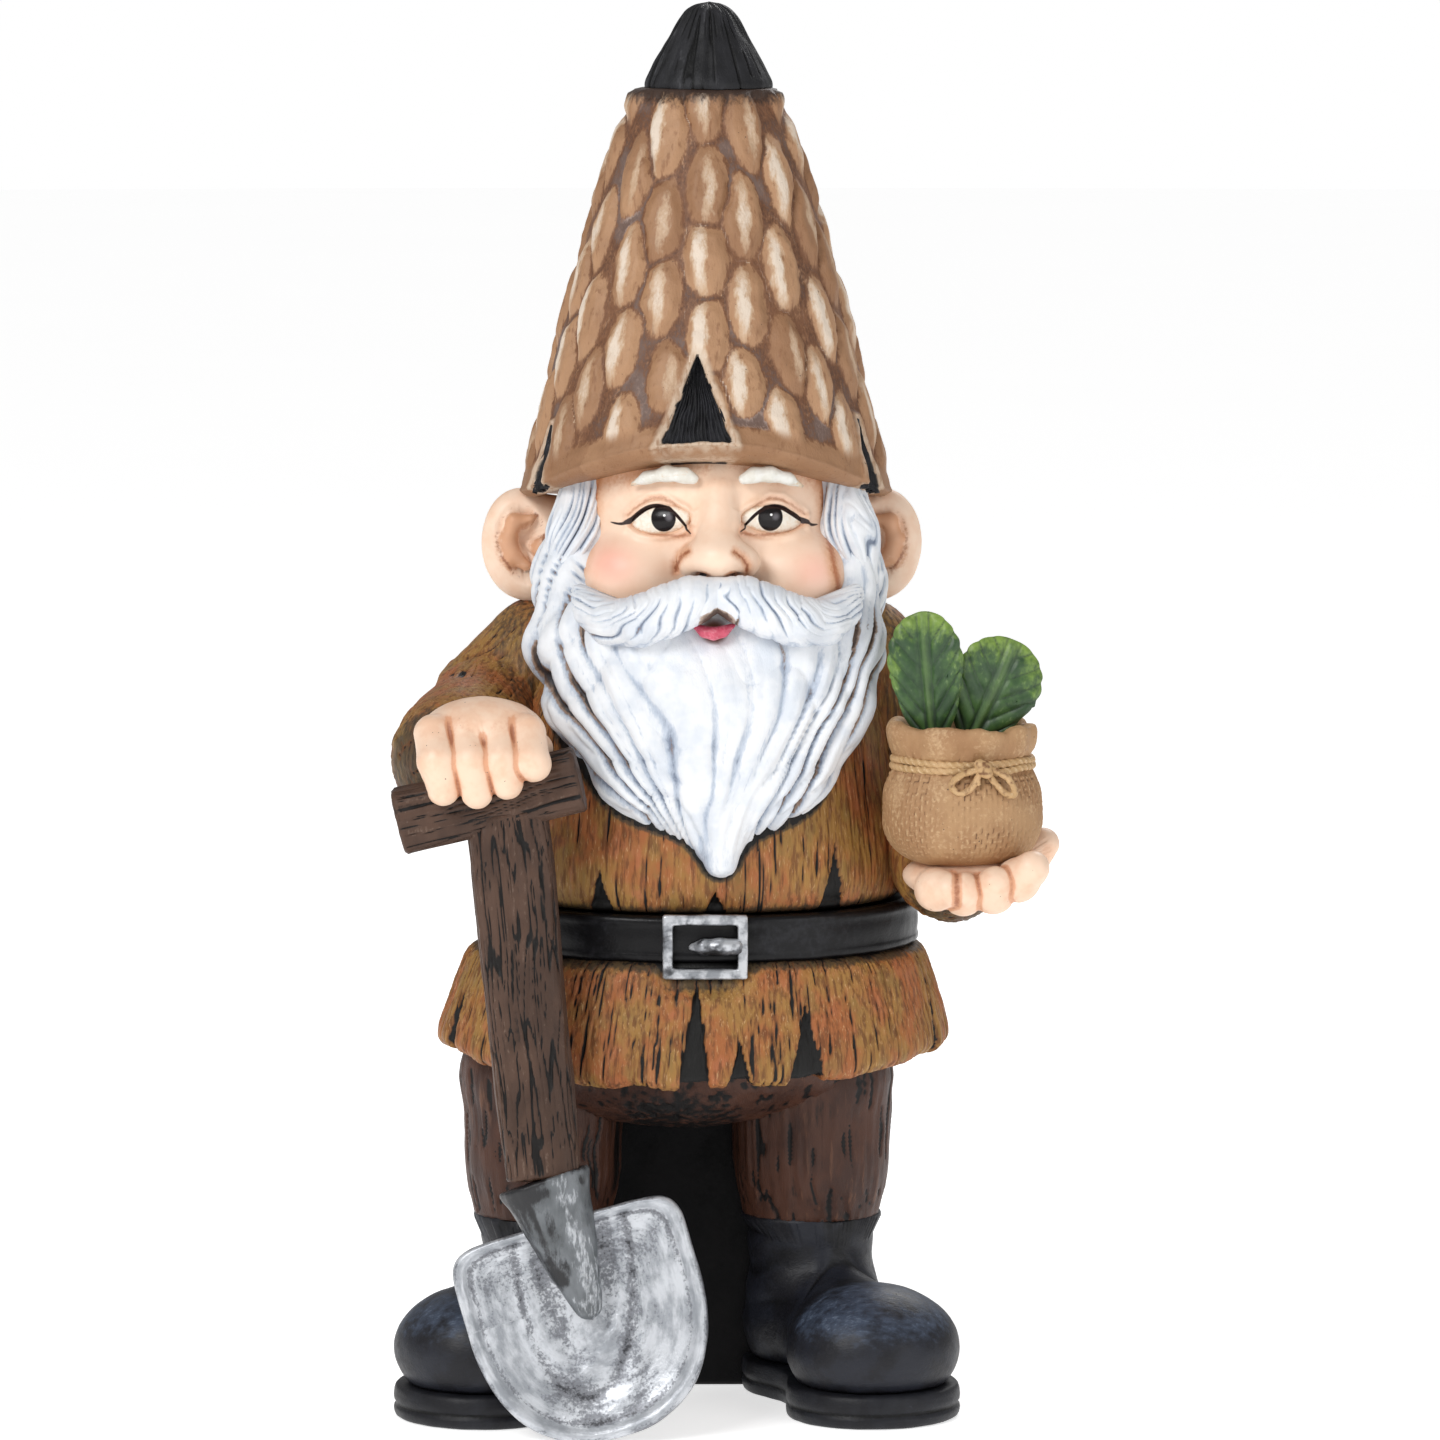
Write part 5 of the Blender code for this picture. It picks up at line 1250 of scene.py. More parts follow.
mark(skirt, "groove", groove)
# Painted shade on the skirt: black just under the belt and the buckle and on the skirt's underside, a
# little darker at the hem.
stain_and_shade = soft(spots[:, 2], BELT_BOTTOM - 5, BELT_BOTTOM + 0.5) * 1.0 + 0.3 * soft(spots[:, 2], HEM + 5, HEM)
mark(skirt, "stain_and_shade", stain_and_shade + 0.8 * under_buckle + 1.2 * (1 - outside) * soft(spots[:, 2], HEM + 6, HEM + 2))
show("bark_skirt", skirt, bark_coat, "tunic_ochre", "tunic_skirt")

# %% Chest
rise_of_chest = COLLAR - BELT_TOP
puff = [
    (WAIST_HALF - 12, 0.0), (WAIST_HALF - 6.5, 0.0), (CHEST_HALF, 0.035), (CHEST_HALF + 1.6, 0.12),
    (CHEST_HALF, 0.28), (CHEST_HALF - 3, 0.5), (CHEST_HALF - 5, 0.7), (COLLAR_HALF + 14, 0.86),
    (COLLAR_HALF + 3, 0.97), (COLLAR_HALF - 4, 1.0)
]
chest_line = rounded_line([(radius, BELT_TOP + 0.2 + share * rise_of_chest) for radius, share in puff], 2)
chest_line = [(0, BELT_TOP + 0.2), *evenly(chest_line, 1.4), (0, COLLAR)]
chest = turned(chest_line, 700)
spots = points_of(chest)
turn = round_from_front(spots)
across = turn * 65
CHEST_TEARS = [
    (45.5, 5.2, BELT_TOP - 1, 22), (-33, 4.4, BELT_TOP - 1, 15), (5, 4.0, BELT_TOP - 2, 9),
    (90, 5, BELT_TOP - 1, 18), (-88, 5, BELT_TOP - 1, 24), (140, 5, BELT_TOP - 1, 20),
    (-150, 5, BELT_TOP - 1, 26), (190, 4, BELT_TOP - 1, 16)
]
height, groove = bark(spots, across, spots[:, 2], BELT_TOP, COLLAR, 330, 111, CHEST_TEARS)
edge = soft(np.hypot(spots[:, 0], spots[:, 1]), COLLAR_HALF - 4, COLLAR_HALF)
raise_skin(chest, height * edge * soft(spots[:, 2], BELT_TOP, BELT_TOP + 2))
put_points(chest, points_of(chest) * (1, BODY_DEPTH, 1))
beard_gap = melted(points_of(chest), beard_form, 3)
mark(chest, "groove", groove)
# Painted shade on the chest: darker over the belt, under the collar and in the beard's shadow.
stain_and_shade = 0.95 * soft(spots[:, 2], BELT_TOP + 5, BELT_TOP) + 0.6 * soft(spots[:, 2], COLLAR - 14, COLLAR - 4)
mark(chest, "stain_and_shade", stain_and_shade + 1.15 * soft(-beard_gap, -3.2, -0.6))
show("bark_chest", chest, bark_coat, "tunic_ochre", "tunic_body")

# %% [markdown]
# A sleeve is cast from two rods, the upper arm and the forearm. Its scores follow the arm, so they are
# drawn out along the nearer rod, and creases run round it at the elbow.

# %% Sleeves
GRIP = np.array([-66.5, -62, BELT_TOP + 38])
SACK_FOOT = np.array([83.3, -45, BELT_TOP + 15.5])


def sleeve(side, elbow, wrist, cuff, seed):
    shoulder = np.array([side * (CHEST_HALF - 15), 5, COLLAR - 11])
    form = [rod(shoulder, elbow, 20, 19), rod(elbow, wrist, 19.5, cuff)]
    mesh = cast(form, elbow, 3, 7)
    spots = points_of(mesh)
    upper = gap_to(spots, form[0]) < gap_to(spots, form[1])
    along_upper, along_lower = elbow - shoulder, wrist - elbow

    def arm_grain(width, length, seed):
        return np.where(
            upper, *(grain(spots, way, width, length, seed) for way in (along_upper, along_lower))
        )

    scores, long = arm_grain(1.1, 12, seed), arm_grain(2.4, 19, seed + 1)
    cut = cracks(long, 0.13) * soft(cloud(spots / 9, seed + 2), -0.15, 0.25)
    bend = hump(np.linalg.norm(spots - elbow, axis=1), 21, 7)
    ripples = np.linalg.norm(spots - shoulder, axis=1) / 4.2 + 1.5 * cloud(spots / 12, seed + 3)
    creases = np.abs(np.sin(ripples))
    folds = 0.5 * rough(spots, 12, seed + 4) + 0.8 * bend * (creases - 0.6)
    raise_skin(mesh, folds + 0.3 * scores - 0.9 * cut)
    cuff_end = soft((spots - wrist) @ (along_lower / np.linalg.norm(along_lower)), 2, 12)
    mark(mesh, "groove", np.clip(0.3 - 0.35 * scores + cut + 0.25 * bend * (1 - creases), 0, 1.1))
    # Painted shade on the sleeve: darker at the cuff, beside the chest and where the beard hangs over it.
    near_chest = soft(-(np.hypot(spots[:, 0], spots[:, 1] / BODY_DEPTH) - CHEST_HALF), -4, 0)
    near_beard = soft(-melted(spots, beard_form, 3), -4, -0.5)
    mark(mesh, "stain_and_shade", 0.75 * cuff_end + 0.5 * near_chest + 0.8 * near_beard)
    return mesh


right_sleeve = sleeve(-1, GRIP + (0.5, 67, 21), GRIP + (-10, 28, 10.5), 22, 121)
left_sleeve = sleeve(1, SACK_FOOT + (-13, 54, 12), SACK_FOOT + (-3, 22, -3), 18.5, 131)
show("bark_sleeve_right", right_sleeve, bark_coat, "tunic_ochre", "sleeve_right")
show("bark_sleeve_left", left_sleeve, bark_coat, "tunic_ochre", "sleeve_left")

# %% [markdown]
# The belt is a turned band with softly rounded edges and a stitched-looking dent along both, painted satin
# black and rubbed grey where it bulges. The buckle is a bevelled frame: both faces of a plate are inset,
# and the two holes that are left are joined, which makes its window.

# %% Belt
belt_line = [
    (WAIST_HALF - 6, 0), (WAIST_HALF - 1.6, 0), (WAIST_HALF - 0.2, 0.06), (WAIST_HALF + 0.1, 0.16),
    (WAIST_HALF - 0.25, 0.24), (WAIST_HALF + 0.25, 0.5), (WAIST_HALF - 0.25, 0.76),
    (WAIST_HALF + 0.1, 0.84), (WAIST_HALF - 0.2, 0.94), (WAIST_HALF - 1.6, 1), (WAIST_HALF - 6, 1),
    (WAIST_HALF - 6, 0)
]
belt_width = BELT_TOP - BELT_BOTTOM
belt_line = [(radius, BELT_BOTTOM + share * belt_width) for radius, share in belt_line]
belt = turned(evenly(rounded_line(belt_line, 2), 0.9), 360)
spots = points_of(belt)
dents = rough(spots, 12, 141)
outer = soft(np.hypot(spots[:, 0], spots[:, 1]), WAIST_HALF - 3, WAIST_HALF - 1)
raise_skin(belt, (0.35 * dents + 0.12 * rough(spots, 3, 142)) * outer)
put_points(belt, points_of(belt) * (1, BODY_DEPTH, 1))
share = (spots[:, 2] - BELT_BOTTOM) / belt_width
mark(belt, "groove", np.clip(0.95 * soft(np.abs(share - 0.5), 0.40, 0.5) + 0.15 - 0.3 * dents, 0, 1))
belt_black = painted("belt_satin", (13, 12, 14), (18, 18, 20), (6, 6, 7), (58, 58, 63),
                     15, 2.2, (1, 1, 1), (0.5, 0.9), 0.25, (0.24, 0.4), 0.2, gloss=0.2)
show("satin_belt", belt, belt_black, "belt_black", "belt")

# %% Buckle and prong
BUCKLE = np.array([1.6, -WAIST_HALF * BODY_DEPTH - 1.0, (BELT_BOTTOM + BELT_TOP) / 2 - 1.8])


def block(width, depth, height, offset, cuts):
    """A block with rounded edges and a fine mesh."""
    bm = bmesh.new()
    bmesh.ops.create_cube(bm, size=1)
    bmesh.ops.scale(bm, vec=(width, depth, height), verts=bm.verts)
    bmesh.ops.bevel(
        bm, geom=bm.edges[:], offset=offset, segments=3, profile=0.5, affect="EDGES", material=-1
    )
    bmesh.ops.subdivide_edges(bm, edges=bm.edges[:], cuts=cuts, use_grid_fill=True)
    return bm


def buckle_frame():
    """A plate whose front and back are inset and joined through, which leaves a square window."""
    bm = bmesh.new()
    bmesh.ops.create_cube(bm, size=1)
    bmesh.ops.scale(bm, vec=(27, 4.5, 20.5), verts=bm.verts)
    faces = [face for face in bm.faces if abs(face.normal.y) > 0.9]
    for face in faces:
        bmesh.ops.inset_region(bm, faces=[face], thickness=4.6)
    rims = [edge for face in faces for edge in face.edges]
    bmesh.ops.delete(bm, geom=faces, context="FACES_ONLY")
    bmesh.ops.bridge_loops(bm, edges=rims)
    sharp = [edge for edge in bm.edges if edge.calc_face_angle(0) > 0.5]
    bmesh.ops.bevel(bm, geom=sharp, offset=0.9, segments=4, profile=0.5, affect="EDGES", material=-1)
    bmesh.ops.triangulate(bm, faces=bm.faces[:])
    for _ in range(3):
        long = [edge for edge in bm.edges if edge.calc_length() > 0.9]
        bmesh.ops.subdivide_edges(bm, edges=long, cuts=1, use_grid_fill=True)
        bmesh.ops.triangulate(bm, faces=bm.faces[:])
    return mesh_from(bm, "buckle")


buckle = buckle_frame()
spots = points_of(buckle)
wear_and_shade = rough(spots, 4, 151)
raise_skin(buckle, 0.22 * wear_and_shade)
mark(buckle, "groove", np.clip(0.35 - 0.5 * wear_and_shade + 0.8 * soft(spots[:, 1], -1.6, 0.2), 0, 1))
put_points(buckle, points_of(buckle) + BUCKLE)


def old_silver():
    finish = Finish("old_silver")
    groove = finish.mark("groove")
    patches, strokes = finish.noise(5, 3), finish.noise(0.9, 3, (2, 1, 1), 3.0)
    colour = finish.mix((196, 198, 202), (138, 141, 146), patches.soft(0.4, 0.6))
    black = groove + (patches - 0.5) * 1.3 + (strokes - 0.5) * 0.6
    colour = finish.mix(colour, (58, 58, 62), black.soft(0.42, 0.75) * 0.85)
    colour = finish.mix(colour, (22, 22, 24), black.soft(0.75, 1.0))
    finish.shader.inputs["Metallic"].default_value = 0.55
    return finish.done(colour, strokes * 0.25 + 0.22, strokes, 0.3, 0.3)


silver = old_silver()
show("silver_buckle", buckle, silver, "buckle_silver", "belt_buckle")

prong_form = chain(
    [(-4.5, -0.2, -0.2, 1.3), (-1, -1.5, 0.1, 2.1), (4, -1.8, 0.2, 2.4), (9, -1.0, 0.1, 2.6)]
)
prong = cast(prong_form, (2, -0.6, 0), 0.8, 5)
spots = points_of(prong)
mark(prong, "groove", np.clip(0.4 - 0.5 * rough(spots, 3, 153) + 0.5 * soft(-spots[:, 2], 0.2, 1.6), 0, 1))
put_points(prong, points_of(prong) + BUCKLE + (0.6, -0.3, 0))
show("silver_prong", prong, silver, "buckle_silver", "buckle_prong")

# %% [markdown]
# The trousers are two baggy legs and a seat, each its own closed shell in one mesh. The cloth is carved
# with wavy upright scores and folds that gather where the legs meet the seat.

# %% Trousers
STANCE, STANCE_MIDDLE, SPLAY = 43.5, -7.5, math.radians(25)


def trouser_shell(form, centre, seed):
    mesh = cast(form, centre, 3, 6)
    spots = points_of(mesh)
    scores = grain(spots, (0, 0, 1), 1.5, 16, seed)
    swayed = spots + 1.2 * cloud(spots / 9, seed + 9)[:, None] * (1, 1, 0)
    cut = soft(grain(swayed, (0, 0, 1), 1.3, 17, seed + 1), 0.36, 0.6)
    raise_skin(mesh, 0.35 * scores - 0.7 * cut + 0.7 * rough(spots, 13, seed + 2))
    # Painted shade between the legs under the seat, added to the groove mark.
    between = soft(26 - np.abs(spots[:, 0] - STANCE_MIDDLE), 0, 16) * soft(HEM - spots[:, 2], -2, 12)
    mark(mesh, "groove", np.clip(0.3 - 0.35 * scores + cut + 0.45 * between, 0, 1))
    return mesh


shells = []
for index, side in enumerate((-1, 1)):
    x = STANCE_MIDDLE + side * STANCE
    leg_form = chain([(x, 0, BOOT_TOP - 2, 21.6), (x, 0, BOOT_TOP + 14, 23.4), (x, 0, BOOT_TOP + 41, 27)])
    shells.append(trouser_shell(leg_form, (x, -6, BOOT_TOP + 22), 161 + 10 * index))
seat_form = [ball((STANCE_MIDDLE + 3, 0, HEM + 4), (65, 44, 25))]
shells.append(trouser_shell(seat_form, (STANCE_MIDDLE, -8, HEM + 2), 185))
trousers = joined(shells, "trousers_shells")
for shell in shells:
    bpy.data.meshes.remove(shell)
put_points(trousers, np.clip(points_of(trousers), (-200, -200, BOOT_TOP - 3), (200, 200, HEM + 12)))
trouser_brown = painted("trouser_brown_wool", (76, 46, 33), (60, 36, 27), (14, 10, 9), (122, 84, 62),
                        12, 1.4, (1, 1, 8), (0.45, 0.8), 0.55, (0.35, 0.6), 0.4, gloss=0.3)
show("brown_trousers", trousers, trouser_brown, "trouser_brown", "trousers")
# %% [markdown]
# # Boots
# The boots are short, with a round toe cap and a soft rim at the top. They are painted black and then
# dry-brushed in blue-grey, most of all on the toes. The sole is a slab with the boot's outline and a lip.

# %% Boot forms
def boot_place(side):
    return Matrix.Translation((STANCE_MIDDLE + side * STANCE, 0, 0)) @ Matrix.Rotation(side * SPLAY, 4, "Z")


def boot_form():
    wide, cuff, top, sole = 28, 21, BOOT_TOP, SOLE_TOP
    return [
        ball((0, -46, sole + 11), (wide, wide * 0.95, 20)),
        rod((0, -34, sole + 9), (0, -4, sole + 18), wide * 0.68, cuff * 0.86),
        ball((0, 3, sole + 10), (cuff * 0.93, cuff, 20)),
        rod((0, 0, sole + 16), (0, 0, top - 16), cuff * 0.93, cuff * 0.97),
        ball((0, 0, top - 4), (cuff * 1.07, cuff * 1.05, 4.6)),
    ]


def moved(spots, matrix):
    flat = np.array(matrix)
    return spots @ flat[:3, :3].T + flat[:3, 3]


def boot(side):
    mesh = cast(boot_form(), (0, -14, SOLE_TOP + 17), 2.5, 7)
    spots = points_of(mesh)
    x, y, z = spots.T
    seam = hump(np.hypot(x, (y + 46)), 24.5, 1.1) * soft(z, SOLE_TOP + 6, SOLE_TOP + 12) * soft(y, -30, -24)
    shaft = soft(y, -26, -16) * soft(z, SOLE_TOP + 12, SOLE_TOP + 22) * soft(z, BOOT_TOP - 8, BOOT_TOP - 14)
    folds = np.sin(z / 2.6 + 0.09 * y + 2.2 * cloud(spots / 14, 201 + side))
    rim = hump(z, BOOT_TOP - 8.5, 1.2)
    height = 0.35 * rough(spots, 12, 203 + side) + 0.07 * rough(spots, 2, 205)
    raise_skin(mesh, height - 0.55 * seam + 0.5 * shaft * (folds - 0.4) - 0.6 * rim)
    placed = np.clip(points_of(mesh), (-90, -90, SOLE_TOP + 0.1), (90, 90, BOOT_TOP))
    put_points(mesh, moved(placed, boot_place(side)))
    groove = (
        0.25 + 0.6 * seam + 0.35 * shaft * (0.4 - folds) + 0.6 * rim
        + 0.5 * soft(z, SOLE_TOP + 3, SOLE_TOP)
    )
    mark(mesh, "groove", np.clip(groove, 0, 1))
    mark(mesh, "toe", soft(-y, 22, 46) * soft(z, SOLE_TOP + 8, SOLE_TOP + 24))
    return mesh


def boot_paint():
    finish = Finish("boot_black_paint")
    groove, toe = finish.mark("groove"), finish.mark("toe")
    patches, strokes = finish.noise(13, 4), finish.noise(2.2, 4, (2, 1, 1), 3.0)
    fine = finish.noise(0.7, 3, (3, 1, 1), 6.0)
    colour = finish.mix((25, 25, 30), (33, 35, 43), patches.soft(0.4, 0.6))
    brushed = toe * 0.75 + (patches - 0.5) * 1.1 + (strokes - 0.5) * 1.0 - groove * 0.4
    colour = finish.mix(colour, (72, 83, 102), brushed.soft(0.3, 0.9) * 0.75)
    colour = finish.mix(colour, (124, 136, 154), (brushed + (fine - 0.5) * 1.4).soft(0.75, 1.2) * 0.45)
    colour = finish.mix(colour, (9, 9, 11), (groove + (strokes - 0.5) * 0.4).soft(0.5, 0.85) * 0.9)
    return finish.done(colour, strokes * 0.3 + 0.3, fine + strokes, 0.3, 0.4, gloss=0.3)


boot_black = boot_paint()
for side, name in SIDES:
    show(f"black_boot_{name}", boot(side), boot_black, "boot_black", f"boot_{name}")


def sole(side):
    """A disc drawn out to the boot's outline, raised to a slab and given a rounded lip and a groove."""
    line = [
        (0, 0.0), (0.5, 0.0), (0.97, 0.0), (1.0, 0.08), (1.012, 0.3), (0.985, 0.42), (1.012, 0.55),
        (1.0, 0.9), (0.97, 1.0), (0, 1.0)
    ]
    mesh = turned(evenly(rounded_line(line, 1), 0.06), 240)
    spots = points_of(mesh)
    angle = np.arctan2(spots[:, 1], spots[:, 0])
    out = points_from(np.cos(angle), np.sin(angle), 0)
    middle = np.array([0, -22, SOLE_TOP + 7.0])
    reach = np.full(len(angle), 90.0)
    for _ in range(60):
        reach -= 0.8 * melted(middle + out * reach[:, None], boot_form(), 3)
    placed = middle * (1, 1, 0) + out * ((reach + 0.4) * np.hypot(spots[:, 0], spots[:, 1]))[:, None]
    placed[:, 2] = spots[:, 2] * SOLE_TOP
    put_points(mesh, moved(placed, boot_place(side)))
    raise_skin(mesh, 0.12 * rough(points_of(mesh), 5, 211))
    mark(mesh, "groove", np.clip(0.3 + 0.7 * hump(spots[:, 2], 0.42, 0.06), 0, 1))
    return mesh


sole_black = painted("sole_black_paint", (25, 25, 29), (34, 35, 40), (8, 8, 9), (84, 88, 98),
                     12, 1.6, (2, 2, 1), (0.55, 0.9), 0.4, (0.35, 0.55), 0.3, gloss=0.25)
for side, name in SIDES:
    show(f"black_sole_{name}", sole(side), sole_black, "sole_black", f"sole_{name}")

# %% [markdown]
# Behind and between the boots the casting is a plain black mass that ties the legs together.

# %% The mass between the legs
web_low, web_high = (np.array(corner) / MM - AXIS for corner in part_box("leg_web"))
bm = block(*(web_high - web_low), 2.5, 10)
bmesh.ops.triangulate(bm, faces=bm.faces[:])
web = mesh_from(bm, "web")
put_points(web, points_of(web) + (web_low + web_high) / 2)
spots = points_of(web)
inner = soft(spots[:, 2], 0.5, 4)
raise_skin(web, inner * (0.8 * rough(spots, 14, 221) + 0.2 * rough(spots, 3, 222) - 0.6))
mark(web, "groove", 0.5 - 0.5 * rough(spots, 8, 223))
web_black = painted("web_black_paint", (12, 12, 13), (18, 17, 18), (6, 6, 6), (40, 38, 40),
                    10, 1.6, (1, 1, 1), (0.5, 0.9), 0.3, (0.45, 0.65), 0.3, gloss=0.12)
show("black_mass", web, web_black, "web_black", "leg_web")
# %% [markdown]
# # The spade
# The grip and the shaft are hewn timber: nearly square in section, with rounded corners, and carved with
# long wavy grain. Each is turned as a round bar and then squared off by drawing its points outwards,
# which keeps an even mesh for the grain.

# %% Hewn bars
def along(start, end):
    """The placement of a bar that stands on the Z axis, to run from one point to another."""
    start, end = Vector(start), Vector(end)
    up = (end - start).normalized()
    side = (Vector((1, 0, 0)) - up * up.x).normalized()
    if abs(up.x) > 0.9:
        side = (Vector((0, 0, 1)) - up * up.z).normalized()
    turn = Matrix((side, up.cross(side), up)).transposed().to_4x4()
    return Matrix.Translation(start) @ turn


def hewn(start, end, widths, depth, square, seed, segments=220):
    """A squared bar with grain along it; widths are given from its foot to its head."""
    length = (Vector(end) - Vector(start)).length
    bevel = 1.44    # height over which the ends round in
    profile = [(0, 0), (9, 0), (10, bevel), (10, length - bevel), (9, length), (0, length)]
    mesh = turned(evenly(rounded_line(profile, 1), 1.0), segments)
    spots = points_of(mesh)
    angle = np.arctan2(spots[:, 1], spots[:, 0])
    share = spots[:, 2] / length
    out = (np.abs(np.cos(angle)) ** square + np.abs(np.sin(angle)) ** square) ** (-1 / square)
    half = np.interp(share, np.linspace(0, 1, len(widths)), widths) / 2
    ratio = depth / max(widths)
    placed = spots * points_from(out * half / 10, out * half / 10 * ratio, 1)
    put_points(mesh, placed)
    wave = placed + points_from(
        2.2 * cloud(placed / (30, 30, 26), seed), 1.5 * cloud(placed / (30, 30, 30), seed + 1), 0
    )
    scores = grain(wave, (0, 0, 1), 0.9, 24, seed + 2)
    lines = np.maximum(
        cracks(grain(wave, (0, 0, 1), 2.6, 46, seed + 3), 0.11),
        0.8 * cracks(grain(wave, (0, 0, 1), 1.4, 30, seed + 6), 0.09)
    )
    side = soft(share * length, 0.4, 2.5) * soft((1 - share) * length, 0.4, 2.5)
    ends = np.abs(np.sin(np.hypot(placed[:, 0], placed[:, 1]) * 1.5 + cloud(placed / 6, seed + 5)))
    height = side * (0.28 * scores - 0.85 * lines) + (1 - side) * 0.3 * ends
    raise_skin(mesh, height + 0.4 * rough(placed, 15, seed + 4) - 0.1)
    put_points(mesh, moved(points_of(mesh), along(start, end)))
    groove = 0.3 - 0.35 * scores * side + lines * side + (1 - side) * 0.4 * (1 - ends)
    mark(mesh, "groove", np.clip(groove, 0, 1))
    return mesh


def timber_paint():
    finish = Finish("hewn_timber")
    groove = finish.mark("groove")
    patches, fine = finish.noise(16, 3, (1, 1, 2)), finish.noise(1.0, 4, (1, 1, 2), 3.0)
    colour = finish.mix((66, 47, 37), (82, 60, 48), patches.soft(0.4, 0.6))
    high = (1 - groove) + (fine - 0.5) * 1.3 + (patches - 0.5) * 0.8
    colour = finish.mix(colour, (126, 106, 92), high.soft(0.85, 1.3) * 0.6)
    colour = finish.mix(colour, (15, 11, 9), (groove + (fine - 0.5) * 0.5).soft(0.45, 0.8))
    return finish.done(colour, fine * 0.3 + 0.38, fine, 0.35, 0.4, gloss=0.3)


# %% Where the spade stands
BLADE_HALF, BLADE_SHOULDER, BLADE_NOSE, BLADE_THICKNESS = 38, 26, 45, 9
SPADE_TOE = (-37, -78)


def blade_reach(angle):
    """How far the blade's edge is from its middle: square at the shoulders, round at the nose."""
    across, up = np.cos(angle), np.sin(angle)
    length, power = np.where(up > 0, BLADE_SHOULDER, BLADE_NOSE), np.where(up > 0, 7, 2.3)
    return (np.abs(across / BLADE_HALF) ** power + np.abs(up / length) ** power) ** (-1 / power)


lean = Matrix.Rotation(-math.radians(16.5), 4, "Y") @ Matrix.Rotation(-math.radians(9), 4, "X")
angles = np.linspace(0, math.tau, 721)
edge_line = points_from(
    blade_reach(angles) * np.cos(angles), 0 * angles - BLADE_THICKNESS / 2,
    blade_reach(angles) * np.sin(angles)
)
lowest = moved(edge_line, lean)[:, 2].min()
blade_place = Matrix.Translation((*SPADE_TOE, -lowest + 0.2)) @ lean
socket_foot = blade_place @ Vector((1, -3, -2))
socket_head = blade_place @ Vector((-1, -4.5, BLADE_SHOULDER + 14))
print("blade's middle:", [round(part, 1) for part in blade_place.translation])

# %% Grip and shaft
timber = timber_paint()
grip_lean = Vector((math.cos(math.radians(13.5)), 0, math.sin(math.radians(13.5))))
grip_start, grip_end = Vector(GRIP) - grip_lean * 29.5, Vector(GRIP) + grip_lean * 29.5
grip = hewn(grip_start, grip_end, (21.2, 20.4, 20.8), 20.8, 3.6, 231, 200)
show("timber_grip", grip, timber, "spade_wood", "spade_grip")
shaft_top = Vector(GRIP + (5.5, 0, -4))
shaft = hewn(socket_head, shaft_top, (24.5, 25.5, 27), 20, 3.2, 241, 220)
show("timber_shaft", shaft, timber, "spade_wood", "spade_shaft")

# %% [markdown]
# The blade is a thick dished plate with a rolled rim. It is turned as a round blank, drawn out to the
# outline and pressed hollow towards the front. The socket's round nose runs down into the dish. Both are
# painted black, then silver over it with a coarse brush that followed the dish round.

# %% Blade
blank = [
    (0, -1), (0.5, -1), (0.86, -1), (0.90, -1.02), (0.95, -1.1), (0.985, -0.9), (1.0, -0.45), (1.0, 0.3),
    (0.985, 0.8), (0.94, 1.0), (0.6, 1), (0, 1)
]
blade = turned(evenly(rounded_line(blank, 1), 0.045), 360)
spots = points_of(blade)
angle = np.arctan2(spots[:, 1], spots[:, 0])
radius = np.hypot(spots[:, 0], spots[:, 1])
reach = blade_reach(angle)
front_face = soft(-spots[:, 2], 0.2, 0.9)
plate = soft(radius, 0.94, 0.86)
x, z = reach * spots[:, 0], reach * spots[:, 1]
middle_ridge = hump(x, 0, 5 + 0.1 * np.abs(z)) * soft(z, -30, -4)
dish = 6.2 * (1 - np.clip(radius, 0, 1) ** 2)
folded = np.hypot((x - 0.14 * (z - 10)) / 15, (z - 12) / 34)
folds = hump(folded, 1.0, 0.11) - 0.8 * hump(folded, 1.24, 0.09)
folds += 0.5 * hump(folded, 1.5, 0.12)
y = spots[:, 2] * BLADE_THICKNESS / 2 + dish + front_face * plate * (1.4 - 2.2 * middle_ridge - 0.9 * folds)
put_points(blade, points_from(x, y, z))
brushed = cloud(points_from(radius * 19.8, angle * 1.6, 0), 251)
raise_skin(blade, 0.18 * brushed * plate + 0.25 * rough(points_of(blade), 9, 252))
put_points(blade, moved(points_of(blade), blade_place))
shadow = soft(-z, -26, -8) * hump(x, -9, 9) + soft(-z, -25, -12) * hump(x, 10, 8) * 0.8
hollow = plate * front_face
# A thin painted highlight along the front edge of the rim.
mark(blade, "rim", front_face * hump(radius, 0.925, 0.03))
mark(blade, "sweep", radius)
mark(blade, "around", angle)
# Painted shade on the blade's front: dark low down either side of the middle ridge and towards the socket,
# lighter on the ridge, with dark lines inside the rim and in the folds; darker on its sides and back.
wear_and_shade = 0.16 + 0.40 * shadow + 0.26 * soft(z, -12, 24) - 0.25 * middle_ridge
wear_and_shade += 0.40 * hump(radius, 0.875, 0.022)
wear_and_shade += 0.38 * hump(folded, 1.24, 0.07) - 0.2 * hump(folded, 1.0, 0.12)
wear_and_shade = hollow * wear_and_shade + (1 - front_face) * 0.72 + 0.4 * front_face * soft(radius, 0.935, 0.965)
mark(blade, "groove", np.clip(wear_and_shade, 0, 1))


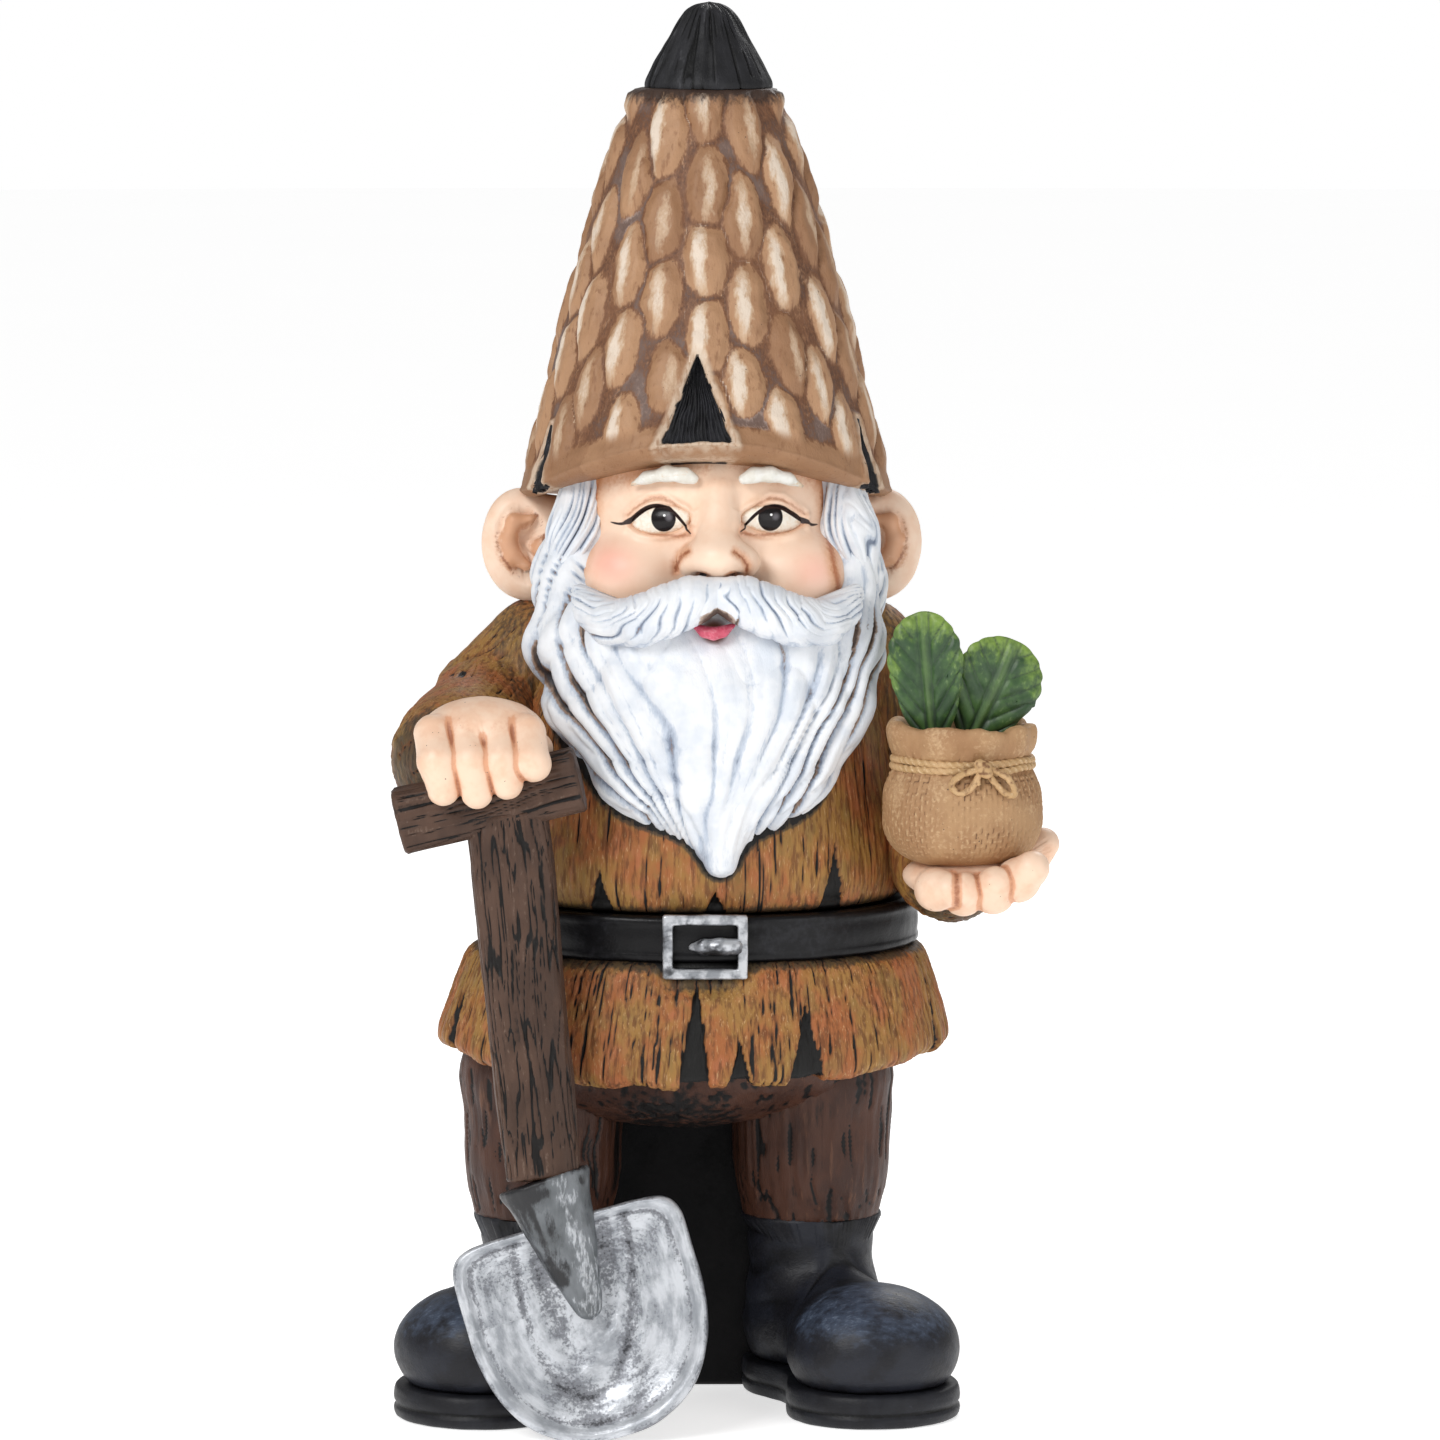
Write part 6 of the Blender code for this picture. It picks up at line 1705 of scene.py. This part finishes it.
def blade_paint():
    """Silver over black; the strokes curve with the dish because they are noise on its own marks."""
    finish = Finish("brushed_blade")
    groove, rim = finish.mark("groove"), finish.mark("rim")
    ring, around = finish.mark("sweep") * 15.0, finish.mark("around") * 3.4
    spot = finish.node("ShaderNodeCombineXYZ", {}, {"X": ring, "Y": around})
    values = {"Vector": spot.outputs[0], "Scale": 1.0, "Detail": 5.0, "Roughness": 0.65}
    strokes = Shade(finish, finish.node("ShaderNodeTexNoise", {}, values).outputs[0])
    patches, fine = finish.noise(12, 4), finish.noise(0.9, 4, (1, 1, 1), 4.0)
    # The rim mark lightens the paint as a painted highlight.
    dark = groove + (strokes - 0.5) * 0.9 + (patches - 0.5) * 0.9 + (fine - 0.5) * 1.1 - rim * 0.5
    colour = finish.mix((206, 209, 214), (156, 160, 166), (patches + strokes).soft(0.8, 1.2))
    colour = finish.mix(colour, (118, 120, 126), dark.soft(0.38, 0.62) * 0.85)
    colour = finish.mix(colour, (46, 46, 50), dark.soft(0.66, 1.0) * 0.9)
    finish.shader.inputs["Metallic"].default_value = 0.35
    return finish.done(colour, strokes * 0.3 + 0.22, strokes + fine * 0.6, 0.4, 0.5)


show("silver_blade", blade, blade_paint(), "spade_steel", "spade_blade")

# %% Socket
run = (socket_head - socket_foot).length
nose = [
    (0, -5), (3.4, -3.6), (5, 0), (7.8, run * 0.25), (10.6, run * 0.55), (12.8, run * 0.82),
    (14.4, run * 0.93), (14.9, run * 0.985), (13.6, run), (0, run)
]
socket = turned(evenly(rounded_line(nose, 2), 0.8), 200)
put_points(socket, points_of(socket) * (1, 0.76, 1))
spots = points_of(socket)
dents = rough(spots, 7, 261)
scores = grain(spots, (0, 0, 1), 1.6, 14, 262)
raise_skin(socket, 0.3 * dents + 0.14 * scores)
put_points(socket, moved(points_of(socket), along(socket_foot, socket_head)))
collar = hump(spots[:, 2], run * 0.9, 2.2)
# Painted highlight in a narrow upright stripe and painted shade down the opposite side of the socket;
# darker at the collar and the top, lighter at the foot.
socket_highlight = hump(spots[:, 0], 4.5, 3.2)
groove = 0.42 - 0.3 * scores + 0.35 * collar + 0.35 * soft(spots[:, 2], run * 0.94, run)
groove += 0.4 * soft(-spots[:, 0], -1, 8) - 0.35 * soft(-spots[:, 2], -14, 0)
mark(socket, "groove", np.clip(groove - 0.55 * socket_highlight + 0.3 * rough(spots, 5, 263), 0, 1))
socket_steel = painted("dark_steel", (86, 90, 93), (112, 116, 120), (26, 26, 29), (200, 203, 208),
                       9, 1.0, (1, 1, 3), (0.45, 0.85), 0.85, (0.28, 0.45), 0.35)
show("steel_socket", socket, socket_steel, "spade_steel", "spade_socket")
# %% [markdown]
# # The sack and the seedlings
# The sack is burlap, tied at the neck. On the casting the weave is real relief: over-and-under threads
# about two millimetres apart. It is turned, its mouth is gathered into soft folds, and the weave is a
# chequer of raised threads that fades where the clay was smoothed by a thumb.

# %% Sack
SACK_HALF, SACK_HEIGHT, NECK_HALF, NECK_AT, SACK_DEPTH = 25.6, 45.5, 21.2, 33, 0.86
THREAD_WIDTH, THREAD_HEIGHT = 1.9, 1.75
bag = [
    (0, 0), (SACK_HALF * 0.5, 0.0), (SACK_HALF * 0.84, 3.6), (SACK_HALF * 0.985, 10.5),
    (SACK_HALF * 1.0, 17), (SACK_HALF * 0.97, 24), (NECK_HALF + 1.2, 29.5), (NECK_HALF - 0.4, 32),
    (NECK_HALF - 0.4, 34), (NECK_HALF + 1.4, 37), (NECK_HALF + 2.6, 41.5), (NECK_HALF + 2.4, 44.6),
    (NECK_HALF + 0.6, 45.4), (NECK_HALF - 1.6, 44.6), (NECK_HALF - 3, 41.4), (12, 41.0), (0, 41.4)
]
sack = turned(evenly(rounded_line(bag, 2), 0.7), 340)
spots = points_of(sack)
turn = round_from_front(spots)
radius = np.hypot(spots[:, 0], spots[:, 1])
outside = (radius > 8) * soft(radius - np.interp(spots[:, 2], [0, 5, 40, 45], [0, 18, 20, 20]), -1, 2)
upright = np.sin(turn * SACK_HALF * math.pi / THREAD_WIDTH)
level = np.sin(spots[:, 2] * math.pi / THREAD_HEIGHT)
threads = np.abs(np.where(upright * level > 0, level, upright)) ** 0.7
weave_clear = soft(
    cloud(points_from(turn * 3, spots[:, 2] / 9, 0), 301), -0.75, 0.1
) * soft(spots[:, 2], 2, 8)
above_neck = soft(spots[:, 2], 33, 38)
pleats = np.sin(turn * 9 + 2.6 * cloud(points_from(turn * 2.5, 0, 0), 303))
gathers = hump(spots[:, 2], 31.5, 4.0) * np.sin(turn * 26 + 2 * cloud(points_from(turn * 4, 0, 0), 304))
ruffle = above_neck * (0.45 * pleats + 1.3 * rough(spots, 9, 305))
weave = 0.75 * (threads - 0.5) * weave_clear * (1 - 0.75 * above_neck)
raise_skin(sack, outside * (weave + ruffle + 0.45 * gathers + 0.5 * rough(spots, 13, 306)))
placed = points_of(sack)
lip = soft(spots[:, 2], 41, 44.5) * soft(radius, 17, 19)
placed[:, 2] += lip * (0.8 * cloud(points_from(turn * 5, 0, 0), 307) - 0.3)
put_points(sack, placed * (1, SACK_DEPTH, 1) + SACK_FOOT)
washed = 0.85 * (1 - threads) * weave_clear * (1 - above_neck) + 0.15 * above_neck * (1 - pleats)
washed += 0.35 * hump(spots[:, 2], NECK_AT, 1.8) + 0.2 * soft(-spots[:, 2], -6, 0)
inside = soft(41.8 - spots[:, 2], -0.4, 0.4) * (radius < 18.5) * (spots[:, 2] > 36)
mark(sack, "groove", np.clip(outside * washed + 1.2 * inside, 0, 1.3))
burlap = painted("burlap_paint", (174, 136, 96), (158, 118, 80), (96, 64, 40), (204, 172, 132),
                 13, 1.2, (1, 1, 1), (0.42, 0.85), 0.7, (0.5, 0.75), 0.35, 0.9)
show("burlap_sack", sack, burlap, "burlap", "sack")

# %% [markdown]
# The tie is twisted twine. Round the neck it is a turned ring with slanting ridges. The bow is a curve of
# the same thickness, which Blender turns into a tube, with its two loops hanging from a small knot.

# %% Twine
def twine_ring(level, radius, thick, seed):
    around = [
        (radius + thick * math.cos(t), level + thick * math.sin(t)) for t in np.linspace(0, math.tau, 15)
    ]
    mesh = turned(around, 300)
    spots = points_of(mesh)
    turn = round_from_front(spots)
    spin = np.arctan2(spots[:, 2] - level, np.hypot(spots[:, 0], spots[:, 1]) - radius)
    ply = np.abs(np.sin(turn * 26 + spin)) ** 0.7
    raise_skin(mesh, 0.35 * (ply - 0.6))
    placed = points_of(mesh)
    placed[:, 2] += 0.5 * cloud(points_from(turn * 2, 0, 0), seed)
    put_points(mesh, placed * (1, SACK_DEPTH, 1) + SACK_FOOT)
    mark(mesh, "groove", 0.75 * (1 - ply))
    return mesh


twine_paint = painted("twine_paint", (196, 160, 116), (182, 146, 100), (120, 82, 50), (226, 200, 160),
                      9, 0.8, (1, 1, 1), (0.4, 0.8), 0.7, (0.5, 0.7), 0.3)
rings = [
    twine_ring(NECK_AT + lift, NECK_HALF + out, 1.15, seed) for lift, out,
    seed in ((0.9, 0.7, 311), (-1.3, 0.9, 312))
]
twine = joined(rings, "twine")
for ring in rings:
    bpy.data.meshes.remove(ring)
show("twine_tie", twine, twine_paint, "twine", "sack_twine")


def cord(corners, thick, closed):
    """A smooth round tube through some points, by way of a Blender curve."""
    curve = bpy.data.curves.new("cord", "CURVE")
    curve.dimensions = "3D"
    curve.bevel_depth = thick
    curve.bevel_resolution = 5
    curve.use_fill_caps = True
    line = curve.splines.new("NURBS")
    line.points.add(len(corners) - 1)
    for point, corner in zip(line.points, corners):
        point.co = (*corner, 1)
    line.use_cyclic_u, line.use_endpoint_u, line.order_u, line.resolution_u = closed, not closed, 4, 10
    holder = bpy.data.objects.new("cord", curve)
    mesh = bpy.data.meshes.new_from_object(holder)
    bpy.data.objects.remove(holder)
    bpy.data.curves.remove(curve)
    bm = bmesh.new()
    bm.from_mesh(mesh)
    bpy.data.meshes.remove(mesh)
    return mesh_from(bm, "cord")


knot = SACK_FOOT + (6, -(NECK_HALF + 2.2) * SACK_DEPTH, NECK_AT)
left_loop = [
    (-0.5, -0.8, 0), (-4, -1.4, -0.8), (-8, -1.2, -2.2), (-11, -0.9, -5.2), (-8.5, -1.0, -8.2),
    (-4.8, -1.2, -7.6), (-2.4, -1.2, -4.0)
]
right_loop = [
    (0.5, -0.8, 0), (4, -1.3, -0.6), (8.2, -0.9, -3.2), (10.4, -0.3, -7.6), (8.6, -0.5, -9.4),
    (5.0, -1.1, -6.6), (2.0, -1.3, -2.6)
]
parts = [cord([tuple(knot + corner) for corner in loop], 1.05, True) for loop in (left_loop, right_loop)]
loose_end = [(-1, -1, 0), (-2.4, -1.5, -2.4), (-1.6, -1.2, -5.2)]
parts.append(cord([tuple(knot + corner) for corner in loose_end], 0.8, False))
for part in parts:
    raise_skin(part, 0.16 * cloud(points_of(part) / (0.9, 0.9, 0.9), 321))
bead_form = [ball((0, -1.2, 0), (2.4, 2.0, 2.7)), rod((-1.6, -1.6, 1.6), (1.4, -1.8, -1.6), 1.2, 1.2)]
bead = cast(bead_form, (0, -1.2, 0), 0.8, 5)
put_points(bead, points_of(bead) + knot)
bow = joined([*parts, bead], "bow")
mark(bow, "groove", 0.4 - 0.5 * cloud(points_of(bow) / 1.1, 322))
show("twine_bow", bow, twine_paint, "twine", "sack_bow")

# %% [markdown]
# A leaf is a thick round-topped pad: a flattened ball, cupped, creased down its midrib and swollen between
# the side veins, which leave the midrib slanting upwards. The rim is wavy where each vein meets it.

# %% Seedling leaves
def leaf(foot, width, height, lean, turn, fork, seed):
    mesh = fine_ball(6)
    u, side, v = points_of(mesh).T
    v = (v + 1) / 2
    rising = v - 0.36 * np.abs(u) ** 1.1
    vein = np.abs(np.sin(rising * math.pi * fork))
    ripple = 1 + 0.05 * (vein - 0.5) * soft(np.hypot(u, v * 2 - 1), 0.7, 1)
    broad = (0.80 + 0.42 * v - 0.10 * v * v) * ripple
    round_top = np.where(v > 0.5, 1.05, 1)
    x = u * broad * width / 2 * round_top
    z = (v + 0.03 * (np.abs(u) ** 2)) * height
    y = side * 2.5 - (0.35 * u * u - 0.1) * width * 0.22 + 1.6 * (v - 0.5) ** 2
    put_points(mesh, points_from(x, y, z))
    flat = 1 - soft(np.hypot(u, v * 2 - 1), 0.88, 1.0)
    rib = hump(u, 0, 0.075)
    crease = hump(np.abs(u), 0.14, 0.06)
    face = soft(np.abs(side), 0.05, 0.4)
    swollen = (vein**0.6 - 0.5) * soft(np.abs(u), 0.08, 0.3) + 0.5 * rib - 0.55 * crease
    raise_skin(mesh, flat * face * swollen + 0.15 * cloud(points_of(mesh) / 3, seed))
    groove = (
        0.75 * (1 - vein**0.7) * soft(np.abs(u), 0.1, 0.3) + 0.6 * crease + 0.35 * soft(0.35 - v, 0, 0.3)
    )
    mark(mesh, "groove", np.clip(groove, 0, 1))
    mark(mesh, "edge", np.hypot(u, v * 2 - 1) * 0.5 + 0.4 * v)
    mark(mesh, "rib", rib)
    tilt = Matrix.Rotation(lean, 4, "Y") @ Matrix.Rotation(turn, 4, "Z")
    put_points(mesh, moved(points_of(mesh), Matrix.Translation(SACK_FOOT + foot) @ tilt))
    return mesh


def leaf_paint():
    finish = Finish("leaf_paint")
    groove, edge, rib = finish.mark("groove"), finish.mark("edge"), finish.mark("rib")
    patches, strokes = finish.noise(7, 3), finish.noise(1.2, 3, (1, 1, 2), 3.0)
    colour = finish.mix((44, 72, 40), (66, 98, 50), patches.soft(0.4, 0.62))
    rim = edge + (patches - 0.5) * 0.9 + (strokes - 0.5) * 0.4
    colour = finish.mix(colour, (128, 156, 66), rim.soft(0.58, 0.95) * 0.85)
    high = (1 - groove) + (strokes - 0.5) * 1.3 + (patches - 0.5)
    colour = finish.mix(colour, (150, 170, 120), high.soft(1.05, 1.5) * 0.55)
    colour = finish.mix(colour, (34, 54, 36), (groove + (strokes - 0.5) * 0.4).soft(0.35, 0.8) * 0.85)
    colour = finish.mix(colour, (96, 122, 70), rib * 0.5)
    return finish.done(colour, strokes * 0.25 + 0.32, strokes, 0.25, 0.3)


leaf_green = leaf_paint()
soil = SACK_HEIGHT - 7
LEAVES = {
    "left": ((2, 0.5, soil), 27, 36, math.radians(24), math.radians(8), 5.0, 331),
    "right": ((-9.5, -3, soil), 23, 42.5, math.radians(-5), math.radians(-10), 5.5, 332),
}
for name, measures in LEAVES.items():
    show(f"green_leaf_{name}", leaf(*measures), leaf_green, "leaf_green", f"leaf_{name}")

# %% [markdown]
# # Hands
# The hands are chubby, with short round fingers. They are cast like the head. Where two fingers lie side by
# side the skin is about as near to one as to the other, and that is where the brown wash is painted.

# %% Hands
def hand(form, fingers, centre, seed, palm):
    mesh = cast(form, centre, 0.9, 7)
    spots = points_of(mesh)
    gaps = [np.minimum.reduce([gap_to(spots, part) for part in finger]) for finger in fingers]
    near = np.sort(np.array(gaps), axis=0)
    between = hump(near[1], near[0], 1.1) * soft(-near[0], -2.5, -0.3)
    whole = melted(spots, palm, 1)
    knuckle = np.exp(-((whole - near[0]) ** 2) / 3.0) * soft(-near[0], -2.5, -0.3)
    raise_skin(
        mesh,
        -0.75 * between - 0.2 * knuckle + 0.3 * rough(spots, 9, seed) + 0.05 * cloud(
            spots / 1.5, seed + 1
        )
    )
    mark(mesh, "groove", np.clip(0.95 * between + 0.3 * knuckle, 0, 1))
    return mesh, spots


def hand_paint():
    finish = Finish("painted_hand")
    groove, back = finish.mark("groove"), finish.mark("back")
    mottle, fine = finish.noise(8, 3), finish.noise(1.2, 3, (1, 1, 1), 4.0)
    colour = finish.mix((240, 208, 182), (230, 184, 152), mottle.soft(0.4, 0.7) * 0.7)
    colour = finish.mix(colour, (212, 150, 112), (groove + (fine - 0.5) * 0.4).soft(0.2, 0.55) * 0.8)
    colour = finish.mix(colour, (150, 88, 56), (groove + (fine - 0.5) * 0.4).soft(0.6, 0.95) * 0.85)
    # Painted shade: the side of the hand towards the body is painted dark brown.
    colour = finish.mix(colour, (60, 46, 38), (back + (fine - 0.5) * 0.5).soft(0.5, 0.9))
    dots = finish.noise(1.4, 1, (1, 1, 1), 17.0)
    colour = finish.mix(colour, (70, 48, 38), dots.soft(0.775, 0.79) * 0.8)
    return finish.done(colour, mottle * 0.15 + 0.38, fine, 0.12, 0.3)


def by(place, *offset):
    return tuple(place + np.array(offset, float))


hand_skin = hand_paint()
fist_palm = [
    ball(by(GRIP, -2, 1, 20.4), (20, 15, 12.4)),
    rod(by(GRIP, -4, 6, 14.4), by(GRIP, -8, 22, 10.4), 13, 14)
]
thumb = [rod(by(GRIP, 15, 8, 15.4), by(GRIP, 13, 15.4, -6), 5, 4.5)]
fist_fingers = []
for start, end, lift in ((-17.5, -14, 1), (-7.5, -3.5, 0), (2.5, 6, 3), (12, 14.5, 9)):
    joint = by(GRIP, (start + end) / 2, -14.2, 14)
    upper = rod(by(GRIP, start, -7, 22.0), joint, 6.1, 5.9)
    fist_fingers.append([upper, rod(joint, by(GRIP, end, -14.4, 4 + lift), 5.9, 5.0)])
fist_form = fist_palm + thumb + [part for finger in fist_fingers for part in finger]
fist, spots = hand(fist_form, fist_fingers, by(GRIP, -2, -3, 12), 341, fist_palm)
# Painted shade on the fist's side towards the body.
mark(fist, "back", soft(spots[:, 1] - GRIP[1], 12, 26) * 0.9)
show("painted_fist", fist, hand_skin, "painted_skin", "hand_right")

open_palm = [
    ball(by(SACK_FOOT, 4, 3, -4), (23, 19, 8)),
    rod(by(SACK_FOOT, 2, 14, -5), by(SACK_FOOT, 0, 26, -7), 12, 13)
]
open_thumb = [rod(by(SACK_FOOT, 20, 8, -2), by(SACK_FOOT, 26, 4, 6), 6.5, 5)]
open_fingers = []
for x, z, tip_x, tip_z in ((-9, -6, -4, -5.5), (0, -7.5, 0, -5.5), (9, -7, 10, -3.5), (17, -3, 22, 1.5)):
    joint = by(SACK_FOOT, x, -17, z)
    lower = rod(by(SACK_FOOT, x + 1, -6, z), joint, 6.5, 6.4)
    open_fingers.append([lower, rod(joint, by(SACK_FOOT, tip_x - 0.5, -21, tip_z), 6.2, 5.4)])
open_form = open_palm + open_thumb + [part for finger in open_fingers for part in finger]
open_hand, spots = hand(open_form, open_fingers, by(SACK_FOOT, 6, -3, -6), 351, open_palm)
# Painted shade on the open hand's side towards the body.
mark(open_hand, "back", soft(spots[:, 1] - SACK_FOOT[1], 16, 28) * 0.9)
show("painted_open_hand", open_hand, hand_skin, "painted_skin", "hand_left")
# %% [markdown]
# # Floor, light and camera
# The gnome stands on a plain pale floor in a pale room. One large soft light from the upper left in front
# models the relief, a wider and weaker one fills from the right, and a strip behind lifts the hat's edge.

# %% Floor and room
bm = bmesh.new()
bmesh.ops.create_circle(bm, cap_ends=True, radius=9, segments=96)
ground = bpy.data.meshes.new("floor")
bm.to_mesh(ground)
bm.free()
floor = bpy.data.objects.new("floor", ground)
bpy.context.scene.collection.objects.link(floor)
plaster = Finish("pale_floor")
plaster_tone = plaster.noise(400, 2)
plaster.shader.inputs["Emission Color"].default_value = (1, 1, 1, 1)
plaster.shader.inputs["Emission Strength"].default_value = 0.64
floor.data.materials.append(plaster.done(plaster.mix((243, 243, 243), (240, 240, 240), plaster_tone), 0.8))

world = bpy.data.worlds.new("pale_room")
world.use_nodes = True
room = world.node_tree
seen, lit = room.nodes["Background"], room.nodes.new("ShaderNodeBackground")
seen.inputs["Strength"].default_value = 1.0
seen.inputs["Color"].default_value = lit.inputs["Color"].default_value = (1, 1, 1, 1)
lit.inputs["Strength"].default_value = 0.38
choice = room.nodes.new("ShaderNodeMixShader")
room.links.new(room.nodes.new("ShaderNodeLightPath").outputs["Is Camera Ray"], choice.inputs[0])
room.links.new(lit.outputs[0], choice.inputs[1])
room.links.new(seen.outputs[0], choice.inputs[2])
room.links.new(choice.outputs[0], room.nodes["World Output"].inputs["Surface"])
bpy.context.scene.world = world


def soft_light(name, place, aim, size, power):
    lamp = bpy.data.lights.new(name, "AREA")
    lamp.shape = "RECTANGLE"
    lamp.size, lamp.size_y = size
    lamp.energy = power
    obj = bpy.data.objects.new(name, lamp)
    obj.location = place
    obj.rotation_euler = (Vector(aim) - Vector(place)).to_track_quat("-Z", "Y").to_euler()
    bpy.context.scene.collection.objects.link(obj)


soft_light("key", (-1.1, -1.6, 1.5), (0, 0, 0.22), (0.9, 0.9), 27)
soft_light("fill", (1.5, -1.5, 0.7), (0, 0, 0.2), (1.2, 1.2), 8)
soft_light("rim", (0.5, 1.4, 1.3), (0, 0, 0.3), (1.0, 0.4), 10)

# %% [markdown]
# The camera looks at the gnome from in front, from half a metre above the floor and two and a half metres
# away, through a long lens, so that the figure is hardly drawn by perspective.

# %% Camera
CAMERA_PLACE = np.array([0, -2500, 500.0])
AIM = np.array([6.4, 0, 219.5])
lens = bpy.data.cameras.new("camera")
lens.lens = 194.7
lens.sensor_width = 36
camera = bpy.data.objects.new("camera", lens)
camera.location = (CAMERA_PLACE + AXIS) * MM
camera.rotation_euler = Vector(AIM - CAMERA_PLACE).to_track_quat("-Z", "Y").to_euler()
bpy.context.scene.collection.objects.link(camera)
bpy.context.scene.camera = camera
bpy.context.scene.view_settings.view_transform = "Standard"
print("camera at", tuple(round(part, 4) for part in camera.location))
